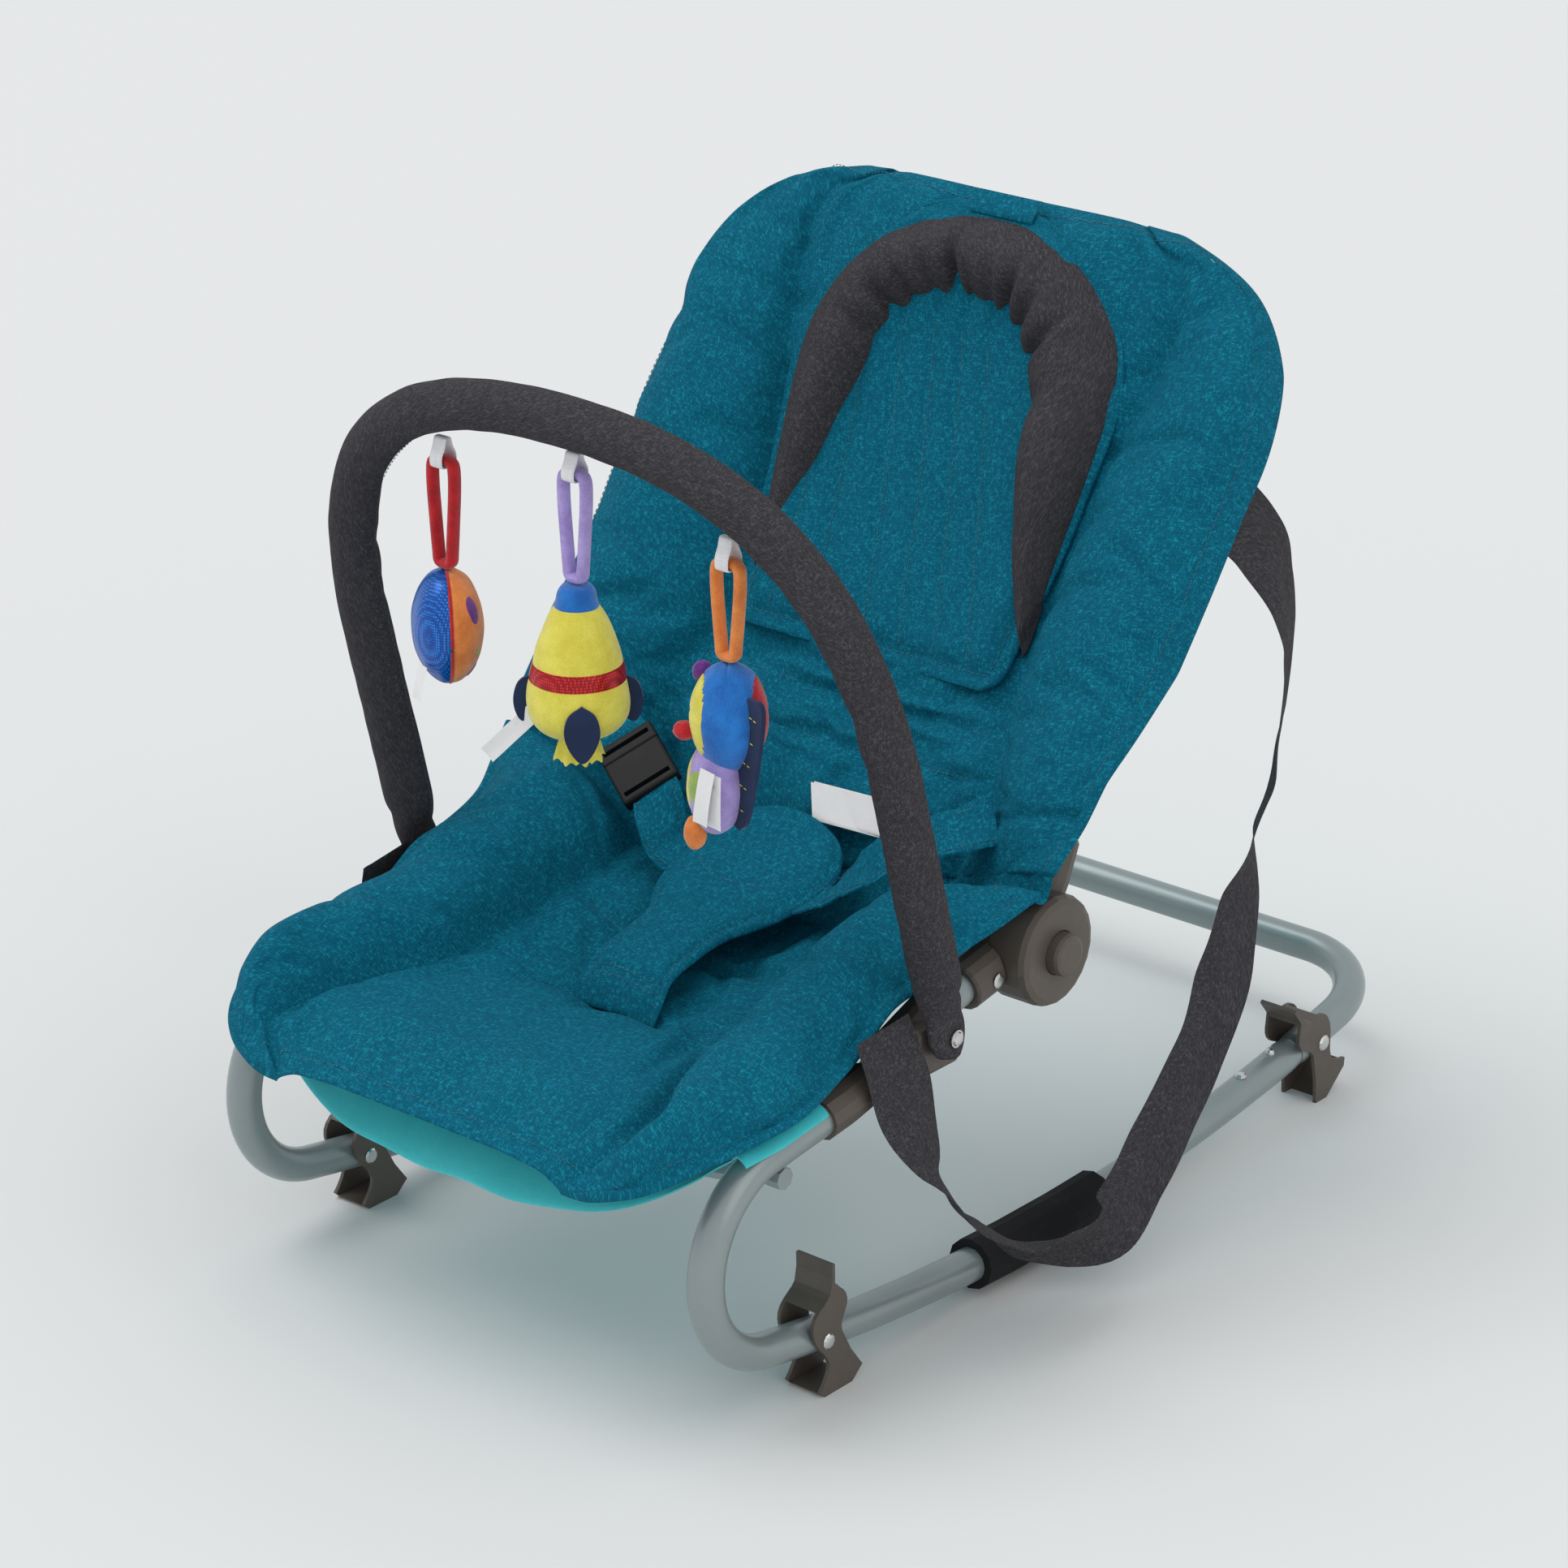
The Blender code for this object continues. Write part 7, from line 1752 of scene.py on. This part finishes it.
def stuffed(name, radii, centre, turn, body, colours, panels=one_panel, seams=(), segments=64):
    """A stuffed shape from a sphere: panels(direction) gives each face's place in the colours."""
    work = bmesh.new()
    bmesh.ops.create_uvsphere(work, u_segments=segments, v_segments=SPHERE_RINGS[segments], radius=1.0)
    numbers = {face: panels(face.calc_center_median().normalized()) for face in work.faces}
    for vert in work.verts:
        way = vert.co.normalized()
        different = len({numbers[face] for face in vert.link_faces}) > 1
        size = 1.0 - (0.030 if different else 0.0)
        for seam in seams:
            size -= 0.028 * math.exp(-(seam(way) / 0.035) ** 2)
        size += STUFFING_LUMPS / max(radii) * noise.noise(way * 3.0)
        vert.co = Vector((way.x * radii[0], way.y * radii[1], way.z * radii[2])) * size
    for face, number in numbers.items():
        face.material_index = number
    place = Matrix.Translation(centre) @ Matrix.Rotation(turn, 4, "Z")
    bmesh.ops.transform(work, verts=work.verts, matrix=place)
    made = finished(name, work, None, body)
    for colour in colours:
        made.data.materials.append(colour)
    return made


print("stuffing helper ready")

# %% The ball in two halves
spot, top, foot = toy_spans["ball"]
high = (top - foot) / 2
centre = spot + Vector((0, 0, (top + foot) / 2))


def ball_panels(way):
    return 0 if way.x < 0 else 1


BALL_TURN = math.radians(49.0)
ball_radii = (0.0215, high * 0.86, high)
ball = stuffed("ball_cloth", ball_radii, centre, BALL_TURN, "ball_hanging", (BLUE_FOIL, ORANGE), ball_panels)
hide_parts("ball_toy")
ball_turn = Matrix.Translation(centre) @ Matrix.Rotation(BALL_TURN, 4, "Z")


print("ball:", [round(size, 4) for size in ball_radii])

# %% Its patches and piping
PATCH_LIFT = 0.0006


def spot_patch(name, way, size, stretch, material, body, frame_matrix, radii):
    """A small oval patch sewn on a stuffed shape, following its curve."""
    way = Vector(way).normalized()
    side = way.cross(Vector((0, 0, 1))).normalized()
    rise = side.cross(way)
    work = bmesh.new()
    bmesh.ops.create_circle(work, cap_ends=True, cap_tris=True, segments=28, radius=1.0)
    bmesh.ops.subdivide_edges(work, edges=work.edges, cuts=2, use_grid_fill=True)
    for vert in work.verts:
        flat = side * vert.co.x * size + rise * vert.co.y * size * stretch
        at = Vector((way.x * radii[0], way.y * radii[1], way.z * radii[2])) + flat
        scaled_way = Vector((at.x / radii[0], at.y / radii[1], at.z / radii[2])).normalized()
        on = Vector((scaled_way.x * radii[0], scaled_way.y * radii[1], scaled_way.z * radii[2]))
        puff = PATCH_LIFT * (1 - vert.co.length ** 6)
        vert.co = on * (1 + puff / on.length)
    bmesh.ops.transform(work, verts=work.verts, matrix=frame_matrix)
    return finished(name, work, material, body)


BALL_PATCHES = (
    # name, direction from the ball's middle, half width, stretch, colour
    ("ball_patch_purple", (0.62, -0.62, 0.42), 0.0050, 1.7, PURPLE),
    ("ball_patch_green", (0.70, -0.55, -0.30), 0.0022, 1.2, GREEN),
    ("ball_patch_low", (0.60, -0.30, -0.72), 0.0042, 1.4, PURPLE),
    ("ball_patch_rear", (0.62, 0.60, 0.30), 0.0050, 1.4, PURPLE),
    ("ball_patch_rear_low", (0.60, 0.55, -0.50), 0.0036, 1.2, GREEN),
)
for name, way, size, stretch, material in BALL_PATCHES:
    spot_patch(name, way, size, stretch, material, "ball_hanging", ball_turn, ball_radii)
work = bmesh.new()
bmesh.ops.create_circle(work, segments=96, radius=high * 0.985)
for vert in work.verts:
    vert.co = Vector((0.0, vert.co.x * 0.86, vert.co.y))
ring = [ball_turn @ vert.co for vert in work.verts]
work.free()


def piped(name, points, radius, material, body, closed=True, sides=8):
    """A thin sewn cord round a seam."""
    count = len(points)

    def place(share, along):
        i = round(along * count) % count if closed else round(along * (count - 1))
        here = points[i]
        after = points[(i + 1) % count] if closed else points[min(i + 1, count - 1)]
        before = points[i - 1] if closed or i else points[0]
        way = (after - before).normalized()
        upright = abs(way.z) > 0.99
        side = way.orthogonal().normalized() if upright else way.cross(Vector((0, 0, 1))).normalized()
        up = side.cross(way)
        angle = math.tau * share
        return here + (side * math.cos(angle) + up * math.sin(angle)) * radius

    rows = count if closed else count - 1
    work = shaped_grid(sides, rows, place)
    return finished(name, sewn_shut(work), material, body)


piped("ball_piping", ring, 0.0011, RED, "ball_hanging")
print("ball ready")

# %% [markdown]
# ## The rocket
# A stuffed body turned from one outline, in four rings of cloth with a seam between them. Felt fins and a
# crinkled frill are sewn in under it. Felt keeps its shape, so a fin is a flat outline with some thickness.

# %% The rocket's body
ROCKET = (
    # radius, share of the height from the foot
    (0.0040, 1.0), (0.0095, 0.985), (0.0125, 0.90), (0.0178, 0.80), (0.0238, 0.65), (0.0278, 0.51),
    (0.0297, 0.40), (0.0300, 0.31), (0.0280, 0.23), (0.0215, 0.165), (0.0120, 0.135),
)
spot, top, foot = toy_spans["rocket"]
rocket_rows = [(1 - share, radius) for radius, share in ROCKET]


def rocket_radius(share):
    return through(rocket_rows, 1 - share)[0]


def rocket_panel(name, low, high_share, material, swell=0.0008, grow=0.0, rows=24, columns=64):
    """One ring of the rocket's body between two seams."""
    def place(across, along):
        share = mix(low, high_share, along)
        angle = math.tau * across
        radius = rocket_radius(share) + swell * math.sin(math.pi * along) ** 0.6 - 0.0006 + grow
        radius += 0.0006 * noise.noise(Vector((math.cos(angle) * 1.5, math.sin(angle) * 1.5, share * 6.0)))
        return spot + Vector((radius * math.cos(angle), radius * math.sin(angle), mix(foot, top, share)))

    work = cloth_grid(columns, rows, place)
    return finished(name, sewn_shut(work, 80), material, "rocket_hanging")


body = rocket_panel("rocket_belly", 0.14, 0.465, YELLOW)
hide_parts("rocket_toy")
rocket_panel("rocket_band", 0.465, 0.555, RED_FOIL, 0.0004, 0.0002)
rocket_panel("rocket_chest", 0.555, 0.875, YELLOW)
rocket_panel("rocket_cone", 0.875, 0.995, BLUE)


print("rocket body ready")


# %% Felt fins
def felt_shape(name, outline, frame_matrix, thick, material, body):
    """A flat felt piece from its outline, its edge a little rounded."""
    work = bmesh.new()
    rim = bmesh.ops.create_circle(work, cap_ends=True, segments=len(outline), radius=1.0)["verts"]
    for vert, (x, z) in zip(rim, outline):
        vert.co = Vector((x, 0.0, z))
    bmesh.ops.inset_region(work, faces=work.faces[:], thickness=thick * 0.5)
    raised = bmesh.ops.extrude_face_region(work, geom=work.faces[:])["geom"]
    for vert in [item for item in raised if isinstance(item, bmesh.types.BMVert)]:
        vert.co.y += thick
    bmesh.ops.translate(work, verts=work.verts, vec=(0.0, -thick / 2, 0.0))
    bmesh.ops.recalc_face_normals(work, faces=work.faces)
    bmesh.ops.transform(work, verts=work.verts, matrix=frame_matrix)
    return finished(name, work, material, body, sharp=60.0)


def smooth_outline(points, count=40):
    """A closed smooth outline through corner points."""
    knots = [(x, z, 0.0) for x, z in points] + [(points[0][0], points[0][1], 0.0)]
    return [(p[0], p[1]) for p in run_through(knots, count + 1)[:-1]]


span = top - foot
FIN = ((0.0150, 0.440), (0.0270, 0.470), (0.0345, 0.440), (0.0378, 0.350), (0.0365, 0.260), (0.0320, 0.210),
       (0.0240, 0.270))
LEAF = ((0.0, 0.400), (0.0080, 0.340), (0.0105, 0.235), (0.0065, 0.130), (0.0, 0.070), (-0.0065, 0.130),
        (-0.0105, 0.235), (-0.0080, 0.340))
leaf_way = Vector((math.cos(math.radians(-44)), math.sin(math.radians(-44)), 0.0))
leaf_turn = Matrix.Translation(spot + leaf_way * 0.0300) @ Matrix.Rotation(math.radians(46), 4, "Z")
felt_shape("rocket_leaf", smooth_outline([(x, foot + span * share) for x, share in LEAF]), leaf_turn, 0.0022,
           NAVY_FELT, "rocket_hanging")
for k in range(1, 4):
    turn = Matrix.Translation(spot) @ Matrix.Rotation(math.radians(-50 + 90 * k), 4, "Z")
    outline = smooth_outline([(radius, foot + span * share) for radius, share in FIN])
    felt_shape(f"rocket_fin_{k}", outline, turn, 0.0022, NAVY_FELT, "rocket_hanging")


print("fins ready")


# %% The frill under the rocket
def frill_place(share, along):
    angle = math.tau * share
    wave = math.sin(angle * 8)
    radius = mix(0.0105, 0.0140, along) + 0.0016 * wave * along
    drop = mix(0.150, 0.0, along) * span + 0.0022 * (0.5 + 0.5 * math.cos(angle * 16)) * along
    return spot + Vector((radius * math.cos(angle), radius * math.sin(angle), foot + drop))


work = cloth_grid(96, 10, frill_place)
thickened(work, 0.0009)
finished("rocket_frill", work, YELLOW, "rocket_hanging")
work = bmesh.new()
bmesh.ops.create_uvsphere(work, u_segments=24, v_segments=16, radius=1.0)
flame_place = Matrix.Translation(spot + Vector((0, 0, foot + span * 0.09)))
flame_size = Matrix.Diagonal((0.0085, 0.0085, span * 0.07, 1.0))
bmesh.ops.transform(work, verts=work.verts, matrix=flame_place @ flame_size)
finished("rocket_flame", work, ORANGE, "rocket_hanging")
print("rocket ready")

# %% [markdown]
# ## The plush figure
# A round head over a smaller trunk, both stuffed and pieced from several colours, with a few small stuffed
# parts and a stiff felt wing.

# %% Head and trunk
spot, top, foot = toy_spans["plush"]
span = top - foot
head = spot + Vector((0, 0, top - span * 0.29))


def head_panels(way):
    if way.x > 0.66:
        return 1
    if way.x < -0.62:
        return 2
    return 0


def head_seam(way):
    """The seam up the middle of the head's upper half."""
    return way.x + 0.02 if way.z > 0.12 else 1.0


figure = stuffed("plush_head", (0.0228, 0.0215, span * 0.29), head, math.radians(35.0), "plush_hanging",
                 (BLUE, RED, YELLOW), head_panels, (lambda way: way.z - 0.12, head_seam), 80)
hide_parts("plush_toy")
trunk = spot + Vector((-0.0055, -0.0050, top - span * 0.66))


def trunk_panels(way):
    return 1 if way.x < -0.72 else 0


TRUNK_RADII = (0.0172, 0.0165, span * 0.255)
TRUNK_TURN = math.radians(15.0)
lower = stuffed("plush_trunk", TRUNK_RADII, trunk, TRUNK_TURN, "plush_hanging", (LILAC, YELLOW), trunk_panels)
knob = spot + Vector((-0.0190, -0.0170, top - span * 0.36))
tip = spot + Vector((-0.0150, -0.0125, foot + 0.0100))
ear = spot + Vector((-0.0160, -0.0040, top - span * 0.075))
SMALL_SHAPES = (
    # name, radii, centre, turn, colour, segments round
    ("plush_tip", (0.0068, 0.0072, 0.0105), tip, 0.5, ORANGE, 32),
    ("plush_knob", (0.0066, 0.0060, 0.0056), knob, 0.3, RED, 32),
    ("plush_stalk", (0.0080, 0.0034, 0.0034), knob + Vector((0.006, 0.004, 0.0015)), 0.5, RED, 24),
    ("plush_ear", (0.0060, 0.0040, 0.0068), ear, 0.6, PURPLE, 32),
)
for name, radii, centre, turn, colour, segments in SMALL_SHAPES:
    stuffed(name, radii, centre, turn, "plush_hanging", (colour,), segments=segments)
trunk_place = Matrix.Translation(trunk) @ Matrix.Rotation(TRUNK_TURN, 4, "Z")
spot_patch("plush_patch", (-0.35, -0.94, 0.10), 0.0075, 1.4, GREEN, "plush_hanging", trunk_place, TRUNK_RADII)
print("figure ready")

# %% The figure's wing
WING = (
    (-0.004, 0.030), (0.010, 0.0290), (0.0125, -0.010), (0.0095, -0.048), (-0.0020, -0.050),
    (-0.0050, -0.010),
)
wing_turn = Matrix.Translation(spot + Vector((0.0170, -0.0040, top - span * 0.40)))
wing_turn = wing_turn @ Matrix.Rotation(math.radians(-14), 4, "Z") @ Matrix.Rotation(math.radians(12), 4, "Y")
felt_shape("plush_wing", smooth_outline(WING, 48), wing_turn, 0.0030, NAVY_FELT, "plush_hanging")
dashes = []
for k in range(5):
    z = 0.020 - 0.015 * k
    dashes.append(lifted([wing_turn @ Vector((mix(-0.0010, 0.0080, i / 4), -0.0016, z)) for i in range(5)],
                         wing_turn.to_3x3() @ Vector((0, -1, 0))))
stitch_rows("plush_wing_stitches", dashes, "plush_hanging", YELLOW)

print("dashes on the wing:", len(dashes))

# %% Tags on the toys and labels by the strap
TAGS = (
    # toy, name, place of its corner from the toy's foot, way across, way down, size, curl
    ("rocket", "rocket_tag", (-0.0215, -0.0200, 0.0330), (0.60, 0.18, -0.61), (-0.62, -0.28, -0.70),
     (0.0105, 0.044), 0.003),
    ("plush", "plush_tag", (-0.0030, -0.0215, 0.0560), (0.80, -0.10, -0.05), (-0.16, -0.12, -0.97),
     (0.0120, 0.034), 0.003),
    ("plush", "plush_tag_second", (0.0010, -0.0205, 0.0540), (0.80, -0.05, -0.05), (-0.02, -0.02, -0.99),
     (0.0110, 0.033), 0.001),
    ("ball", "ball_tag", (-0.0040, -0.0205, 0.0160), (0.8, -0.30, 0.0), (-0.20, -0.20, -0.95),
     (0.0100, 0.022), 0.002),
)
for toy, name, corner, side_way, down_way, size, curl in TAGS:
    spot, _, foot = toy_spans[toy]
    corner = spot + Vector((corner[0], corner[1], corner[2] + foot))
    label(name, corner, side_way, down_way, size, curl, f"{toy}_hanging")
for name, reach, curl in (("strap_label", 0.0, 0.004), ("strap_label_under", 0.0012, 0.001)):
    corner = back_point(0.0000 + reach, 0.0520 + reach, 0.0010 - reach)
    low = back_point(0.0110, 0.0300, 0.0010) - back_point(0.0, 0.0520, 0.0010)
    away = back_point(0.0560, 0.0545, 0.0020) - back_point(0.0, 0.0520, 0.0010)
    label(name, corner, low, away, (low.length, 0.058), -curl, "rocker_frame")
print("tags ready")

# %% [markdown]
# ## The bent tubes
# The steel frame is bent from round tube, and its long smooth highlights show every flat. So the tubes are
# swept here with enough sides and steps for a clean highlight, on the solid's own centre lines: a rocking
# rail that is one long arc, the tight front bend, and the straight run up to the hub.

# %% A tube through points
ROCKER_RADIUS = 1.55
ROCKER_LOW = (0.0005, 0.0175)
BEND_RADIUS = 0.0634
BEND_FRONT = -0.3335
JOINT_Y = 0.2545
REAR_BAR_Y, REAR_BEND = 0.3645, 0.060


def rail_point(y):
    return ROCKER_LOW[1] + ROCKER_RADIUS - math.sqrt(ROCKER_RADIUS ** 2 - (y - ROCKER_LOW[0]) ** 2)


def swept(name, points, radius, material, body, sides=32):
    """A tube through points, each ring square to its run, with rounded-over ends."""
    points = [Vector(point) for point in points]
    last = len(points) - 1
    ways = [(points[min(i + 1, last)] - points[max(i - 1, 0)]).normalized() for i in range(last + 1)]
    side = Vector((1.0, 0.0, 0.0)) if abs(ways[0].x) < 0.9 else Vector((0.0, 0.0, 1.0))
    frames = []
    for way in ways:
        side = (side - way * side.dot(way)).normalized()
        frames.append((side, way.cross(side)))

    def place(share, along):
        i = round(along * last)
        a, b = frames[i]
        angle = math.tau * share
        size = radius * (0.93 if i in (0, last) else 1.0)
        return points[i] + (a * math.cos(angle) + b * math.sin(angle)) * size

    work = shaped_grid(sides, last, place)
    return finished(name, sewn_shut(work, sides), material, body, sharp=40.0)


print("tube helper ready")

# %% Sweep the side tubes and the rear tube
bend_y = BEND_FRONT + BEND_RADIUS
reach = ROCKER_RADIUS - BEND_RADIUS
bend_z = ROCKER_LOW[1] + ROCKER_RADIUS - math.sqrt(reach ** 2 - (bend_y - ROCKER_LOW[0]) ** 2)
lean = math.asin((ROCKER_LOW[0] - bend_y) / reach)
run_end = bend_y - BEND_RADIUS * math.sin(lean)
side_run = [(RAIL_X, y, rail_point(y)) for y in [mix(JOINT_Y, run_end, i / 60) for i in range(60)]]
for i in range(41):
    angle = mix(-math.pi / 2 - lean, -1.5 * math.pi + math.radians(7.0), i / 40)
    side_run.append((RAIL_X, bend_y + BEND_RADIUS * math.cos(angle), bend_z + BEND_RADIUS * math.sin(angle)))
seat_start = side_run[-1]
for i in range(1, 41):
    y = mix(seat_start[1], -0.079, i / 40)
    side_run.append((RAIL_X, y, seat_tube_height(y) if y > -0.2125 else
                     seat_start[2] + (y - seat_start[1]) * math.tan(math.radians(7.0))))
for word, side in LEFT_AND_RIGHT:
    made = swept(f"smooth_frame_tube_{word}", [(x * side, y, z) for x, y, z in side_run], TUBE_RADIUS, PAINT,
                 "rocker_frame")
    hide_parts(f"frame_tube_{word}")
slope = 0.0
rear_end = REAR_BAR_Y - REAR_BEND
for _ in range(8):
    slope = math.asin((rear_end - ROCKER_LOW[0]) / ROCKER_RADIUS)
    rear_end = REAR_BAR_Y - REAR_BEND * math.cos(slope)
half_rear = [(RAIL_X, y, rail_point(y)) for y in [mix(JOINT_Y + 0.0008, rear_end, i / 12) for i in range(13)]]
for i in range(1, 25):
    turn = math.pi / 2 * i / 24
    run = REAR_BEND * math.sin(turn)
    half_rear.append((RAIL_X - REAR_BEND * (1 - math.cos(turn)), rear_end + run * math.cos(slope),
                      rail_point(rear_end) + run * math.sin(slope)))
bar_y, bar_z = half_rear[-1][1:]
across_run = [(mix(half_rear[-1][0], 0.0, i / 6), bar_y, bar_z) for i in range(1, 7)]
half_rear += across_run
whole_rear = half_rear + [(-x, y, z) for x, y, z in reversed(half_rear[:-1])]
rear = swept("smooth_rear_tube", whole_rear, TUBE_RADIUS, PAINT, "rocker_frame")
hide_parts("rear_tube")
print("tubes swept")
